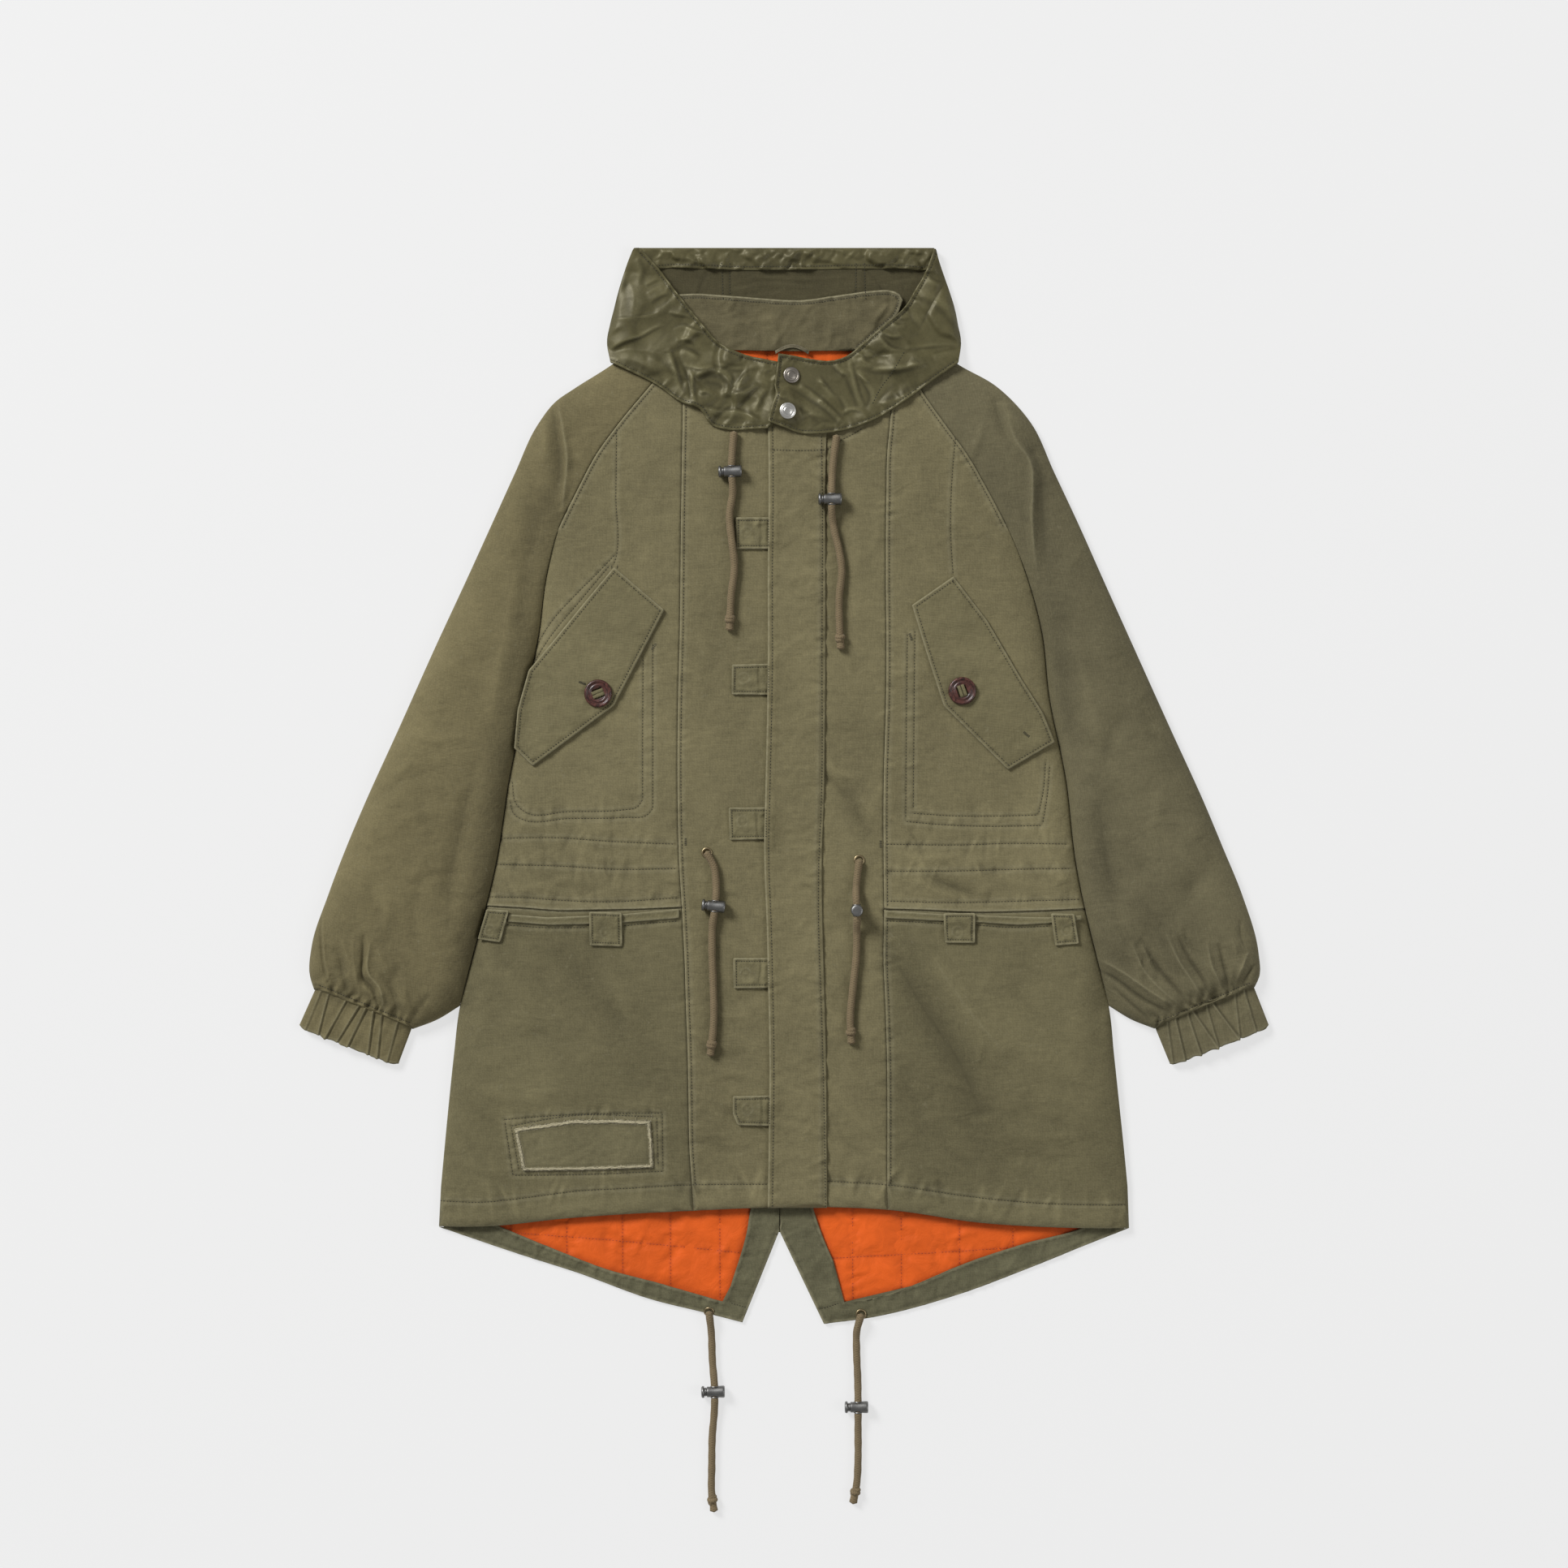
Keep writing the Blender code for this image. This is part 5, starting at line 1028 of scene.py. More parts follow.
def metal(name, base, rough, worn, dirt=0.5):
    g = Graph(name)
    spots = g.noise(260, 5.0, 0.65, 0.6)
    fine = g.noise(1300, 2.0, 0.6)
    f = g.math("MULTIPLY", g.math("SUBTRACT", spots, 0.44, clamp=True), 2.6 * dirt, clamp=True)
    g.feed(g.shader.inputs["Base Color"], g.mix(f, base, worn))
    g.shader.inputs["Metallic"].default_value = 1.0
    g.feed(g.shader.inputs["Roughness"], g.math("ADD", g.math("MULTIPLY", spots, 0.25), rough - 0.1))
    n = g.bump(fine, 0.00003, 0.35)
    g.feed(g.shader.inputs["Normal"], g.bump(spots, 0.00010, 0.4, n))
    return g.mat


def horn(name, base):
    g = Graph(name)
    swirl = g.noise(95, 5.0, 0.6, 2.6)
    f = g.math("MULTIPLY", g.math("SUBTRACT", swirl, 0.38, clamp=True), 3.4, clamp=True)
    g.feed(g.shader.inputs["Base Color"], g.mix(f, times(base, 0.35), times(base, 1.8)))
    g.feed(g.shader.inputs["Roughness"], g.math("ADD", g.math("MULTIPLY", swirl, 0.2), 0.30))
    g.shader.inputs["Coat Weight"].default_value = 0.22
    g.shader.inputs["Coat Roughness"].default_value = 0.22
    g.feed(g.shader.inputs["Normal"], g.bump(swirl, 0.0002, 0.3))
    return g.mat


def braid(name, base):
    """Drawcord: a tubular braid whose strands cross; along and turn are its own coordinates."""
    g = Graph(name)
    along, turn = g.value("along"), g.value("turn")
    a = g.math("SINE", g.math("ADD", g.math("MULTIPLY", along, 2.6), g.math("MULTIPLY", turn, 25.133)))
    b = g.math("SINE", g.math("SUBTRACT", g.math("MULTIPLY", along, 2.6), g.math("MULTIPLY", turn, 25.133)))
    pattern = g.math("MAXIMUM", a, b)
    fibre = g.noise(800, 3.0, 0.65)
    f = g.math("ADD", g.math("MULTIPLY", pattern, 0.20), g.math("MULTIPLY", fibre, 0.75), clamp=True)
    tint = g.noise(28, 3.0, 0.6)
    low = g.mix(tint, times(base, 0.5), times(base, 0.68))
    high = g.mix(tint, times(base, 1.15), times(base, 1.5))
    g.feed(g.shader.inputs["Base Color"], g.mix(f, low, high))
    g.shader.inputs["Roughness"].default_value = 0.85
    g.shader.inputs["Sheen Weight"].default_value = 0.08
    g.shader.inputs["Specular IOR Level"].default_value = 0.2
    n = g.bump(pattern, 0.0004, 0.35)
    g.feed(g.shader.inputs["Normal"], g.bump(fibre, 0.0003, 0.5, n))
    return g.mat


BODY_BASE = (0.176, 0.153, 0.080)
SKIRT_BASE = (0.148, 0.130, 0.068)
SLEEVE_BASE = (0.158, 0.134, 0.067)
TWILL = woven("twill_body", BODY_BASE)
TWILL_SKIRT = woven("twill_skirt", SKIRT_BASE, turn=2)
TWILL_FLAP = woven("twill_flap", (0.162, 0.142, 0.074), turn=-38)
TWILL_ARM_L = woven("twill_sleeve_left", SLEEVE_BASE, turn=-22)
# The right sleeve's twill is a darker copy of the left sleeve's: painted shade for the side away from the key light.
TWILL_ARM_R_SHADED = woven("twill_sleeve_right", (0.138, 0.122, 0.068), turn=22)
TWILL_BACK = woven("twill_back", (0.15, 0.134, 0.076), turn=0)
TWILL_EDGE = woven("twill_facing", (0.130, 0.122, 0.070), turn=15, mottle=1.25)
TWILL_TAB = woven("twill_tab", (0.162, 0.143, 0.075), turn=90, wear_gain=1.15)
COLLAR_CLOTH = woven("collar_cloth", (0.118, 0.102, 0.054), turn=4, mottle=1.35, pitch=0.0008)
HOOD_INSIDE = woven("hood_inside", (0.068, 0.059, 0.029), turn=0, mottle=0.6, specks=0.15, sheen=0.1)
WAXED = coated("hood_cloth", (0.084, 0.0745, 0.034))
ORANGE = nylon("quilted_lining", (0.78, 0.122, 0.014))
THREAD = thread("thread_dark", (0.030, 0.027, 0.013))
THREAD_ORANGE = thread("thread_orange", (0.36, 0.050, 0.012))
FRAY = thread("frayed_cotton", (0.40, 0.36, 0.235), 0.9)
GUNMETAL = metal("gunmetal", (0.22, 0.22, 0.215), 0.42, (0.36, 0.355, 0.34))
BRASS = metal("aged_brass", (0.36, 0.29, 0.17), 0.38, (0.12, 0.10, 0.06))
STEEL_DARK = metal("snap_dark", (0.34, 0.31, 0.27), 0.36, (0.14, 0.12, 0.10), 0.4)
STEEL_PALE = metal("snap_pale", (0.78, 0.77, 0.73), 0.30, (0.45, 0.43, 0.38), 0.3)
HORN = horn("button_horn", (0.075, 0.024, 0.018))
CORD = braid("drawcord", (0.205, 0.155, 0.088))

# ------------------------------------------------------------ camera, light, floor
LENS, SENSOR = 85.0, 36.0
camera = bpy.data.objects.new("camera", bpy.data.cameras.new("camera"))
camera.data.lens, camera.data.sensor_width, camera.data.sensor_fit = LENS, SENSOR, "AUTO"
camera.data.clip_end = 50
middle = ((966 - U0) * GRID, (V0 - 966) * GRID)
camera.location = (middle[0], middle[1], 1932 * GRID * LENS / SENSOR + 0.012)
scene.collection.objects.link(camera)
scene.camera = camera

world = bpy.data.worlds.new("studio")
scene.world = world
world.use_nodes = True
world.node_tree.nodes["Background"].inputs["Color"].default_value = (1.0, 0.995, 0.985, 1)
world.node_tree.nodes["Background"].inputs["Strength"].default_value = 0.26


def softbox(name, where, size, watts, tint=(1, 1, 1)):
    light = bpy.data.lights.new(name, "AREA")
    light.shape, light.size, light.size_y = "RECTANGLE", size[0], size[1]
    light.energy, light.color = watts, tint
    ob = bpy.data.objects.new(name, light)
    ob.location = where
    ob.rotation_euler = (-Vector(where)).to_track_quat("-Z", "Y").to_euler()
    scene.collection.objects.link(ob)


softbox("key", (-6.6, 6.4, 6.6), (3.6, 3.6), 1250)
softbox("fill", (8.2, -1.5, 7.0), (5.0, 5.0), 230)
scene.view_settings.view_transform = "Standard"
scene.view_settings.look = "None"
scene.view_settings.exposure = 0.0
scene.view_settings.gamma = 1.0

fg = Graph("floor_paper")
speck = fg.noise(40, 4.0, 0.6)
fg.feed(fg.shader.inputs["Base Color"], fg.mix(speck, (0.209, 0.209, 0.209), (0.212, 0.212, 0.212)))
fg.shader.inputs["Roughness"].default_value = 0.95
fg.shader.inputs["Specular IOR Level"].default_value = 0.0
fg.shader.inputs["Emission Color"].default_value = (1, 1, 1, 1)
fg.shader.inputs["Emission Strength"].default_value = 0.659
floor = build("floor", np.array([(-9, -9, -0.0001), (9, -9, -0.0001), (9, 9, -0.0001), (-9, 9, -0.0001)], float), np.array([(0, 1, 2, 3)]), fg.mat)


# ---------------------------------------------------------------- marks of wear, and painted light and shade
LIGHT_AND_SHADE_TONES = (
    # path, half width, amount: lighter above 0, darker below; painted light and shade laid along the folds, troughs and
    # ridges
    (((1108, 1178), (1150, 1260), (1212, 1400)), 30, -0.42),
    (((1180, 1180), (1240, 1260), (1300, 1330)), 34, 0.18),
    (((700, 1185), (760, 1250), (800, 1320)), 34, -0.24),
    (((600, 1200), (640, 1330), (600, 1460)), 34, 0.10),
    (((1300, 1400), (1240, 1440), (1140, 1450)), 30, -0.20),
    (((1046, 972), (1052, 1000), (1068, 1026)), 13, -0.40),
    (((1150, 1082), (1200, 1100)), 12, -0.35),
    (((900, 600), (892, 800), (900, 980)), 24, -0.12),
    (((980, 700), (984, 900)), 24, 0.10),
    (((870, 1130), (880, 1400)), 16, -0.16),
    (((640, 760), (622, 900), (604, 1040), (580, 1160), (566, 1230)), 20, -0.46),
    (((668, 620), (656, 720)), 20, -0.34),
    (((686, 505), (694, 560), (684, 630)), 14, -0.30),
    (((1276, 620), (1300, 740), (1322, 900)), 24, -0.34),
    (((1336, 960), (1352, 1080), (1368, 1200)), 22, -0.40),
    (((1262, 520), (1286, 600)), 18, -0.30),
    (((1340, 700), (1400, 860), (1450, 980)), 30, -0.10),
    (((560, 780), (500, 930), (450, 1060)), 30, 0.16),
    (((470, 1150), (490, 1220)), 40, -0.30),
    (((400, 1140), (420, 1230)), 34, -0.18),
    (((1440, 1170), (1520, 1230)), 44, -0.22),
    (((1480, 1060), (1520, 1150)), 20, 0.14),
    (((1400, 1110), (1450, 1190)), 26, -0.26),
    (((720, 820), (690, 900)), 24, 0.12),
    (((1210, 800), (1240, 880)), 22, 0.08),
    (((720, 1016), (800, 1022)), 9, 0.22),
    (((640, 1052), (820, 1056)), 8, 0.16),
    (((1110, 1056), (1300, 1056)), 8, 0.16),
    (((640, 1088), (820, 1090)), 9, 0.14),
    (((545, 1498), (800, 1480), (950, 1474)), 9, 0.10),
    (((1020, 1472), (1200, 1490), (1385, 1500)), 9, 0.08),
)


def light_and_shade_tone(u, v):
    t = np.zeros(np.size(u))
    for path, half, amount in LIGHT_AND_SHADE_TONES:
        idx, d, s = near(path, u, v, half * 2.6)
        t[idx] += amount * bell(d, half)
    return t


def crease_light_and_shade(u, v, where, wear, dark, tone):
    """Painted light and shade on the creases: paler crests, partly rubbed wear and partly painted highlight, and
    painted shade in the troughs.
    """
    for w, path, half, height in CREASE_LIST:
        if w != where:
            continue
        idx, d, s = near(path, u, v, half * 1.6)
        if not len(idx):
            continue
        total = np.sum(np.linalg.norm(np.diff(path, axis=0), axis=1))
        taper = np.clip(np.sin(math.pi * np.clip(s / total, 0, 1)), 0, 1) ** 0.6
        # painted light on the crests and painted shade in the troughs; the pale line on high crests is partly rubbed
        # wear
        tone[idx] += 0.26 * np.clip(height, -1.6, 1.6) * np.exp(-((d / (half * 0.7)) ** 2)) * taper
        if height < -1.2:
            dark[idx] = np.maximum(dark[idx], 0.75 * np.exp(-((d / 1.5) ** 2)) * taper * min(1, -height / 2.2))
        if height > 1.2:
            wear[idx] = np.maximum(wear[idx], 0.34 * np.exp(-((d / 1.3) ** 2)) * taper * min(1, height / 2.0))


def pucker_light_and_shade(u, v, lines):
    """Painted light and shade on the gathers beside stitched lines: lighter on their crests, darker in their hollows.
    """
    return np.clip(0.50 * add_puckers(np.zeros(np.size(u)), u, v, [(w, p, h, r, q, False) for w, p, h, r, q, st in lines]), -0.5, 0.5)


def shell_marks(u, v):
    wear, dark = np.zeros(np.size(u)), np.zeros(np.size(u))
    for path, side in ((RAGLAN_L, -1), (RAGLAN_R, 1), (SEAM_L, -1), (SEAM_R, -1)):
        idx, d, s = near(path, u, v, 9, signed=True)
        d = d * side
        wear[idx] = np.maximum(wear[idx], 0.62 * np.exp(-(((d - 0.9) / 0.85) ** 2)) + 0.16 * np.exp(-(((d - 3) / 2.4) ** 2)))
        dark[idx] = np.maximum(dark[idx], 0.85 * np.exp(-(((d + 1.0) / 0.9) ** 2)))
    for where, path, high, reach, pitch, stitched in SHELL_LINES:
        idx, d, s = near(path, u, v, 8)
        dark[idx] = np.maximum(dark[idx], 0.50 * np.exp(-((d / 1.1) ** 2)))
        wear[idx] = np.maximum(wear[idx], 0.24 * np.exp(-(((d - 3.0) / 1.8) ** 2)))
    for path in (WAIST_L, WAIST_R):
        idx, d, s = near(path, u, v, 9, signed=True)
        wear[idx] = np.maximum(wear[idx], 0.75 * np.exp(-(((np.abs(d) - 1.2) / 1.6) ** 2)))
    hem = curve(HEM, 8.0)
    idx, d, s = near(hem, u, v, 6)
    wear[idx] = np.maximum(wear[idx], 0.34 * np.exp(-((d / 2.2) ** 2)))
    tone = light_and_shade_tone(u, v) + pucker_light_and_shade(u, v, SHELL_LINES)
    crease_light_and_shade(u, v, "shell", wear, dark, tone)
    return dict(wear=wear, dark=dark, tone=tone)


def arm_marks(u, v):
    wear, dark = np.zeros(np.size(u)), np.zeros(np.size(u))
    for path in (RAGLAN_L, RAGLAN_R):
        idx, d, s = near(path, u, v, 6)
        dark[idx] = np.maximum(dark[idx], 0.5 * np.exp(-((d / 1.6) ** 2)))
    for where, path, high, reach, pitch, stitched in ARM_LINES:
        idx, d, s = near(path, u, v, 10)
        dark[idx] = np.maximum(dark[idx], 0.55 * np.exp(-((d / 2.6) ** 2)))
    tone = light_and_shade_tone(u, v) + pucker_light_and_shade(u, v, ARM_LINES)
    crease_light_and_shade(u, v, "arms", wear, dark, tone)
    for k, (a, b) in enumerate(CUFF_SEAMS):
        t, q = seam_place(u, v, a, b)
        here = ((t > -0.02) & (t < 1.02) & (q > -8) & (q < 50)) * np.exp(-np.abs(q) / 11.0)
        gather = ruffle(t, q, 2 + k)
        # painted light and shade on the gathers at the cuff seam: lighter crests, painted shade in the deeper hollows;
        # the dark line is the stitched seam
        tone += 0.55 * here * gather
        dark = np.maximum(dark, here * (0.8 * np.exp(-(((q - 3.2) / 1.2) ** 2)) + 0.55 * np.clip(-gather - 0.5, 0, 1)))
    return dict(wear=wear, dark=dark, tone=tone)


def edge_marks(loop, wear_amount=0.8, width=1.5, dark_ring=None):
    closed = np.concatenate([loop, loop[:1]])

    def marks(u, v):
        d = near(closed, u, v)[1]
        wear = 0.85 * wear_amount * np.exp(-(((d - 0.7) / (width * 0.75)) ** 2))
        dark = np.zeros_like(wear)
        if dark_ring is not None:
            dark = 0.5 * np.exp(-(((d - dark_ring) / 1.2) ** 2))
        return dict(wear=wear, dark=dark, tone=light_and_shade_tone(u, v))

    return marks


# ---------------------------------------------------------- layers on the ground
def inset_along(loop, paths, by, reach=4.0):
    loop = ccw(loop)
    amount = np.zeros(len(loop))
    for p in paths:
        amount = np.maximum(amount, by * (1 - ease(reach * 0.5, reach * 1.5, near(p, loop[:, 0], loop[:, 1])[1])))
    return inward(loop, amount)


tail_left_edge, tail_right_edge = curve(TAIL_L, 5.0), curve(TAIL_R, 5.0)
back_loop = chain(SIDE_L, tail_left_edge, [TIP_L, NOTCH, TIP_R], tail_right_edge, SIDE_R[::-1], step=5.0)
back_loop = inset_along(back_loop, (FREE_L, FREE_R), 5.5)
back_loop = inset_along(back_loop, (tail_left_edge, tail_right_edge, (TIP_L, NOTCH), (NOTCH, TIP_R)), 1.2)


BACK_LINES = (
    ("back", smooth((966, 446), (966, 900), (965, 1470)), 0.35, 9, 9, True),
    ("back", smooth((612, 1066), (800, 1072), (1130, 1072), (1322, 1066)), 0.5, 14, 9, True),
    ("back", smooth((604, 1104), (800, 1110), (1130, 1110), (1330, 1104)), 0.5, 14, 9, True),
    ("back", smooth((700, 566), (840, 572), (966, 570), (1090, 572), (1232, 566)), 0.3, 9, 9, True),
)


def back_under(u, v):
    z = 0.42 + 0.16 * grain(u / 80, v / 90, 3) + 0.08 * grain(u / 22, v / 26, 4)
    idx_add = add_puckers(np.zeros(len(z)), u, v, BACK_LINES)
    return np.clip(z - 0.35 * idx_add, 0.03, 0.85)


cloth("cloth_back", back_loop, lambda u, v: 1.55 + 0 * u, 1.3, TWILL_BACK, step=15, low_step=8.0, bands=(1.2,), under=back_under,
      node="back", rests=["ground"], chart=True, tree=True)

QUILT_U = (491, 560, 629, 698, 767, 826, 887, 949, 1000, 1051, 1111, 1183, 1249, 1318, 1387)
QUILT = [((q - 4, 430), (q, 1620)) for q in QUILT_U]
QUILT += [((560, 1515 - 66 * k), (760, 1530 - 66 * k), (915, 1545 - 66 * k)) for k in range(-1, 17)]
QUILT += [((1000, 1553 - 66 * k), (1180, 1543 - 66 * k), (1390, 1528 - 66 * k)) for k in range(-1, 17)]
QUILT = [curve(q, 12.0) for q in QUILT]


def lining_loop():
    left = np.array([(u + 17, v) for u, v in SIDE_L if v > 462])
    right = np.array([(u - 17, v) for u, v in SIDE_R if v > 462])
    # 4 units under the facing's inner edge
    in_l = np.array(((572, 1463), (583, 1497), (606, 1511), (612, 1515), (690, 1548), (744, 1568), (807, 1585), (893, 1609), (904, 1587), (924, 1520), (929, 1489), (934, 1472)), float)
    in_r = np.array(((994, 1472), (998, 1490), (1012.5, 1532), (1023, 1556), (1036.5, 1610), (1123, 1590.5), (1197, 1559.5), (1266, 1537), (1335, 1518), (1362, 1502), (1371, 1463)), float)
    return chain(left[:-1], in_l, in_r, right[::-1][1:], [(1096, 440), (1084, 427), (850, 427), (838, 440)], step=5.0)


def lining_top(u, v):
    shape = np.shape(u)
    d = np.full(np.size(u), 99.0)
    for q in QUILT:
        idx, dd, s = near(q, u, v, 30)
        d[idx] = np.minimum(d[idx], dd)
    z = 2.75 + 1.25 * (1 - np.exp(-((d / 9.0) ** 1.3)))
    add = np.zeros(np.size(u))
    show = ease(1480, 1500, v) + (1 - ease(446, 470, v))
    lines = [("q", q, 0.55, 12, 11, False) for q in QUILT]
    add = add_puckers(add, u, v, lines)
    add += 0.34 * fans(u, v, 26, 3, 70, 1.5, 10) + 0.16 * fans(u, v, 11, 6, 20, 1.2, 4)
    rim = near(RIM_LINING, u, v)[1]
    z = z + add * show
    return np.clip(z * (0.72 + 0.28 * ease(0, 14, rim)), 2.2, 4.9).reshape(shape)


LINING_LOOP = lining_loop()
RIM_LINING = np.concatenate([LINING_LOOP, LINING_LOOP[:1]])[::3]


def lining_marks(u, v):
    d = np.full(np.size(u), 99.0)
    for q in QUILT:
        idx, dd, s = near(q, u, v, 8)
        d[idx] = np.minimum(d[idx], dd)
    rim = near(RIM_LINING, u, v)[1]
    # darker along the quilting lines, with painted shade along the rim where the lining runs under the pieces above it,
    # and along the hem
    dark = 0.55 * np.exp(-((d / 1.5) ** 2)) + 0.5 * np.exp(-(((rim - 4) / 5.0) ** 2))
    hem_shade = np.exp(-(np.abs(v - np.interp(u, HEM[:, 0], HEM[:, 1])) / 9.0) ** 2) * 0.5
    return dict(dark=np.minimum(dark + hem_shade, 1), tone=0.25 * grain(u / 40, v / 40, 6))


cloth("cloth_back_lining", LINING_LOOP, lining_top, 0.7, ORANGE, step=3.4, low_step=26, dense=lambda u, v: (v > 1472) | ((v < 462) & (np.abs(u - 975) < 130)), bands=(1.5,), marks=lining_marks,
      node="back_lining", rests=["cloth_back"], rim_thick=0.6)

FACE_L = chain(curve(FACING_IN_L[:6], 5.0), curve(FACING_IN_L[6:], 5.0), [(960.1, 1472), (960.2, 1519)], [(959.6, 1519.4), (914.6, 1631)], tail_left_edge[::-1], [(546, 1513)], step=2.6)
FACE_R = chain(curve(FACING_IN_R[:4], 5.0), [FACING_IN_R[4]], curve(FACING_IN_R[5:], 5.0), [(1386, 1515)], tail_right_edge[::-1], [(1015.2, 1632.6), (961.0, 1519.4)], [(960.5, 1472)], step=2.6)
IN_L = chain(curve(FACING_IN_L[:6], 5.0), curve(FACING_IN_L[6:], 5.0))
IN_R = chain(curve(FACING_IN_R[:5], 5.0), curve(FACING_IN_R[4:], 5.0))
OUT_L = chain(tail_left_edge, [TIP_L, NOTCH])
OUT_R = chain([NOTCH], tail_right_edge)
TIP_SEAMS = (smooth((900, 1607), (920, 1612.5)), smooth((1008, 1614.5), (1022, 1611), (1036, 1606)))
FACE_LINES = [("face", IN_L, 0.75, 12, 9, False), ("face", IN_R, 0.75, 12, 9, False), ("face", OUT_L, 0.55, 11, 9, False), ("face", OUT_R, 0.55, 11, 9, False)]


def face_top(u, v):
    d_in = np.minimum(near(IN_L, u, v)[1], near(IN_R, u, v)[1])
    d_out = np.minimum(near(OUT_L, u, v)[1], near(OUT_R, u, v)[1])
    z = 3.4 + 1.5 * np.exp(-((d_in / 6.0) ** 2)) + 0.6 * (1 - np.exp(-d_out / 5.0))
    z -= 0.8 * np.exp(-((d_out / 1.4) ** 2)) + 0.5 * np.exp(-((d_in / 0.9) ** 2))
    z -= 0.35 * np.exp(-(((d_in - 4.0) / 1.3) ** 2)) + 0.28 * np.exp(-(((d_out - 4.5) / 1.3) ** 2))
    for p in TIP_SEAMS:
        z -= 0.5 * bell(near(p, u, v)[1], 1.4)
    add = add_puckers(np.zeros(np.size(u)), u, v, FACE_LINES)
    add += 0.45 * fans(u, v, 24, 2, 30, 1.3, 9) + 0.22 * fans(u, v, 11, 5, 60, 1.0, 5)
    return np.clip(z + add * (1 - 0.4 * np.exp(-d_in / 4)), 3.0, 6.4)


def face_marks(u, v):
    d_in = np.minimum(near(IN_L, u, v)[1], near(IN_R, u, v)[1])
    d_out = np.minimum(near(OUT_L, u, v)[1], near(OUT_R, u, v)[1])
    wear = 0.75 * np.exp(-(((d_out - 0.8) / 1.5) ** 2)) + 0.35 * np.exp(-(((d_in - 1.4) / 1.5) ** 2))
    dark = 0.5 * np.exp(-(((d_in - 4.0) / 1.5) ** 2)) + 0.45 * np.exp(-(((d_out - 4.5) / 1.4) ** 2)) + 0.7 * np.exp(-((d_in / 0.8) ** 2))
    # painted shade along the hem, where the front lies over the facing
    dark = dark + 0.5 * np.exp(-(np.abs(v - np.interp(u, HEM[:, 0], HEM[:, 1])) / 8.0) ** 2)
    return dict(wear=wear, dark=np.minimum(dark, 1), tone=0.3 * grain(u / 30, v / 26, 4))


for side, loop in (("left", FACE_L), ("right", FACE_R)):
    cloth(f"cloth_tail_facing_{side}", loop, face_top, 1.0, TWILL_EDGE, step=2.4, low_step=12, bands=(0.8, 1.8), marks=face_marks, rim_thick=2.6,
          under=lambda u, v: 1.9 + 0 * u, node=f"tail_facing_{side}", rests=["cloth_back", "cloth_back_lining"])

# hood: its back, its inside and the strip turned in along the rim
hood_left = curve([(l, v) for v, l, r in HOOD_OUTLINE], 4.0)
hood_right = curve([(r, v) for v, l, r in HOOD_OUTLINE], 4.0)
hood_top = np.array(((781, 304), (1153, 304)), float)
hb_loop = chain(hood_left[:-6], [(750, 432), (769, 434.7), (826, 445.2), (1114, 445.2), (1165, 435.8), (1182.5, 432)], hood_right[::-1][6:], step=4.0)
hb_loop = inset_along(hb_loop, (hood_left, hood_right), 5.5)
hb_loop = inset_along(hb_loop, (hood_top,), 4.5)
cloth("cloth_hood_back", hb_loop, lambda u, v: 1.55 + 0 * u, 1.3, WAXED, step=9, low_step=4.5, bands=(1.2,),
      under=lambda u, v: np.clip(0.5 + 0.35 * fans(u, v, 34, 1, 20, 1.3, 12), 0.03, 0.95), node="hood_back", rests=["ground"])

INSIDE_SEAMS = (smooth((889, 322), (890, 345), (891, 372)), smooth((899, 322), (899, 345), (899, 372)), smooth((1055, 322), (1055, 345), (1054, 372)), smooth((1065.5, 322), (1066, 345), (1067, 372)))
INSIDE_CREASES = (((884, 318), (872, 332), (862, 352), (858, 372)), ((1068, 332), (1082, 346), (1090, 364)), ((905, 352), (950, 345), (1000, 350)), ((920, 362), (960, 356)), ((800, 338), (830, 350)), ((1100, 344), (1140, 338)), ((930, 336), (990, 339), (1040, 336)))
hl_loop = chain([(968, 328), (790, 325)], [(l + 7, v) for v, l, r in HOOD_OUTLINE if 330 < v < 425], [(762, 425), (1171, 425)], [(r - 7, v) for v, l, r in HOOD_OUTLINE[::-1] if 330 < v < 425], [(1147, 327)], step=4.0)


def inside_top(u, v):
    z = 2.7 + 0.3 * grain(u / 40, v / 22, 5) + 0.25 * fans(u, v, 60, 6, 10, 0.6, 20)
    for a in INSIDE_SEAMS:
        z -= 0.3 * bell(near(a, u, v)[1], 1.3)
    for c in (((894, 320), (895, 375)), ((1060, 320), (1060, 375))):
        z += 0.45 * bell(near(c, u, v)[1], 4.0)
    for c in INSIDE_CREASES:
        z -= 0.55 * bell(near(curve(c, 5.0), u, v)[1], 2.0)
        z += 0.35 * bell(near(offset(curve(c, 5.0), 4), u, v)[1], 2.6)
    return np.clip(z, 2.3, 3.9)


def inside_marks(u, v):
    dark = np.zeros(np.size(u))
    # darker along the seams; painted shade in the first two creases and along the top edge, under the strip
    for a in (*INSIDE_SEAMS, *INSIDE_CREASES[:2]):
        dark = np.maximum(dark, 0.5 * bell(near(a, u, v)[1], 1.4))
    dark = np.maximum(dark, 0.5 * np.exp(-np.abs(v - 328) / 5.0))
    return dict(dark=dark, tone=0.2 * grain(u / 50, v / 30, 3))


cloth("cloth_hood_lining", hl_loop, inside_top, 0.7, HOOD_INSIDE, step=2.4, low_step=16, bands=(1.0,), marks=inside_marks, rim_thick=0.7,
      node="hood_lining", rests=["cloth_hood_back"])

STRIP_LOW = smooth((785, 321), (792, 327.5), (830, 328.5), (880, 330.5), (930, 331.5), (968, 331.5), (1010, 330.5), (1060, 329.5), (1110, 330), (1146, 328.5), (1152, 320))
strip_loop = chain([(782.5, 305.5), (783.5, 304)], [(783.5, 304), (1151, 304)], [(1153, 306)], STRIP_LOW[::-1], step=2.6)


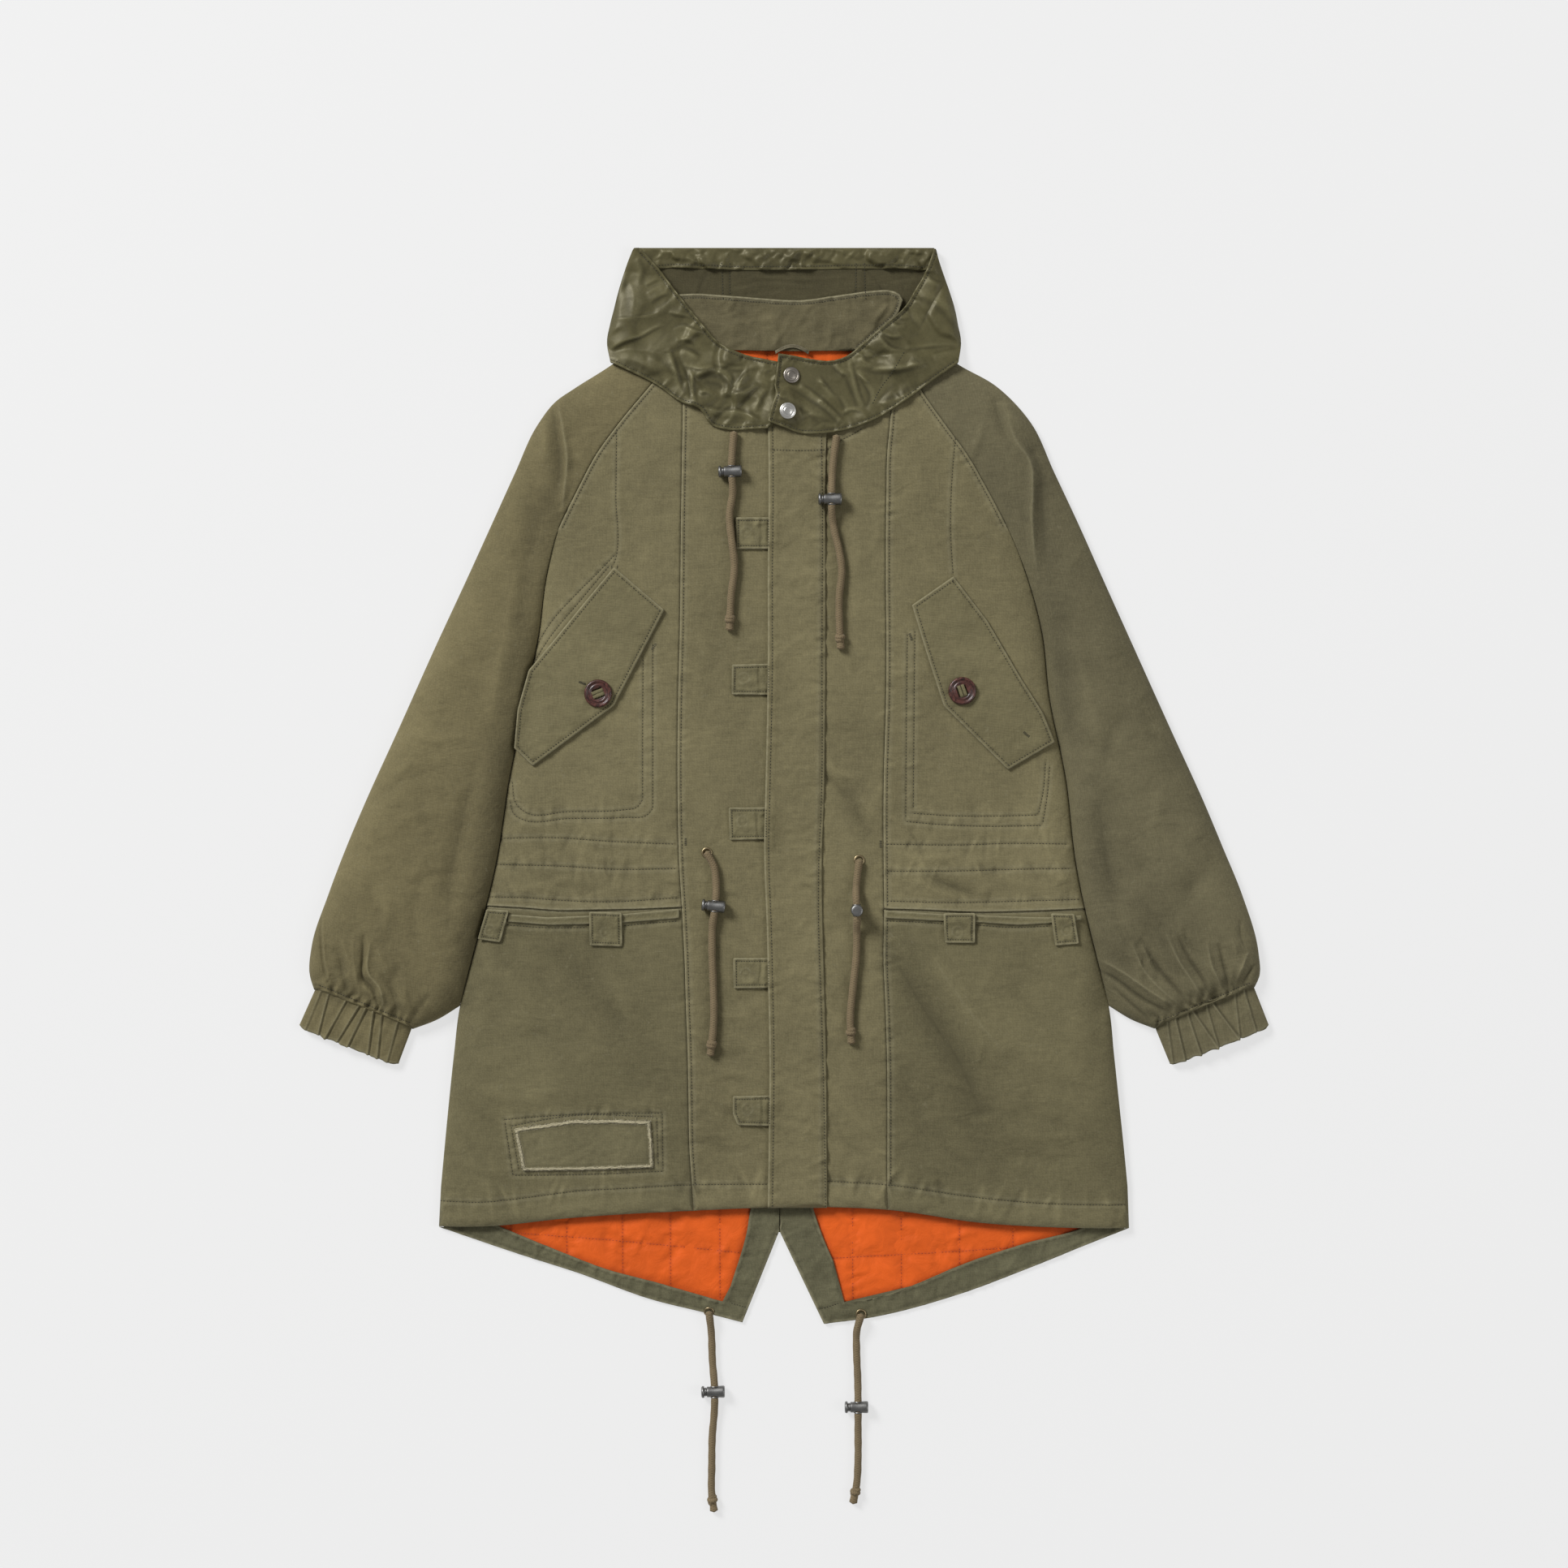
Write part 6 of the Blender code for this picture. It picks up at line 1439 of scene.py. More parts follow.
def strip_top(u, v):
    top = v - 304
    z = 3.0 + 2.6 * rise(top / 9.0)
    crush = 4.6 * facets(u, v, 20, 4, 25, 2.2, 9.0) + 1.8 * facets(u, v, 9, 5, 140, 2.0, 9.0)
    crush = crush * ease(0, 6, top) * (0.5 + 0.5 * ease(770, 840, u)) * (1 - ease(1138, 1152, u))
    z += crush
    d = near(STRIP_LOW, u, v)[1]
    z -= 0.7 * bell(d, 1.2) + 0.5 * bell(d - 4.2, 1.3)
    return np.clip(z, 3.6, 9.0)


def strip_marks(u, v):
    d = near(STRIP_LOW, u, v)[1]
    return dict(wear=0.12 * bell(d - 1, 1.2), dark=0.55 * bell(d - 4.2, 1.5), tone=0.3 * grain(u / 20, v / 16, 2))


cloth("cloth_hood_facing", strip_loop, strip_top, 1.0, WAXED, step=1.9, low_step=10, bands=(0.6, 1.4), folds=(hood_top,), marks=strip_marks, rim_thick=2.2,
      under=lambda u, v: 2.2 + 0 * u, node="hood_facing", rests=["cloth_hood_back", "cloth_hood_lining"])

for side, rows, arm, below in (("left", SIDE_L, ARM_L, UNDER_L), ("right", SIDE_R, ARM_R, UNDER_R)):
    body_side = rows_curve(1 if side == "left" else 4, 0, FREE + 1)
    loop = chain(body_side, below, arm[::-1], step=5.0)
    loop = inset_along(loop, (arm, below), 5.5)
    cloth(f"cloth_sleeve_under_{side}", loop, lambda u, v: 1.5 + 0 * u, 1.2, TWILL_ARM_L if side == "left" else TWILL_ARM_R_SHADED, step=14, low_step=7.5, bands=(1.2,),
          under=lambda u, v: np.clip(0.42 + 0.18 * grain(u / 70, v / 90, 3) + 0.16 * fans(u, v, 60, 2, 30, 1.5, 20), 0.03, 0.9),
          node=f"sleeve_under_{side}", rests=["ground"])

# ----------------------------------------------------------------------- collar
COLLAR_TOP = smooth((828, 362), (860, 361), (905, 364), (945, 367), (981, 369), (1039, 362), (1076, 357.5), (1098, 357), (1108, 361), (1113, 369))
COLLAR_SIDE = smooth((1113, 369), (1106, 388), (1090, 403), (1071, 420), (1057, 432))
collar_loop = chain(COLLAR_TOP, COLLAR_SIDE, [(1033, 431.5), (981, 432), (932, 431.5), (884, 430), (848, 427), (838, 395)], step=2.6)
COLLAR_EDGE = chain(COLLAR_TOP, COLLAR_SIDE)


def collar_top(u, v):
    d = near(COLLAR_EDGE, u, v)[1]
    z = 7.2 + 1.0 * np.exp(-(((d - 2.0) / 2.0) ** 2)) - 0.9 * bell(d, 0.8) - 0.5 * bell(d - 5.2, 1.2) + 0.35 * bell(d - 7.6, 1.6)
    add = add_puckers(np.zeros(np.size(u)), u, v, [("c", COLLAR_EDGE, 0.4, 12, 9, False)])
    add += 0.6 * grain(u / 34, v / 20, 2) + 0.55 * fans(u, v, 36, 5, 100, 0.8, 14) + 0.36 * fans(u, v, 15, 1, 70, 1.2, 6)
    for c, h in ((((950, 392), (958, 410), (955, 428)), 0.6), (((905, 384), (930, 400), (940, 420)), -0.5), (((1092, 378), (1080, 392), (1074, 408)), 0.6), (((1098, 370), (1092, 388), (1080, 404)), -0.6), (((1010, 380), (1024, 396), (1022, 420)), 0.4)):
        add += 1.9 * h * bell(near(curve(c, 5.0), u, v)[1], 3.4)
    return np.clip(z + add, 6.2, 9.6)


def collar_marks(u, v):
    d = near(COLLAR_EDGE, u, v)[1]
    return dict(wear=0.95 * bell(d - 1.4, 1.2) + 0.45 * bell(d - 4.2, 0.9), dark=0.85 * bell(d - 5.4, 1.2) + 0.6 * bell(d - 2.9, 0.7) + 0.4 * bell(d - 0.0, 0.7), tone=0.35 * grain(u / 30, v / 24, 7) - 0.25 * bell(v - 440, 14))


cloth("cloth_collar", collar_loop, collar_top, 1.4, COLLAR_CLOTH, step=2.2, low_step=14, bands=(0.7, 1.6, 2.8), marks=collar_marks, rim_thick=1.8,
      node="collar", rests=["cloth_hood_lining", "cloth_back_lining"])

# ----------------------------------------------------------------------- fronts
CENTRE_U = 983.0


def column(path, v0, v1):
    """The part of a side or seam between two heights."""
    vs = np.arange(v0, v1 + 0.01, 5.0)
    vs = np.append(vs[vs < v1 - 2], v1)
    return np.stack([np.interp(vs, path[:, 1], path[:, 0]), vs], 1)


def drawn(loop, by=0.12):
    return inward(ccw(loop), by)


hem_curve = curve(HEM, 5.0)


def hem_part(u0, u1):
    us = np.linspace(u0, u1, max(2, int(abs(u1 - u0) / 4)))
    return np.stack([us, np.interp(us, hem_curve[:, 0], hem_curve[:, 1])], 1)


def shell_top(u, v):
    z = skin(u, v, "shell")
    # the hem's tube and its rolled edge
    h = np.interp(u, hem_curve[:, 0], hem_curve[:, 1]) - v
    z = z + 1.3 * bell(h - 10, 9.0) - 1.1 * bell(h, 1.6)
    # the casing's folded edge, and the cloth that goes in under it
    for path, lo, hi in ((WAIST_L, 590, 841), (WAIST_R, 1088, 1345)):
        idx, d, s = near(path, u, v, 12, signed=True)
        z[idx] += np.where(d < 0, 1.25 * np.exp(-((d / 4.2) ** 2)) - 0.5 * np.exp(-((d / 0.9) ** 2)), -1.3 * np.exp(-((d / 3.4) ** 2)))
    return z


SHELL_FOLDS = (FREE_L, FREE_R)
SHELL_ROWS = [(l[1], (0, 1.3, -1.3, 3.2, -3.2), 2.2) for l in SHELL_LINES]
SHELL_ROWS += [(p, (0, 1.0, -1.0, 2.4, -2.4, 4.4, -4.4), 2.4) for p in (RAGLAN_L, RAGLAN_R)]
SHELL_ROWS += [(c[1], (0, 1.6, -1.6), 2.4) for c in CREASE_LIST if c[0] == "shell" and abs(c[3]) > 0.75 and c[2] < 8]
ARM_ROWS = [(c[1], (0, 1.2, -1.2, 3.0, -3.0), 2.4) for c in CREASE_LIST if c[0] == "arms" and abs(c[3]) > 0.9 and c[2] < 8]
ARM_ROWS += [(smooth((388.0, 1216.5), (508.0, 1265.5)), (-2.0, -4.0, -6.0, -8.5, -11.0), 2.0), (smooth((1423.0, 1264.0), (1544.5, 1212.6)), (-2.0, -4.0, -6.0, -8.5, -11.0), 2.0)]
W_L = chain(WAIST_L)
loops = {}
loops["front_side_left"] = chain(column(SIDE_L, 446, 1116), WAIST_L, column(SEAM_L, 446, 1117.5)[::-1], step=3.0)
loops["front_side_right"] = chain(column(SEAM_R, 446, 1119.5), WAIST_R, column(SIDE_R, 446, 1119.5)[::-1], step=3.0)
loops["front_skirt_left"] = chain(WAIST_L[::-1], column(SIDE_L, 1116, 1463), FREE_L[-1:], hem_part(540, 854.5), column(SEAM_L, 1117.5, 1463)[::-1], step=3.0)
loops["front_skirt_right"] = chain(column(SEAM_R, 1119.5, 1463), hem_part(1094, 1392), FREE_R[-1:], column(SIDE_R, 1119.5, 1463)[::-1], WAIST_R[::-1], step=3.0)
loops["front_centre_left"] = chain(column(SEAM_L, 446, 1463), hem_part(854.5, CENTRE_U), [(CENTRE_U, 1480), (CENTRE_U, 446)], step=3.0)
loops["front_centre_right"] = chain([(CENTRE_U, 446), (CENTRE_U, 1480)], hem_part(CENTRE_U, 1094), column(SEAM_R, 446, 1463)[::-1], step=3.0)
for key, loop in loops.items():
    loop = drawn(loop)
    cloth("cloth_" + key, loop, shell_top, 1.3, TWILL if "skirt" not in key else TWILL_SKIRT, step=STEP, low_step=20, bands=(0.6, 1.5, 2.9), folds=SHELL_FOLDS, marks=shell_marks,
          rows=SHELL_ROWS, rim_thick=1.5, under=lambda u, v: np.maximum(cloth_top(u, v) - 5.0, 1.9), node=key, rests=["cloth_back_lining", "cloth_back"])

arms = {
    "left": (rows_curve(1, 0, FREE + 1), UNDER_L, ARM_L, (ARM_L, UNDER_L), TWILL_ARM_L),
    "right": (rows_curve(4, 0, FREE + 1), UNDER_R, ARM_R, (ARM_R, UNDER_R), TWILL_ARM_R_SHADED),
}


CUFF_SEAMS = (((389.2, 1215.5), (507.6, 1264.6)), ((1544.5, 1212.6), (1423.0, 1264.0)))


def seam_place(u, v, a, b):
    """How far along a cuff's seam a point lies (0 to 1), and how far up the sleeve from it."""
    a, b = np.array(a, float), np.array(b, float)
    along = (b - a) / np.linalg.norm(b - a)
    up = np.array((along[1], -along[0]))
    up = -up if up[1] > 0 else up
    du, dv = u - a[0], v - a[1]
    return (du * along[0] + dv * along[1]) / np.linalg.norm(b - a), du * up[0] + dv * up[1]


def ruffle(t, q, seed):
    """Small uneven gathers that run up the sleeve from the seam, from about -1 to 1."""
    x = t * 15 + 0.35 * grain(q / 14, t * 4, seed) * 2 + seed * 7.3
    return np.clip(2.3 * grain(x, 0.03 * q + seed, seed) + 0.8 * grain(x * 2.1, 0.05 * q + 3, seed + 1), -1.3, 1.3)


def arm_top(u, v):
    z = skin(u, v, "arms")
    for k, (a, b) in enumerate(CUFF_SEAMS):
        t, q = seam_place(u, v, a, b)
        near_by = (q < 60) & (q > -12) & (t > -0.25) & (t < 1.25)
        if not near_by.any():
            continue
        side = ease(-0.08, 0.08, t) * (1 - ease(0.92, 1.08, t))
        low = 14.2 - 3.2 * (1 - side)
        sink = near_by * (1 - ease(0, 26, q)) * side
        z = np.where(near_by, z * (1 - sink) + np.minimum(z, low) * sink, z)
        z = z + near_by * side * (2.3 * ruffle(t, q, 2 + k) * np.exp(-np.maximum(q, 0) / 12.0) - 0.9 * np.exp(-(((q - 3.4) / 1.3) ** 2)))
    return z


for side, (body_side, below, arm, folds, stuff) in arms.items():
    loop = chain(body_side, below, arm[::-1], step=3.0)
    cloth(f"cloth_sleeve_upper_{side}", drawn(loop), arm_top, 1.3, stuff, step=STEP, low_step=20, bands=(0.6, 1.5, 2.9), folds=folds, marks=arm_marks,
          rows=ARM_ROWS, rim_thick=1.5, under=lambda u, v: np.maximum(cloth_top(u, v) - 6.5, 1.9), node=f"sleeve_upper_{side}", rests=[f"cloth_sleeve_under_{side}"])

# --------------------------------------------------------- what lies on the fronts
TOP_ROWS = []  # stitch rows on the pieces above the fronts


def laid_top(loop, thick, soft=2, bead=0.35, groove=None, crumple=0.25, wave=26, seed=1, lift=None, waves=0.0, bulge=0.0):
    closed = np.concatenate([loop, loop[:1]])

    def top(u, v):
        base = chart_read(u, v, 2, soft)
        d = near(closed, u, v)[1]
        z = base + 0.4 + thick + bulge * rise(d / 16.0)
        z += bead * np.exp(-(((d - 1.3) / 1.2) ** 2)) - 0.35 * np.exp(-((d / 0.6) ** 2))
        if groove:
            z -= 0.42 * np.exp(-(((d - groove) / 1.25) ** 2))
            z += 0.18 * np.exp(-(((d - groove - 3.2) / 1.8) ** 2))
            z = add_puckers(z, u, v, [("x", inward(ccw(loop), groove), 0.3, 7, 8, False)])
        z += crumple * grain(u / wave, v / wave, seed % 8) + 0.4 * crumple * fans(u, v, wave * 0.7, seed % 8, 40 * seed, 1.2, wave * 0.3)
        if waves:
            z += waves * (1 - ease(0, 16, d)) * np.sin(v / 9.0 + 3 * grain(u / 50, v / 60, 2))
        if lift is not None:
            z = z + lift(u, v)
        return z

    return top


def inner_row(loop, by, pitch=4.0):
    p = inward(ccw(np.asarray(loop, float)), by)
    return np.concatenate([p, p[:1]])


def quad_loop(corners, step=2.0, cut=1.2):
    """A corner-cut outline through a tab's corners."""
    c = np.array(corners, float)
    pts = []
    for i in range(len(c)):
        a, b, d = c[i - 1], c[i], c[(i + 1) % len(c)]
        pts.append(b + (a - b) / np.linalg.norm(a - b) * cut)
        pts.append(b + (d - b) / np.linalg.norm(d - b) * cut)
    return chain(pts, step=step)


def tab_lift(name):
    ru, rv = RINGS[name]

    def lift(u, v):
        d = np.hypot(u - ru, v - rv)
        uneven = 0.55 + 0.6 * grain(u / 7, v / 7, 3)
        z = (0.42 * np.exp(-(((d - 6.2) / 1.4) ** 2)) - 0.20 * np.exp(-(((d - 4.0) / 1.4) ** 2))) * uneven + 0.25 * np.exp(-((d / 1.6) ** 2))
        across = u + 2.4 * grain(u / 14, v / 20, 6) if "placket" in name else u + 2.0 * grain(u / 14, v / 20, 2)
        ribs = 0.34 * np.exp(-(((across - ru - 15) / 1.8) ** 2)) - 0.42 * np.exp(-(((across - ru - 18.5) / 1.3) ** 2)) + 0.30 * np.exp(-(((across - ru - 23) / 2.0) ** 2))
        return z + 1.5 * ribs + 0.30 * fans(u, v, 13, int(ru) % 7, 80, 1.8, 6)

    return lift


def tab_marks(name, loop):
    base = edge_marks(loop, 0.9, 1.3, 4.0)
    ru, rv = RINGS[name]

    def marks(u, v):
        got = base(u, v)
        d = np.hypot(u - ru, v - rv)
        uneven = np.clip(0.6 + 0.9 * grain(u / 6, v / 6, 5), 0, 1)
        got["dark"] = np.maximum(got["dark"], 0.30 * np.exp(-(((d - 4.6) / 1.2) ** 2)) * uneven)
        got["wear"] = np.maximum(got["wear"], 0.34 * np.exp(-(((d - 6.6) / 1.2) ** 2)) * uneven)
        got["wear"] = np.maximum(got["wear"], 0.30 * np.exp(-((d / 1.4) ** 2)))
        got["tone"] = got["tone"] + 0.40 * grain(u / 9, v / 12, 4) + 0.02
        return got

    return marks


def tab(name):
    loop = quad_loop(QUADS[name])
    cloth(f"cloth_{name}", loop, laid_top(loop, 2.0, bead=0.45, groove=4.0, crumple=0.14, wave=18, seed=len(name) + int(name[-1]), lift=tab_lift(name)), 1.7, TWILL_TAB,
          step=1.6, low_step=9, bands=(0.6, 1.4), marks=tab_marks(name, ccw(loop)), rim_thick=2.0, node=name, rests=["cloth_front_centre_left"])
    TOP_ROWS.append((inner_row(loop, 4.0), 3.2, "details"))


for k in range(1, 6):
    tab(f"placket_tab_{k}")

pl = curve([(l, v) for v, l, r in PLACKET_EDGE], 3.0)
pr = curve([(r, v) for v, l, r in PLACKET_EDGE], 3.0)
placket_loop = chain(pl, pr[::-1], step=3.0)
PL_CLOSED = np.concatenate([placket_loop, placket_loop[:1]])


def placket_top(u, v):
    base = chart_read(u, v, 3, 4)
    dl, dr = near(pl, u, v)[1], near(pr, u, v)[1]
    z = base + 2.6 - 1.0 * np.exp(-((dr / 5.0) ** 2)) + 1.0 * rise(np.minimum(dl, dr) / 12.0)
    z += 0.5 * np.exp(-(((dl - 2.0) / 1.6) ** 2)) - 0.5 * np.exp(-(((dl - 5.6) / 1.3) ** 2)) + 0.3 * np.exp(-(((dl - 9.5) / 2.4) ** 2))
    z -= 0.30 * np.exp(-(((dr - 5.4) / 1.4) ** 2))
    lines = [("p", PLACKET_STITCH, 0.55, 13, 11, False), ("p", offset(pl, -5.0), 0.4, 10, 10, False), ("p", smooth((952, 555), (985, 556), (1021, 555)), 0.4, 9, 9, False)]
    z = add_puckers(z, u, v, lines)
    z += 0.55 * np.sin(v / 19.0 + 4 * grain(u / 90, v / 130, 4)) * (0.3 + 0.7 * bell(dl, 30)) * 0.7
    z += 0.34 * fans(u, v, 30, 2, 78, 1.5, 14) + 0.18 * fans(u, v, 14, 4, 20, 1.0, 6)
    for c, h, w in (
        (((949, 1040), (968, 1062), (1000, 1074)), 0.7, 6), (((1010, 1010), (990, 1024), (956, 1030)), -0.6, 5), (((950, 708), (975, 716), (1010, 706)), 0.5, 7),
        (((955, 1336), (985, 1350), (1012, 1342)), 0.5, 6), (((952, 1432), (984, 1424), (1014, 1436)), 0.6, 6), (((958, 1376), (990, 1384), (1014, 1392)), -0.9, 5),
        (((952, 885), (980, 900), (1011, 893)), 0.5, 7), (((955, 588), (975, 600), (1009, 590)), 0.4, 7), (((958, 1210), (976, 1240), (1004, 1254)), 0.5, 7),
    ):
        z += h * bell(near(curve(c, 5.0), u, v)[1], w)
    return z


def placket_marks(u, v):
    dl, dr = near(pl, u, v)[1], near(pr, u, v)[1]
    wear = 0.80 * np.exp(-(((dl - 0.9) / 1.0) ** 2)) + 0.35 * np.exp(-(((dr - 1.0) / 1.2) ** 2)) + 0.25 * np.exp(-(((dr - 8) / 2.2) ** 2))
    dark = 0.55 * np.exp(-(((dl - 5.6) / 1.3) ** 2)) + 0.6 * np.exp(-(((dr - 5.4) / 1.4) ** 2))
    dark += 0.5 * np.exp(-((near(smooth((952, 555), (985, 556), (1021, 555)), u, v)[1] / 1.4) ** 2))
    return dict(wear=np.minimum(wear, 1), dark=np.minimum(dark, 1), tone=light_and_shade_tone(u, v))


cloth("cloth_placket", placket_loop, placket_top, 2.4, TWILL, step=2.7, low_step=14, bands=(0.6, 1.4, 2.6), marks=placket_marks, rim_thick=2.2,
      node="placket", rests=["cloth_front_centre_left", "cloth_front_centre_right"])
TOP_ROWS += [(offset(pl, -5.6), 3.8, "placket"), (PLACKET_STITCH, 3.8, "placket"), (smooth((952, 555), (985, 556), (1018, 555)), 3.8, "placket")]

for side, outline, bu, bv in (("left", FLAP_L, 737.6, 854.7), ("right", FLAP_R, 1185, 851.7)):
    loop = chain(list(outline) + [outline[0]], step=2.6)[:-1]

    def dimple(u, v, bu=bu, bv=bv):
        d = np.hypot(u - bu, v - bv)
        a = np.arctan2(v - bv, u - bu)
        return -0.6 * np.exp(-((d / 13) ** 2)) + 0.4 * np.sin(a * 7 + bu) * np.exp(-(((d - 24) / 9.0) ** 2)) + 0.5 * np.exp(-(((d - 40) / 18) ** 2))

    cloth(f"cloth_pocket_flap_{side}", loop, laid_top(loop, 2.0, soft=4, bead=0.5, groove=4.4, crumple=0.55, wave=34, seed=2 if side == "left" else 5, lift=dimple, bulge=1.5), 2.0, TWILL_FLAP,
          step=2.6, low_step=14, bands=(0.6, 1.4, 2.6), marks=edge_marks(ccw(loop), 0.95, 1.5, 4.4), rim_thick=2.4, node=f"pocket_flap_{side}", rests=["cloth_front_side_" + side])
    TOP_ROWS.append((inner_row(loop, 4.4), 3.8, "flaps"))

for side, outline in (("left", WELT_L), ("right", WELT_R)):
    loop = chain(list(outline) + [outline[0]], step=2.2)[:-1]
    cloth(f"cloth_welt_{side}", loop, laid_top(loop, 1.3, soft=2, bead=0.5, crumple=0.3, wave=14, seed=3, waves=0.2), 1.3, TWILL_TAB,
          step=2.0, low_step=8, bands=(0.6, 1.6), marks=edge_marks(ccw(loop), 0.8, 1.4), rim_thick=1.5, node=f"welt_{side}", rests=["cloth_front_skirt_" + side])

for k in range(1, 5):
    tab(f"waist_tab_{k}")


def frayed(outline, step, rough, seed):
    """An outline that wanders a little, as a raw edge does."""
    p = chain(list(outline) + [outline[0]], step=step)[:-1]
    rng = np.random.RandomState(seed)
    return inward(ccw(p), rough * rng.rand(len(p)))


patch_loop = frayed(PATCH, 1.5, 0.9, 4)
patch_ring = chain(list(PATCH) + [PATCH[0]], step=3.0)[:-1]
cloth("cloth_patch", patch_loop, laid_top(patch_ring, 1.1, soft=2, bead=0.25, crumple=0.5, wave=16, seed=6, bulge=0.5), 1.1, woven("twill_patch", (0.160, 0.142, 0.076), turn=3, wear_gain=1.3),
      step=2.0, low_step=9, bands=(0.7, 1.6), marks=edge_marks(ccw(patch_ring), 1.0, 3.0, 6.0), rim_thick=1.1, node="patch", rests=["cloth_front_skirt_left"])

# -------------------------------------------------------------------------- cuffs
def cuff(side, seam_a, seam_b, end_a, end_b, seed):
    around, along, wall = ((360, 26, 1.3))
    half = around // 2
    seam_a, seam_b, end_a, end_b = (np.array(p, float) for p in (seam_a, seam_b, end_a, end_b))
    s = np.array([(i if i < half else around - i) / half for i in range(around)])
    upper = np.arange(around) < half
    rng = np.random.RandomState(seed)
    pleats = np.array((0.06, 0.16, 0.30, 0.42, 0.50, 0.64, 0.75, 0.88)) + rng.uniform(-0.012, 0.012, 8)
    wide = rng.uniform(0.026, 0.044, 8)
    tall = rng.uniform(0.9, 1.7, 8)
    lean = rng.uniform(-0.12, 0.12, 8)
    verts, wear, dark, tone = [], [], [], []
    for inner in (0, 1):
        for k in range(along):
            t = k / (along - 1)
            a, b = seam_a * (1 - t) + end_a * t, seam_b * (1 - t) + end_b * t
            width = np.linalg.norm(b - a) * PX
            high = 10.6 + (1.6 * (1 - t) ** 3) + 0.6 * math.sin(t * 3.1)
            edge = np.where((s > 0) & (s < 1), np.sin(np.pi * np.clip(s, 0, 1)) ** 0.36, 0)
            ridge, shade_line, crest_line = np.zeros(around), np.zeros(around), np.zeros(around)
            for c, w, h, q in zip(pleats, wide, tall, lean):
                d = np.abs(s - (c + q * (t - 0.5)))
                side_d = s - (c + q * (t - 0.5))
                ridge += 1.25 * h * np.exp(-((d / (w * 0.62)) ** 1.1)) * (1 + 0.5 * math.sin(t * 5 + c * 30)) - 0.9 * h * np.exp(-(((side_d - 0.019) / 0.010) ** 2))
                shade_line = np.maximum(shade_line, np.exp(-(((side_d - 0.019) / 0.008) ** 2)) * min(1.0, h / 1.1))
                crest_line = np.maximum(crest_line, np.exp(-((side_d / 0.008) ** 2)) * min(1.0, h / 1.3))
            ridge += 0.30 * np.sin(s * 70 + 5 * t + seed) * (1 - 0.5 * t) + 0.25 * np.sin(s * 31 + seed * 2)
            fade = 0.85 + 0.35 * abs(t - 0.45)
            middle = high * 0.42
            w = wall * inner
            across = s * (width - 2 * w) + w
            up = middle + (high - w - middle) * edge + ridge * edge * fade
            low = middle - (middle - w) * edge
            z = np.where(upper, up, low)
            # the free edge wanders with the pleats
            corner = np.exp(-((np.minimum(s, 1 - s) / 0.028) ** 2))
            push = (ridge * 0.75 + 0.6 * np.sin(s * 40 + seed)) * ease(0.6, 1.0, np.array([t]))[0] * edge - 3.4 * PX * corner * ease(0.8, 1.0, np.array([t]))[0]
            dirv = (end_a - seam_a) / np.linalg.norm(end_a - seam_a)
            p = a + (b - a) * (across / width)[:, None] + dirv * (push / PX)[:, None] * 0.8
            verts.append(metres(p[:, 0], p[:, 1], np.maximum(z, 0.12)))
            # the pleats' crests paler, as painted highlight and wear, with the worn free end pale; painted shade in the
            # troughs beside the pleats, and a darker band a little below the seam
            wear.append(0.42 * crest_line + 0.55 * bell(np.array([1 - t]), 0.05)[0] * np.ones(around))
            dark.append(np.minimum(1, 0.85 * shade_line + 0.5 * bell(np.array([t - 0.10]), 0.05)[0]) * np.ones(around))
            tone.append(np.full(around, 0.05) + 0.2 * grain(p[:, 0] / 20, p[:, 1] / 20, 3))
    n = around
    i = np.arange(n)
    j = (i + 1) % n
    faces = []
    for k in range(along - 1):
        faces.append(np.stack([k * n + i, k * n + j, (k + 1) * n + j, (k + 1) * n + i], 1))
        o = along
        faces.append(np.stack([(o + k) * n + i, (o + k + 1) * n + i, (o + k + 1) * n + j, (o + k) * n + j], 1))
    faces.append(np.stack([i, along * n + i, along * n + j, j], 1))
    e = along - 1
    faces.append(np.stack([e * n + i, e * n + j, (along + e) * n + j, (along + e) * n + i], 1))
    verts = np.concatenate(verts)
    faces = np.concatenate(faces)
    name = f"cloth_cuff_{side}"
    ob = build(name, verts, faces, TWILL_ARM_L if side == "left" else TWILL_ARM_R_SHADED, dict(wear=np.concatenate(wear), dark=np.concatenate(dark), tone=np.concatenate(tone)))
    mesh = ob.data
    # keep the outside out, whichever way the corners run
    centre = verts.mean(0)
    top = [p for p in mesh.polygons if p.center.z > 0.009]
    if sum(p.normal.z for p in top) < 0:
        mesh.flip_normals()
    tri = np.concatenate([faces[: (along - 1) * 2 * n][:, [0, 1, 2]], faces[: (along - 1) * 2 * n][:, [0, 2, 3]]])
    SOFT_TREES.append((name, verts, tri))
    PIECES[name] = dict(ob=ob, rests=["ground"], flat=(2 * float(np.linalg.norm(seam_b - seam_a)) * GRID, float(np.linalg.norm(end_a - seam_a)) * GRID), area=None)
    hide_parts(f"cuff_{side}")
    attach(ob, "root")


cuff("left", (389.2, 1215.5), (507.6, 1264.6), (366.6, 1266), (489, 1314), 3)
cuff("right", (1423.0, 1264.0), (1544.5, 1212.6), (1443.5, 1314), (1565.5, 1266), 8)

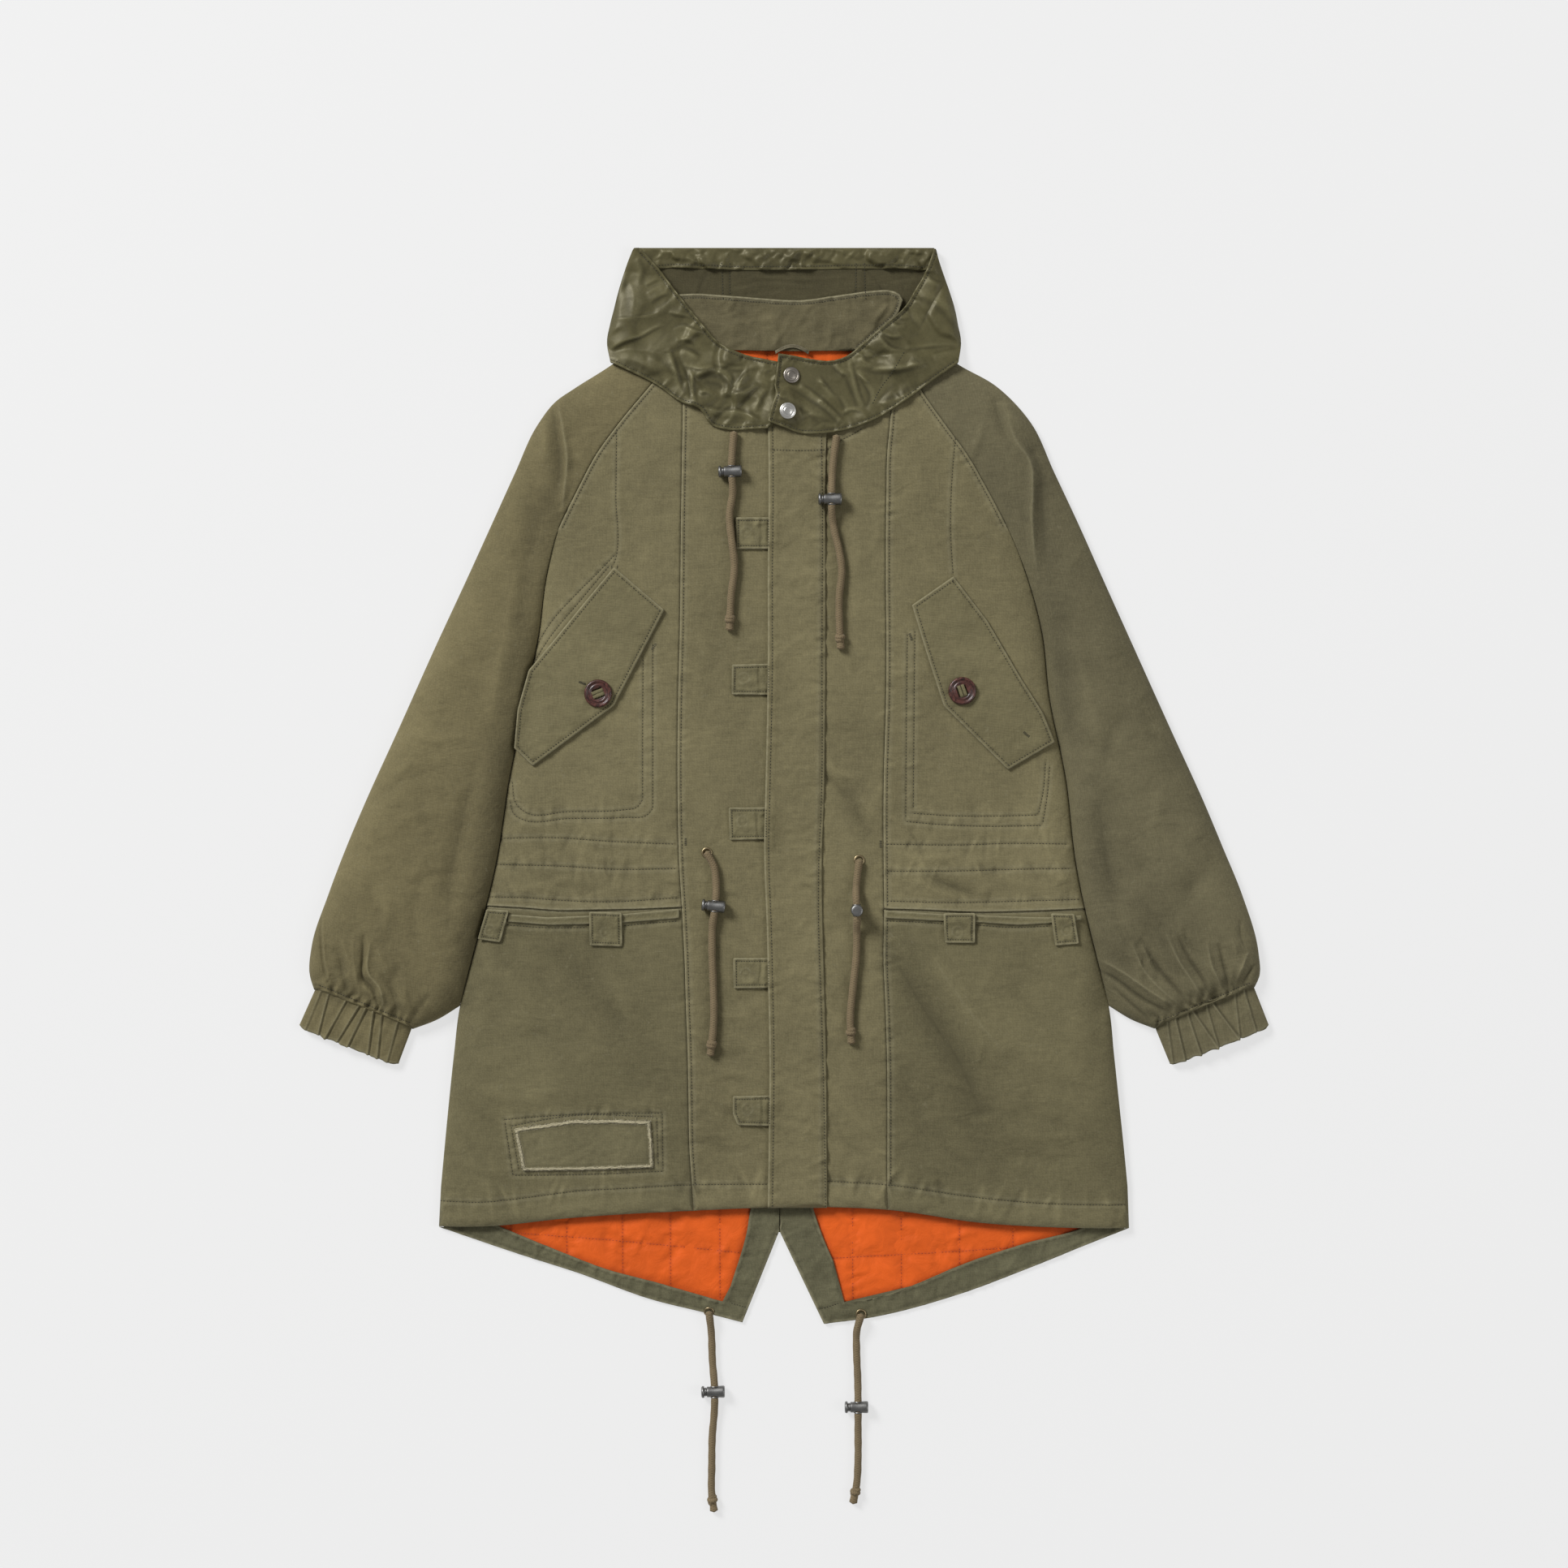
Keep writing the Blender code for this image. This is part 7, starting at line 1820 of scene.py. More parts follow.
# ------------------------------------------------------------------ hood's sides
CHART_FRONT = CHART.copy()
RIM_L = smooth((790, 307), (808, 326), (835, 361), (867, 401), (886, 422), (915, 436), (958, 446))
LOW_L = smooth((753, 447), (780, 460), (806, 473), (848, 500), (859, 502.5), (877, 525), (897, 530.5), (922, 530.5), (946, 529))
RIM_R = smooth((1150, 309), (1141, 333), (1128, 356), (1114, 379), (1097, 394), (1080, 408), (1055, 430), (1039, 441), (1020, 445), (1001, 443), (975, 438), (959, 436))
LAP_R = smooth((959, 437), (955, 469), (954, 473), (956, 481), (951, 501), (946, 521))
LOW_R = smooth((946, 521), (965, 528), (985, 535), (1017, 535), (1064, 524), (1100, 505), (1138, 478), (1159, 463), (1180, 448))
side_l_loop = chain(hood_left[::-1][:-1], [(781.4, 305.2), (787, 305.2)], RIM_L, [(966, 462), (966, 502), (964, 516)], [(946, 529)], LOW_L[::-1], step=2.4)
side_r_loop = chain(hood_right[::-1][:-1], [(1153.0, 306.2), (1150.8, 306.4)], RIM_R, LAP_R, LOW_R, step=2.4)
RIMS = dict(left=(RIM_L, LOW_L), right=(RIM_R, LOW_R, LAP_R))
HOOD_CREASES = {
    # where, height, half width
    "left": (
        (((751, 430), (770, 421), (790, 414), (808, 404), (818, 400)), 1.3, 2.2), (((757, 393), (786, 391), (812, 385), (824, 378)), 1.2, 2.4),
        (((772, 340), (780, 360), (779, 392)), 1.1, 6.0), (((784, 318), (790, 335), (786, 350)), 0.9, 4.0), (((795, 351), (804, 346), (812, 343)), 0.9, 2.4),
        (((797, 362), (806, 355), (817, 351)), 0.9, 2.4), (((801, 373), (812, 365), (824, 360)), 1.0, 2.6), (((808, 383), (818, 378), (830, 368)), 0.9, 2.6),
        (((824, 385), (838, 388), (852, 390)), 1.1, 2.4), (((830, 406), (842, 402), (856, 408), (870, 412)), 1.4, 2.8), (((834, 420), (846, 418), (858, 424)), 1.0, 2.8),
        (((838, 432), (850, 434), (862, 442)), 1.8, 3.8), (((842, 450), (862, 455), (880, 453)), 1.2, 2.8), (((824, 430), (830, 448), (836, 470), (842, 488)), 1.6, 3.6),
        (((836, 440), (846, 460), (850, 480), (852, 500)), -1.7, 3.0), (((856, 456), (853, 475), (858, 500)), 1.4, 2.8), (((857, 464), (872, 459), (890, 461), (903, 478)), 2.1, 4.8),
        (((866, 472), (884, 474), (896, 482)), -1.2, 3.6), (((862, 486), (870, 483), (878, 488)), 1.2, 2.6), (((902, 488), (918, 484), (934, 474)), 1.8, 4.2),
        (((894, 452), (904, 468), (900, 482)), -1.2, 3.2), (((905, 478), (918, 464), (926, 458)), 1.5, 3.2), (((880, 448), (900, 454), (922, 455)), 1.0, 2.8),
        (((868, 504), (888, 508), (908, 508), (936, 519)), 1.9, 4.0), (((880, 514), (890, 506), (899, 499)), 1.0, 2.4), (((910, 505), (922, 490), (938, 476)), -1.5, 3.6),
        (((930, 508), (938, 490), (944, 480)), 1.0, 3.2), (((890, 522), (915, 524), (940, 524)), 0.8, 3.0), (((765, 440), (790, 448), (815, 462)), 0.9, 5.5), (((800, 440), (815, 452), (830, 470)), 0.8, 5.5),
    ),
    "right": (
        (((972, 478), (995, 492), (1018, 508), (1036, 526)), -2.5, 3.8), (((984, 474), (1004, 488), (1026, 508), (1038, 520)), 1.8, 3.4), (((968, 490), (990, 504), (1012, 520)), 1.3, 3.8),
        (((1008, 464), (1018, 478), (1028, 490)), 1.4, 3.0), (((1024, 446), (1034, 457), (1046, 466)), 1.4, 3.0), (((998, 452), (1010, 446), (1022, 438)), 1.0, 2.8),
        (((966, 444), (976, 442), (990, 448)), 1.1, 2.6), (((1047, 446), (1053, 470), (1058, 488), (1064, 503)), 1.8, 3.2), (((1040, 462), (1050, 486), (1056, 502)), -1.5, 3.4),
        (((1070, 505), (1074, 488), (1066, 472), (1054, 456)), 1.6, 3.2), (((1036, 512), (1048, 505), (1064, 508)), 1.3, 2.6), (((1044, 506), (1040, 498), (1034, 488)), 1.0, 2.8),
        (((1056, 450), (1080, 456), (1104, 456), (1140, 448)), 1.7, 4.0), (((1082, 414), (1098, 430), (1116, 434)), 1.4, 3.0), (((1088, 410), (1100, 416), (1112, 414)), 1.1, 2.6),
        (((1098, 396), (1106, 402), (1116, 400)), 1.0, 2.6), (((1104, 384), (1112, 392), (1120, 390)), 0.9, 2.6), (((1165, 345), (1148, 376), (1131, 408)), -1.4, 2.4),
        (((1122, 378), (1128, 394), (1136, 404)), 1.0, 3.6), (((1138, 334), (1148, 346), (1160, 351)), 1.1, 3.2), (((1130, 360), (1150, 370), (1168, 384), (1180, 402)), 1.2, 6.0),
        (((1082, 500), (1108, 492), (1134, 478)), 1.6, 5.5), (((1080, 498), (1092, 484), (1104, 472)), -1.1, 3.6), (((1086, 478), (1092, 462), (1104, 452)), 0.9, 3.2),
        (((1116, 430), (1150, 426), (1176, 424)), 0.9, 2.4), (((1120, 446), (1134, 452), (1141, 448)), 1.2, 4.6), (((986, 516), (1000, 512), (1016, 516)), 1.0, 3.0),
        (((1002, 530), (1014, 522), (1028, 524)), 0.8, 2.6), (((958, 486), (964, 492), (970, 492)), 1.0, 2.2), (((1060, 436), (1066, 446), (1076, 450)), 1.0, 2.8),
        (((1068, 428), (1082, 438), (1096, 440)), -1.0, 2.8), (((1150, 440), (1166, 434), (1178, 432)), 0.8, 4.0),
    ),
}


def lay_folds(z, u, v, table, gain=1.0):
    """Folds of stiff cloth: a keen crest, steep on one side, easy on the other."""
    for k, (points, h, w) in enumerate(table):
        path = curve(points, 4.0)
        idx, d, s = near(path, u, v, 6.0 * w, signed=True)
        if not len(idx):
            continue
        total = np.sum(np.linalg.norm(np.diff(path, axis=0), axis=1))
        taper = np.clip(np.sin(math.pi * np.clip(s / total, 0, 1)), 0, 1) ** 0.5
        easy = 1.0 if k % 2 else -1.0
        q = np.where(d * easy > 0, np.abs(d) / (1.9 * w), np.abs(d) / (0.85 * w))
        z[idx] += gain * h * taper * np.exp(-(q ** 1.25))
    return z


def hood_top_of(side):
    rims = RIMS[side]

    def top(u, v):
        outline = [(l, w) for w, l, r in HOOD_OUTLINE], [(r, w) for w, l, r in HOOD_OUTLINE]
        do = np.min([near(np.array(p, float), u, v)[1] for p in outline], axis=0)
        rest = 3.9 + 8.4 * rise(do / 34.0) * ease(290, 400, v) + 1.3
        z = np.maximum(chart_read(u, v, 7, 4) + 2.8, rest)
        rim = np.min([near(p, u, v)[1] for p in rims], axis=0)
        throat = ease(60, 150, u - 740 if side == "left" else 1196 - u)
        calm = ease(0, 9, do)
        lean = 150 if side == "left" else 35
        add = 6.4 * facets(u, v, 42, 1, lean, 1.9, 9.0) * (0.6 + 0.5 * throat) + 3.0 * facets(u, v, 20, 2, lean - 45, 2.0, 9.0) * (0.20 + 0.8 * throat)
        add += 0.7 * facets(u, v, 10, 3, lean + 30, 1.8, 9.0) * (0.15 + 0.7 * throat)
        add = lay_folds(add, u, v, HOOD_CREASES[side], 1.75)
        soft_edge = ease(0, 5, rim)
        add = np.where(add < 0, 2.6 * np.tanh(add / 2.6), add)
        z = z + add * calm * (0.45 + 0.55 * soft_edge) * 0.92
        z += 0.8 * np.exp(-(((rim - 1.6) / 1.3) ** 2)) - 0.7 * np.exp(-(((rim - 4.2) / 1.1) ** 2))
        z = add_puckers(z, u, v, [("h", p, 0.55, 10, 7.5, False) for p in rims])
        if side == "right":
            d = np.hypot(u - 949, v - 463)
            z += 0.5 * np.exp(-(((d - 6.5) / 1.5) ** 2))
            for su, sv in ((975, 463), (970.5, 508)):
                d = np.hypot(u - su, v - sv)
                z = z * 1.0 - 0.9 * np.exp(-((d / 11) ** 2))
        else:
            d = np.hypot(u - 949, v - 463)
            z += 0.7 * np.exp(-(((d - 7.0) / 1.5) ** 2)) - 0.5 * np.exp(-((d / 4.0) ** 2))
        floor_z = chart_read(u, v, 1, 1) + 1.5
        return np.maximum(z, floor_z + 0.35 * np.tanh((z - floor_z) / 3.0) * (z < floor_z))

    return top


def fold_shade(u, v, table):
    """Painted light and shade on folds: a painted highlight on the easy flank of a fold, painted shade in the steep
    one, from -1 to 1.
    """
    light, deep = np.zeros(np.size(u)), np.zeros(np.size(u))
    for k, (points, h, w) in enumerate(table):
        path = curve(points, 4.0)
        idx, d, s = near(path, u, v, 5.0 * w, signed=True)
        if not len(idx):
            continue
        total = np.sum(np.linalg.norm(np.diff(path, axis=0), axis=1))
        taper = np.clip(np.sin(math.pi * np.clip(s / total, 0, 1)), 0, 1) ** 0.5
        q = d * (1.0 if k % 2 else -1.0) / w
        if h > 0:
            light[idx] = np.maximum(light[idx], min(1, h / 1.6) * taper * np.exp(-(((q - 0.55) / 0.75) ** 2)))
            deep[idx] = np.maximum(deep[idx], min(1, h / 1.6) * taper * np.exp(-(((q + 0.95) / 0.55) ** 2)))
        else:
            deep[idx] = np.maximum(deep[idx], min(1, -h / 1.5) * taper * np.exp(-((q / 0.7) ** 2)))
    return light, deep


def hood_marks_of(side):
    rims = RIMS[side]

    def marks(u, v):
        rim = np.min([near(p, u, v)[1] for p in rims], axis=0)
        wear = 0.22 * np.exp(-(((rim - 1.2) / 1.1) ** 2))
        # paler crests: painted highlight and wear
        for c, h, w in HOOD_CREASES[side]:
            if h > 0:
                d = near(curve(c, 4.0), u, v)[1]
                wear = np.maximum(wear, 0.20 * h / 1.9 * np.exp(-((d / 1.5) ** 2)))
        dark = 0.6 * np.exp(-(((rim - 4.2) / 1.3) ** 2))
        # painted highlights on the folds' easy flanks, and painted shade in their steep flanks and troughs
        light, deep = fold_shade(u, v, HOOD_CREASES[side])
        wear = np.maximum(wear, 0.42 * light)
        dark = np.maximum(dark, 0.68 * deep)
        return dict(wear=wear, dark=dark, tone=0.6 * light - 0.45 * deep + 0.4 * grain(u / 40, v / 40, 5) + 0.15 * grain(u / 12, v / 12, 2))

    return marks


for side, loop, line in (("left", side_l_loop, hood_left), ("right", side_r_loop, hood_right)):
    cloth(f"cloth_hood_side_{side}", loop, hood_top_of(side), 1.2, WAXED, step=1.9, low_step=14, bands=(0.6, 1.4, 2.4), folds=(line,), marks=hood_marks_of(side),
          rim_thick=2.2, under=lambda u, v, side=side: np.maximum(chart_read(u, v, 2, 2) + 0.5, 3.4), node=f"hood_side_{side}", rests=["cloth_hood_lining", "cloth_collar"])
TOP_ROWS += [(offset(RIM_L, 4.2), 3.6, "hood"), (offset(LOW_L, -4.2), 3.8, "hood"), (offset(RIM_R, -4.2), 3.6, "hood"), (offset(LAP_R, -4.2), 3.6, "hood"), (offset(LOW_R, -4.2), 3.8, "hood")]
TOP_ROWS += [(smooth((1114, 434), (1100, 458), (1084, 480), (1074, 500)), 3.6, "hood")]

bow_t = np.linspace(0, 1, 14)
bow_up = np.stack([955 + 42 * bow_t, 431.8 - 8.2 * np.sin(np.pi * bow_t)], 1)
bow_low = np.stack([955.6 + 40.8 * bow_t, 436.2 - 8.2 * np.sin(np.pi * bow_t)], 1)
hang_loop = chain(bow_up, bow_low[::-1], step=1.6)
CHART_HANG = CHART.copy()
cloth("cloth_hanger_loop", hang_loop, lambda u, v: chart_read(u, v, 1, 1, CHART_HANG) + 1.5 + 0.5 * np.cos((u - 976) / 13), 1.1, woven("hanger_twill", (0.082, 0.068, 0.042)), step=1.3, low_step=5, bands=(0.5, 1.2),
      marks=edge_marks(ccw(hang_loop), 0.7, 1.1), rim_thick=1.2, node="hanger_loop", rests=["cloth_collar"])

# ------------------------------------------------------------------------ stitches
all_points, all_tris, base = [], [], 0
for name, pts, tris in SOFT_TREES:
    all_points.append(pts)
    all_tris.append(tris + base)
    base += len(pts)
TREE = BVHTree.FromPolygons([tuple(p) for p in np.concatenate(all_points).tolist()], [tuple(t) for t in np.concatenate(all_tris).tolist()])
DOWN = Vector((0, 0, -1))
OWNER = np.repeat(np.arange(len(SOFT_TREES)), [len(t[2]) for t in SOFT_TREES])


def owner_at(u, v):
    """The name of the highest cloth under a point."""
    hit = TREE.ray_cast(Vector(((u - U0) * GRID, (V0 - v) * GRID, 0.12)), DOWN)
    return "" if hit[0] is None else SOFT_TREES[OWNER[hit[2]]][0]


def ground_at(u, v):
    """The highest cloth under a point: its height in metres and its normal."""
    hit = TREE.ray_cast(Vector(((u - U0) * GRID, (V0 - v) * GRID, 0.12)), DOWN)
    if hit[0] is None:
        return 0.0, Vector((0, 0, 1))
    n = hit[1] if hit[1].z > 0 else -hit[1]
    return hit[0].z, n


def stitch_rows(name, rows, material, radius=0.46, share=0.60, sides=5, only=None, never=("cloth_hood_side",)):
    """Rows of small thread stitches laid on the cloth, as one mesh."""
    verts, faces, count = [], [], 0
    profile = ((-0.5, 0.0), (-0.34, 0.85), (0.0, 1.0), (0.34, 0.85), (0.5, 0.0))
    for path, pitch in rows:
        path = np.asarray(path, float)
        run = np.concatenate([[0], np.cumsum(np.linalg.norm(np.diff(path, axis=0), axis=1))])
        n = int(run[-1] / pitch)
        for k in range(n):
            s0, s1 = (k + 0.5 - share / 2) * pitch, (k + 0.5 + share / 2) * pitch
            a = (np.interp(s0, run, path[:, 0]), np.interp(s0, run, path[:, 1]))
            b = (np.interp(s1, run, path[:, 0]), np.interp(s1, run, path[:, 1]))
            za, zb = ground_at(*a)[0], ground_at(*b)[0]
            if za == 0 or zb == 0 or abs(za - zb) > 0.0022:
                continue
            mid_uv = (a[0] + b[0]) / 2, (a[1] + b[1]) / 2
            owners = [owner_at(*q) for q in (a, mid_uv, b)]
            if only and not all(o.startswith(only) for o in owners) or any(o.startswith(never) for o in owners if never):
                continue
            m = ground_at(*mid_uv)[0]
            pa = np.array(((a[0] - U0) * GRID, (V0 - a[1]) * GRID, za - 0.00008))
            pb = np.array(((b[0] - U0) * GRID, (V0 - b[1]) * GRID, zb - 0.00008))
            mid = (pa + pb) / 2
            mid[2] = max(mid[2], m) + 0.00014
            d = pb - pa
            d /= np.linalg.norm(d)
            side = np.cross(d, (0, 0, 1))
            side /= np.linalg.norm(side)
            up = np.cross(side, d)
            centres = (pa, pa * 0.66 + mid * 0.34, mid, pb * 0.66 + mid * 0.34, pb)
            base = len(verts)
            verts.append(centres[0])
            for c, (t, r) in zip(centres[1:4], profile[1:4]):
                for i in range(sides):
                    g = 2 * math.pi * i / sides
                    verts.append(c + (side * math.cos(g) + up * math.sin(g)) * r * radius * MM)
            verts.append(centres[4])
            for i in range(sides):
                j = (i + 1) % sides
                faces.append((base, base + 1 + j, base + 1 + i))
                for ring in (0, 1):
                    o = base + 1 + ring * sides
                    faces.append((o + i, o + j, o + sides + j))
                    faces.append((o + i, o + sides + j, o + sides + i))
                o = base + 1 + 2 * sides
                faces.append((o + i, o + j, base + 1 + 3 * sides))
            count += 1
    ob = build(name, np.array(verts), np.array(faces), material)
    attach(ob, "root")
    return ob


BODY_ROWS = [(path, 3.9) for where, path, h, r, p, stitched in LINES if stitched]
half_count = len(BODY_ROWS) // 2
stitches = {}
stitches["body_a"] = stitch_rows("stitches_body_a", BODY_ROWS[:half_count], THREAD, only=("cloth_front",))
stitches["body_b"] = stitch_rows("stitches_body_b", BODY_ROWS[half_count:], THREAD, only=("cloth_front",))
for group in ("details", "placket", "flaps", "hood"):
    stitches[group] = stitch_rows(f"stitches_{group}", [(p, q) for p, q, g in TOP_ROWS if g == group], THREAD,
                                 only=("cloth_hood_side",) if group == "hood" else None, never=() if group == "hood" else ("cloth_hood_side", "cloth_collar"))
quilt_rows = []
for q in QUILT:
    keep = np.array([(p[1] > np.interp(p[0], hem_curve[:, 0], hem_curve[:, 1]) + 1.0) or (p[1] < 470 and 860 < p[0] < 1090) for p in q])
    cuts = np.flatnonzero(np.diff(keep.astype(int)))
    for part, on in zip(np.split(q, cuts + 1), np.split(keep, cuts + 1)):
        if on.all() and len(part) > 1:
            quilt_rows.append((part, 4.2))
stitches["quilting"] = stitch_rows("stitches_quilting", quilt_rows, THREAD_ORANGE, radius=0.34, only=("cloth_back_lining",))
stitches["facings"] = stitch_rows("stitches_facings", [(offset(OUT_L, 4.6), 3.8), (offset(OUT_R, 4.6), 3.8), (offset(IN_L, -4.0), 3.6), (offset(IN_R, -4.0), 3.6), (TIP_SEAMS[0], 3.4), (TIP_SEAMS[1], 3.4)], THREAD, only=("cloth_tail",))
stitches["collar"] = stitch_rows("stitches_collar", [(offset(COLLAR_EDGE, 5.2), 3.4), (offset(STRIP_LOW, -4.2), 3.6), (INSIDE_SEAMS[0], 3.6), (INSIDE_SEAMS[1], 3.6), (INSIDE_SEAMS[2], 3.6), (INSIDE_SEAMS[3], 3.6)], THREAD, only=("cloth_collar", "cloth_hood_lining", "cloth_hood_facing"))
cuff_rows = []
for a, b in CUFF_SEAMS:
    a, b = np.array(a), np.array(b)
    t = np.linspace(0.02, 0.98, 60)
    up = np.array(((b - a)[1], -(b - a)[0])) / np.linalg.norm(b - a)
    up = -up if up[1] > 0 else up
    cuff_rows.append((a + (b - a) * t[:, None] + up * (3.4 + 0.7 * grain(t * 14, t * 0 + 2.5, 3))[:, None], 3.5))
stitches["cuffs"] = stitch_rows("stitches_cuffs", cuff_rows, THREAD, only=("cloth_sleeve_upper",))
print("stitch triangles", {k: len(o.data.polygons) for k, o in stitches.items()})


# ------------------------------------------------- bartacks, frayed edge, threads
def short_tacks(u, v, angle, length, across, count):
    """A bartack: short stitches side by side across a line."""
    a = math.radians(angle)
    dx, dy = math.cos(a), math.sin(a)
    rows = []
    for k in range(count):
        t = (k / (count - 1) - 0.5) * length
        cu, cv = u + dx * t, v + dy * t
        rows.append((np.array(((cu + dy * across / 2, cv - dx * across / 2), (cu - dy * across / 2, cv + dx * across / 2))), across * 0.98))
    return rows


tacks = short_tacks(757.5, 699, 0, 7, 5.0, 6) + short_tacks(718, 842, 20, 8, 4.0, 7) + short_tacks(806, 797, -60, 8, 4.5, 6) + short_tacks(1122, 785, 70, 8, 4.5, 6)
tacks += short_tacks(1264, 905, 40, 8, 4.0, 6) + short_tacks(982, 524, 0, 8, 4, 6) + short_tacks(845, 1037, 90, 8, 4, 6) + short_tacks(1085, 1040, 90, 8, 4, 6)
stitches["tacks"] = stitch_rows("stitches_bartacks", tacks, THREAD, radius=0.36, share=1.0)


def fibres(name, loop, count, seed, reach=(1.0, 3.2), material=None):
    """Loose cotton threads that stand out of a raw edge."""
    rng = np.random.RandomState(seed)
    ring = np.concatenate([loop, loop[:1]])
    run = np.concatenate([[0], np.cumsum(np.linalg.norm(np.diff(ring, axis=0), axis=1))])
    out = loop - inward(loop, 1.0)
    verts, faces = [], []
    for k in range(count):
        s = rng.uniform(0, run[-1])
        u, v = np.interp(s, run, ring[:, 0]), np.interp(s, run, ring[:, 1])
        i = min(int(np.searchsorted(run, s)) - 1, len(loop) - 1)
        n = out[i] / max(np.linalg.norm(out[i]), 1e-6)
        t = np.array((-n[1], n[0]))
        d = n * rng.uniform(0.3, 1.0) + t * rng.uniform(-0.9, 0.9)
        d /= np.linalg.norm(d)
        long = rng.uniform(*reach)
        bend = t * rng.uniform(-0.8, 0.8)
        pts = []
        for q in np.linspace(-0.5, 1, 5):
            p = np.array((u, v)) + d * long * q + bend * long * max(q, 0) ** 2
            z = ground_at(p[0], p[1])[0] / MM
            pts.append(metres(p[0], p[1], z + 0.22 + 0.35 * max(q, 0) * rng.uniform(0.2, 1)))
        base = len(verts)
        for q, p in enumerate(pts):
            w = (0.26, 0.26, 0.24, 0.18, 0.07)[q] * MM
            for g in range(3):
                a = 2 * math.pi * g / 3
                verts.append(p + np.array((math.cos(a) * w, math.sin(a) * w, math.sin(a + 1) * w)))
        for q in range(4):
            for g in range(3):
                h = (g + 1) % 3
                o = base + 3 * q
                faces.append((o + g, o + h, o + 3 + h))
                faces.append((o + g, o + 3 + h, o + 3 + g))
        faces.append((base, base + 2, base + 1))
        o = base + 12
        faces.append((o, o + 1, o + 2))
    ob = build(name, np.array(verts), np.array(faces), material or FRAY)
    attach(ob, "root")
    return ob


def raw_edge(name, outline, seed, count=3):
    """A ragged roll of loosened yarns along a raw edge, as one mesh."""
    path = chain(list(outline) + [outline[0]], step=1.1)
    verts, faces = [], []
    for c in range(count):
        rng = np.random.RandomState(seed + c)
        run = np.arange(len(path), dtype=float)
        side = 0.9 * grain(run / 7.0, run * 0 + 3.1 * c, c) + 0.6 * grain(run / 2.6, run * 0 + 1.7, c + 2) + (c - 1) * 0.9
        ring = offset(path, 1.0) - path
        q = path + ring * side[:, None]
        z = np.array([ground_at(*p)[0] for p in q]) + (0.35 + 0.35 * grain(run / 4.0, run * 0 + 5, c + 1)) * MM
        r = (0.62 + 0.30 * grain(run / 3.2, run * 0 + 9, c + 4)) * MM
        centres = np.stack([(q[:, 0] - U0) * GRID, (V0 - q[:, 1]) * GRID, z], 1)
        n, m, o = len(centres), 5, len(verts)
        d = np.gradient(centres, axis=0)
        d /= np.linalg.norm(d, axis=1)[:, None]
        across = np.cross(d, (0, 0, 1))
        across /= np.linalg.norm(across, axis=1)[:, None]
        for i in range(n):
            for j in range(m):
                g = 2 * math.pi * j / m + 0.4 * i
                verts.append(centres[i] + (across[i] * math.cos(g) + np.array((0, 0, 1)) * math.sin(g)) * max(r[i], 0.25 * MM))
        for i in range(n - 1):
            for j in range(m):
                k = (j + 1) % m
                faces.append((o + i * m + j, o + i * m + k, o + (i + 1) * m + k))
                faces.append((o + i * m + j, o + (i + 1) * m + k, o + (i + 1) * m + j))
        for j in range(1, m - 1):
            faces.append((o, o + j + 1, o + j))
            faces.append((o + (n - 1) * m, o + (n - 1) * m + j, o + (n - 1) * m + j + 1))
    ob = build(name, np.array(verts), np.array(faces), FRAY)
    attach(ob, "root")
    return ob


patch_roll = raw_edge("patch_raw_edge", inward(ccw(patch_ring), 1.2), 21)
patch_fray = fibres("patch_fray", PIECES["cloth_patch"]["loop"], 700, 5)
lint = fibres("patch_threads", inward(PIECES["cloth_patch"]["loop"], 1.6), 900, 9, reach=(2.0, 4.6))
long_threads = fibres("patch_long_threads", PIECES["cloth_patch"]["loop"][:: 16], 26, 12, reach=(5.0, 11.0))


# ----------------------------------------------------------------- turned hardware
def lathe(profile, sides, square=()):
    """Points and faces turned about Z from (radius, height) rows in millimetres."""
    verts, faces, rings = [], [], []
    for k, (r, z) in enumerate(profile):
        if r == 0:
            rings.append([len(verts)])
            verts.append((0, 0, z))
            continue
        ring = []
        for i in range(sides):
            a = 2 * math.pi * i / sides
            share = dict(square).get(k, 0.0) if square else 0.0
            rr = r * (1 - share) + share * r / max(abs(math.cos(a)), abs(math.sin(a)))
            ring.append(len(verts))
            verts.append((rr * math.cos(a), rr * math.sin(a), z))
        rings.append(ring)
    closed = profile[0][0] != 0
    pairs = list(zip(rings, rings[1:] + rings[:1])) if closed else list(zip(rings, rings[1:]))
    for a, b in pairs:
        for i in range(sides):
            j = (i + 1) % sides
            if len(a) == 1:
                faces.append((a[0], b[i], b[j], b[j]))
            elif len(b) == 1:
                faces.append((a[i], b[0], a[j], a[j]))
            else:
                faces.append((a[i], b[i], b[j], a[j]))
    return np.array(verts, float) * MM, [f if f[2] != f[3] else f[:3] for f in faces]


def turned_piece(name, profile, sides, material, node=None, square=()):
    verts, faces = lathe(profile, sides, square)
    mesh = bpy.data.meshes.new(name)
    mesh.from_pydata([tuple(p) for p in verts], [], faces)
    mesh.update()
    mesh.validate()
    # the profile's order may run either way round
    import bmesh

    bm = bmesh.new()
    bm.from_mesh(mesh)
    bmesh.ops.recalc_face_normals(bm, faces=bm.faces)
    bm.to_mesh(mesh)
    bm.free()
    mesh.shade_smooth()
    mesh.set_sharp_from_angle(angle=math.radians(42))
    mesh.materials.append(material)
    ob = bpy.data.objects.new(name, mesh)
    scene.collection.objects.link(ob)
    if node:
        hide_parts(node)
    return ob


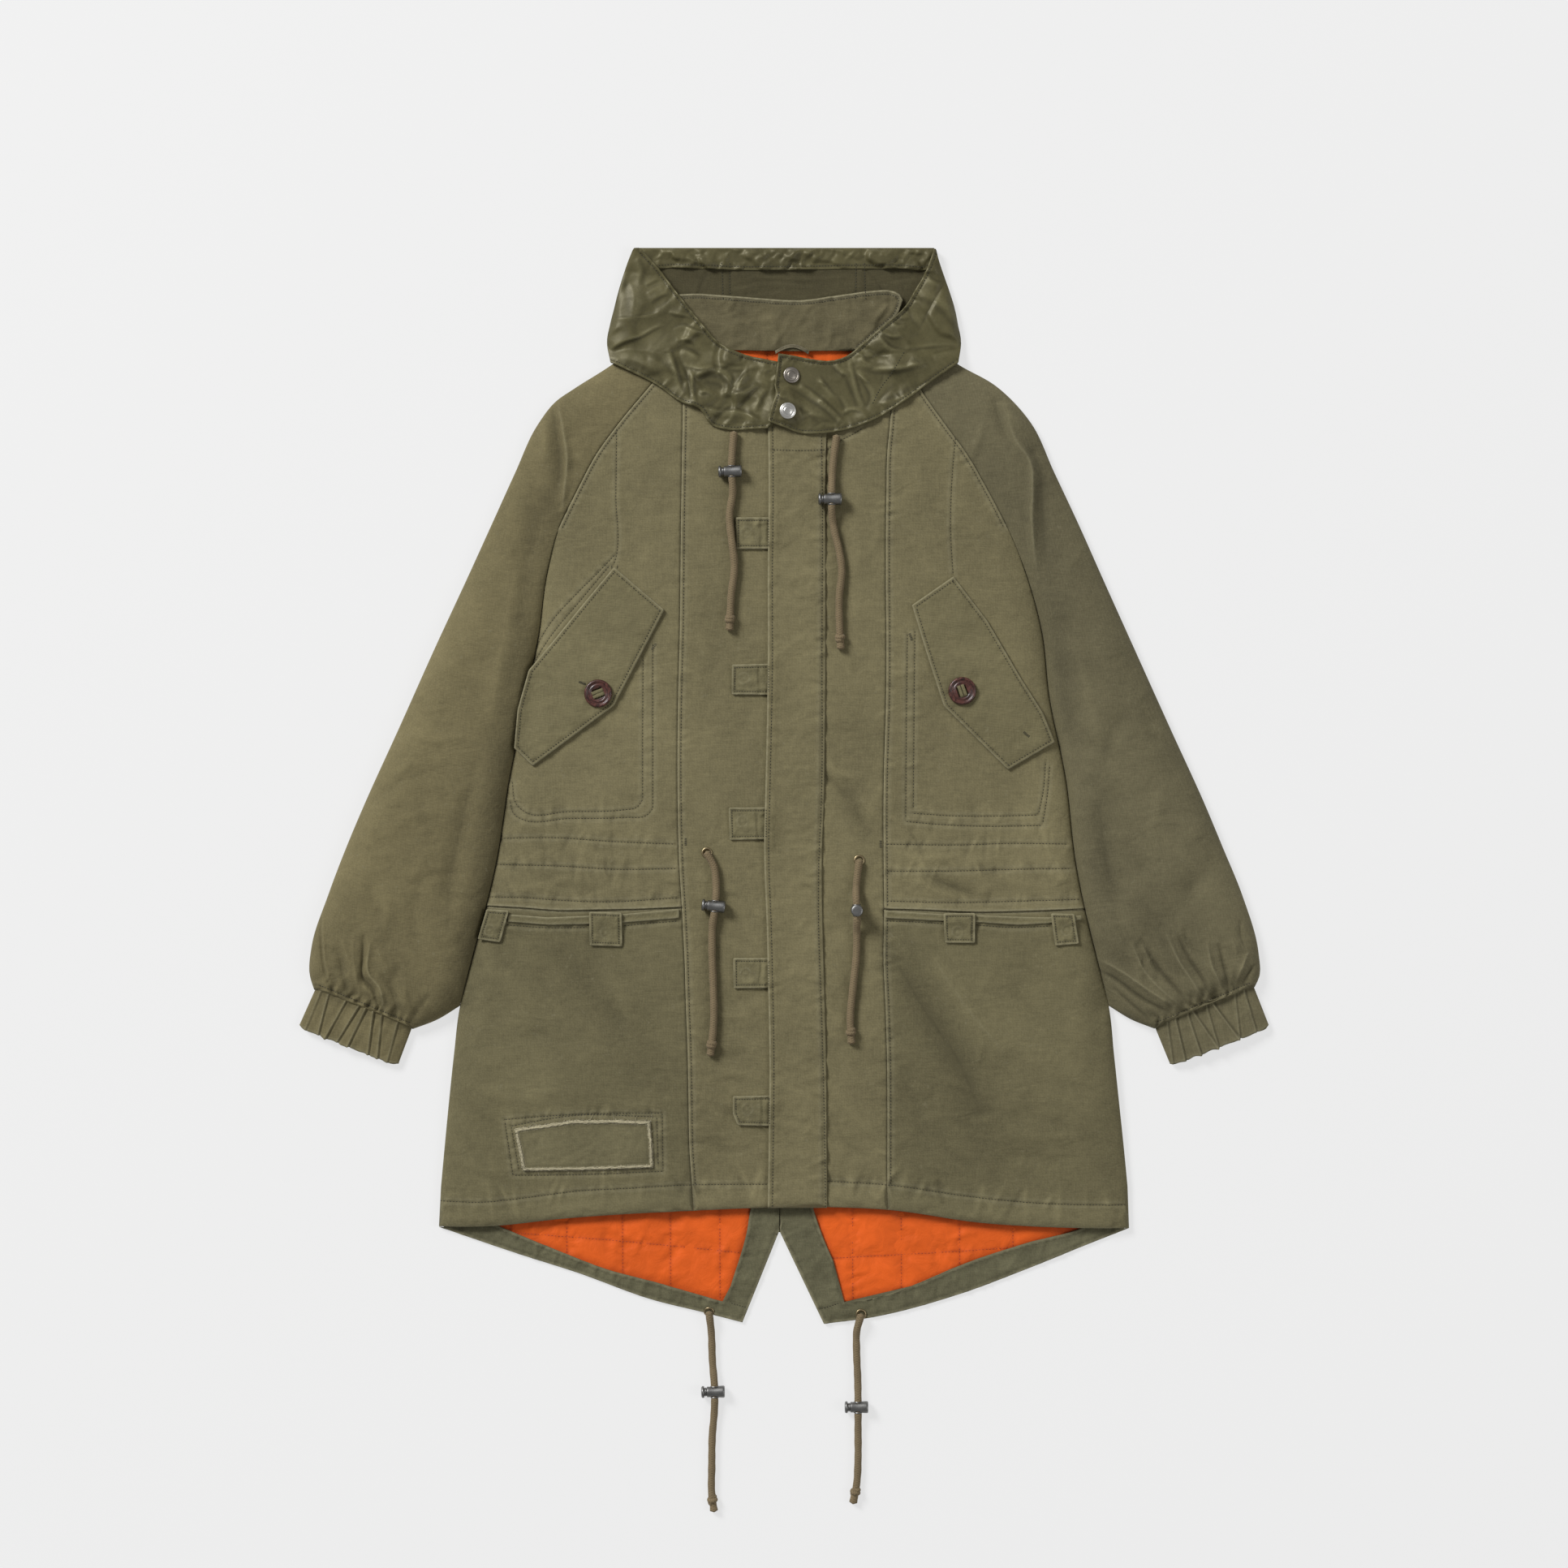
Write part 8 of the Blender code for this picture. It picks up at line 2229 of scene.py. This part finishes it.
def bed_of(u, v, reach, chart=None):
    """Mean height and slope of the cloth in a circle, in metres."""
    a = np.linspace(0, 2 * math.pi, 12, endpoint=False)
    us, vs = u + np.cos(a) * reach / PX, v + np.sin(a) * reach / PX
    z = np.array([ground_at(p, q)[0] for p, q in zip(us, vs)])
    x, y = (us - U0) * GRID, (V0 - vs) * GRID
    fit = np.linalg.lstsq(np.stack([x - x.mean(), y - y.mean(), np.ones(len(x))], 1), z, rcond=None)[0]
    return fit[2], Vector((-fit[0], -fit[1], 1)).normalized(), z.max()


BUTTON = ((5.0, 0.2), (12.6, 0.0), (13.7, 0.5), (14.1, 1.3), (14.05, 2.3), (13.6, 3.2), (12.9, 3.7), (12.1, 3.75), (11.5, 3.45), (11.1, 2.95), (10.5, 2.65), (9.7, 2.55), (9.2, 2.75), (8.9, 3.05),
          (8.3, 3.15), (7.8, 2.95), (7.3, 2.7), (6.2, 2.65), (5.5, 2.55), (5.0, 2.2))
for name, (u, v, angle) in BUTTONS.items():
    ob = turned_piece(name + "_look", BUTTON, 64, HORN, name, square=((0, 0.9), (17, 0.55), (18, 0.85), (19, 0.9)))
    z, n, high = bed_of(u, v, 12.0)
    ob.location = ((u - U0) * GRID, (V0 - v) * GRID, z + 0.0004)
    turn = n.to_track_quat("Z", "Y").to_matrix() @ Matrix.Rotation(math.radians(angle), 3, "Z")
    ob.rotation_euler = turn.to_euler()
    bpy.context.view_layer.update()
    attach(ob, "root")
    # the tape that holds it: two bars over the square opening
    verts, faces = [], []
    for off in (-1.95, 1.95):
        rows = []
        for s in np.linspace(-1, 1, 15):
            x = s * 6.9
            z = 1.1 + 2.55 * max(0.0, 1 - (abs(s) / 1.0) ** 6) * (1 - 0.0 * abs(s))
            ring = []
            for g in range(10):
                a = 2 * math.pi * g / 10
                ring.append((x, off + 1.62 * math.copysign(abs(math.cos(a)) ** 0.6, math.cos(a)), z + 0.5 * math.copysign(abs(math.sin(a)) ** 0.7, math.sin(a)) + 0.10 * math.sin(x * 2.2 + off)))
            rows.append(ring)
        base = len(verts)
        for ring in rows:
            verts += ring
        for k in range(len(rows) - 1):
            for g in range(10):
                h = (g + 1) % 10
                faces.append((base + 10 * k + g, base + 10 * k + h, base + 10 * (k + 1) + h, base + 10 * (k + 1) + g))
        faces.append(tuple(base + g for g in range(10)))
        faces.append(tuple(base + 10 * (len(rows) - 1) + g for g in reversed(range(10))))
    mesh = bpy.data.meshes.new(name + "_tape")
    mesh.from_pydata([tuple(c * MM for c in p) for p in verts], [], faces)
    mesh.update()
    mesh.shade_smooth()
    mesh.materials.append(TWILL_TAB)
    tape = bpy.data.objects.new(name + "_tape", mesh)
    scene.collection.objects.link(tape)
    tape.location = ob.location
    tape.rotation_euler = (n.to_track_quat("Z", "Y").to_matrix() @ Matrix.Rotation(math.radians(angle + (0 if "left" in name else 90)), 3, "Z")).to_euler()
    bpy.context.view_layer.update()
    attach(tape, "root")

SNAP = ((0, -0.6), (6.6, -0.6), (7.9, -0.1), (8.4, 0.6), (8.35, 1.2), (7.95, 1.75), (7.3, 2.0), (6.6, 1.9), (6.1, 1.6), (5.7, 1.42), (4.2, 1.46), (3.9, 1.6), (3.6, 1.85), (3.0, 2.0), (1.6, 2.1), (0, 2.12))
for name, (u, v) in SNAPS.items():
    ob = turned_piece(name + "_look", SNAP, 56, STEEL_DARK if name == "snap_upper" else STEEL_PALE, name)
    z, n, high = bed_of(u, v, 7.0)
    ob.location = ((u - U0) * GRID, (V0 - v) * GRID, z + 0.0006)
    ob.rotation_euler = n.to_track_quat("Z", "Y").to_euler()
    bpy.context.view_layer.update()
    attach(ob, "root")

EYELET = ((2.7, -1.2), (3.2, -1.2), (5.2, -0.2), (5.6, 0.2), (5.55, 0.7), (5.1, 1.15), (4.4, 1.35), (3.7, 1.2), (3.1, 0.75), (2.75, 0.1))
for name, (u, v) in EYELETS.items():
    ob = turned_piece(f"eyelet_{name}_look", EYELET, 44, BRASS, f"eyelet_{name}")
    z, n, high = bed_of(u, v, 4.6)
    ob.location = ((u - U0) * GRID, (V0 - v) * GRID, z + 0.0003)
    ob.rotation_euler = n.to_track_quat("Z", "Y").to_euler()
    bpy.context.view_layer.update()
    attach(ob, "root")

# ------------------------------------------------------------------------- cords
LOCK = ((0, -12.0), (3.6, -12.0), (5.0, -11.8), (5.75, -11.3), (6.0, -10.6), (5.95, -9.7), (5.5, -9.1), (4.6, -8.9), (4.1, -8.7), (4.0, -8.1), (4.5, -7.9), (4.6, -7.5), (4.1, -7.2), (4.0, -6.6),
        (4.6, -6.4), (5.2, -6.1), (5.35, -5.4), (5.3, -4.0), (5.35, -1.0), (5.5, 2.0), (5.7, 5.0), (5.9, 7.6), (6.0, 9.4), (6.05, 10.4), (5.85, 11.2), (5.2, 11.7), (4.4, 11.6), (4.1, 11.3), (0, 11.2))
EYE = ((3.3, -0.5), (4.1, -0.5), (4.35, 0.0), (4.1, 0.5), (3.3, 0.5), (3.15, 0.0))


def route_of(points, step=1.0):
    p = np.array(points, float)
    fine = curve(points, 0.4)
    run = np.concatenate([[0], np.cumsum(np.linalg.norm(np.diff(fine, axis=0), axis=1))]) * PX
    n = int(run[-1] / step) + 1
    s = np.linspace(0, run[-1], n)
    uv = np.stack([np.interp(s, run, fine[:, k]) for k in (0, 1)], 1)
    marks = [run[int(np.argmin(np.hypot(fine[:, 0] - a, fine[:, 1] - b)))] for a, b in p]
    return uv, s, marks


def sweep(centres, radius, sides, s, closed_ends=True):
    """A tube along a line of points, with braid attributes."""
    c = np.asarray(centres, float)
    t = np.gradient(c, axis=0)
    t /= np.linalg.norm(t, axis=1)[:, None]
    side = np.cross(t, (0, 0, 1.0))
    bad = np.linalg.norm(side, axis=1) < 0.05
    side[bad] = (1, 0, 0)
    side /= np.linalg.norm(side, axis=1)[:, None]
    for k in range(1, len(side)):  # carry the frame on, so that it does not spin
        q = side[k - 1] - t[k] * np.dot(side[k - 1], t[k])
        side[k] = q / max(np.linalg.norm(q), 1e-9)
    up = np.cross(side, t)
    a = 2 * math.pi * np.arange(sides) / sides
    ring = side[:, None, :] * np.cos(a)[None, :, None] + up[:, None, :] * np.sin(a)[None, :, None]
    verts = c[:, None, :] + ring * np.asarray(radius)[:, None, None]
    m = len(c)
    verts = verts.reshape(-1, 3)
    i = np.arange(sides)
    j = (i + 1) % sides
    quads = np.concatenate([np.stack([k * sides + i, k * sides + j, (k + 1) * sides + j, (k + 1) * sides + i], 1) for k in range(m - 1)])
    first, last = len(verts), len(verts) + 1
    verts = np.concatenate([verts, c[:1] - t[:1] * np.asarray(radius)[0] * 0.5, c[-1:] + t[-1:] * np.asarray(radius)[-1] * 0.5])
    caps = np.concatenate([np.stack([np.full(sides, first), j, i], 1), np.stack([np.full(sides, last), (m - 1) * sides + i, (m - 1) * sides + j], 1)])
    along = np.concatenate([np.repeat(s, sides), [s[0], s[-1]]])
    turn = np.concatenate([np.tile(i / sides, m), [0, 0]])
    return verts, quads, caps, along, turn


CORD_LENGTHS = {}
CORD_LOOK = 7.4
for key, spec in CORDS.items():
    uv, s, marks = route_of(spec["route"])
    at_lock = marks[spec["lock"]]
    u, v = uv[:, 0], uv[:, 1]
    chart = CHART_FRONT if key.startswith("hood") else CHART
    r = CORD_LOOK / 2
    bed = chart_read(u, v, 2, 1, chart)
    bed = np.where(bed > 0.5, bed + 0.15, 0.1)
    need = bed + r
    wide = 7
    big = np.array([need[max(0, i - wide) : i + wide + 1].max() for i in range(len(need))])
    k = np.exp(-0.5 * (np.arange(-14, 15) / 5.5) ** 2)
    k /= k.sum()
    z = np.convolve(np.pad(big, 14, mode="edge"), k, mode="valid")
    lo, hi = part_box(f"cord_lock_{key}")
    mid = (lo + hi) / 2
    hold = max(mid.z / MM, 0)
    lock_bed = max(chart_read(np.array([np.interp(at_lock + d, s, u)]), np.array([np.interp(at_lock + d, s, v)]), 3 if not spec["stand"] else 2, 1, chart)[0] for d in (-4, 0, 4))
    half_high = LOCK_R if not spec["stand"] else LOCK_LONG / 2 - 1.0
    hold = max(hold - (1.5 if spec["stand"] else 0), (lock_bed if lock_bed > 0.5 else 0) + half_high + 0.1)
    share = 1 - ease(7, 26, np.abs(s - at_lock))
    z = np.maximum(z, z + (hold - z) * share)
    rng = np.random.RandomState(len(key) + int(s[-1]))
    length = s[-1]
    radius = np.interp(s, (0, length - 4, length - 2, length), (1, 1, 1.06, 1.12)) * r * (1 + 0.025 * np.sin(s * 0.45 + rng.uniform(0, 6)) + 0.02 * np.sin(s * 0.21))
    # flattened a little where the lock grips
    radius *= 1 - 0.12 * np.exp(-(((s - at_lock) / 5.0) ** 2))
    centres = metres(u, v, z)
    run3 = np.concatenate([[0], np.cumsum(np.linalg.norm(np.diff(centres, axis=0), axis=1))])
    verts, quads, caps, along, turn = sweep(centres, radius * MM, 18, run3 / MM)
    name = f"cord_{key}_look"
    cord_ob = build(name, verts, [quads, caps], CORD, dict(along=along, turn=turn))
    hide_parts(f"cord_{key}")
    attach(cord_ob, "root")
    # the knot: the cord's own end taken round itself twice
    tpos = length - 11
    c0 = np.array([np.interp(tpos, s, centres[:, q]) for q in range(3)])
    c1 = np.array([np.interp(tpos + 2, s, centres[:, q]) for q in range(3)])
    t = (c1 - c0) / np.linalg.norm(c1 - c0)
    side = np.cross(t, (0, 0, 1.0))
    side /= np.linalg.norm(side)
    up = np.cross(side, t)
    q = np.linspace(0, 1, 64)
    ang = q * 2 * math.pi * 1.9 + rng.uniform(0, 6)
    rr = (1.9 + 1.3 * np.sin(np.pi * q) ** 0.5) * MM
    lean = (q - 0.5) * 5.6 * MM + 0.9 * MM * np.sin(ang + 0.6)
    knot_c = c0 + t * lean[:, None] + (side * np.cos(ang)[:, None] + up * np.sin(ang)[:, None]) * rr[:, None]
    knot_c[:, 2] = np.maximum(knot_c[:, 2] + 0.5 * MM, 2.6 * MM + np.interp(0, [0], [0]))
    kv, kq, kc, ka, kt = sweep(knot_c, np.interp(q, (0, 0.08, 0.92, 1), (0.5, 1, 1, 0.5)) * 2.35 * MM, 14, q * 62)
    knot_ob = build(f"knot_{key}", kv, [kq, kc], CORD, dict(along=ka, turn=kt))
    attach(knot_ob, "root")
    # the lock
    lock_ob = turned_piece(f"cord_lock_{key}_look", LOCK, 48, GUNMETAL, f"cord_lock_{key}")
    a = np.array([np.interp(at_lock - 6, s, centres[:, q]) for q in range(3)])
    b = np.array([np.interp(at_lock + 6, s, centres[:, q]) for q in range(3)])
    hole = Vector((a - b) / np.linalg.norm(a - b))
    axis = Vector((0, 0, -1)) if spec["stand"] else hole.cross(Vector((0, 0, 1))).normalized()
    axis = (axis - hole * axis.dot(hole)).normalized()
    third = axis.cross(hole)
    # Z of the lathe along the barrel
    turn_m = Matrix((hole, third, axis)).transposed()
    centre = Vector((a + b) / 2) - axis * 0.0015
    lock_ob.matrix_world = Matrix.Translation(centre) @ turn_m.to_4x4()
    bpy.context.view_layer.update()
    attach(lock_ob, "root")
    for sign in (-1, 1):
        eye = turned_piece(f"lock_eye_{key}_{'a' if sign < 0 else 'b'}", EYE, 28, GUNMETAL)
        z_axis = hole * sign
        eye.matrix_world = Matrix.Translation(centre + axis * 0.0015 + hole * sign * 0.0054) @ z_axis.to_track_quat("Z", "Y").to_matrix().to_4x4()
        bpy.context.view_layer.update()
        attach(eye, "root")
    CORD_LENGTHS[key] = round(float(run3[-1]), 4)
print("cord lengths", CORD_LENGTHS)

# --------------------------------------------------------------- every sheet named
ON = {name: spec["rests"] for name, spec in PIECES.items()}
print("sheets", {n: (tuple(round(x, 3) for x in p["flat"]), None if p["area"] is None else round(p["area"], 4)) for n, p in PIECES.items()})
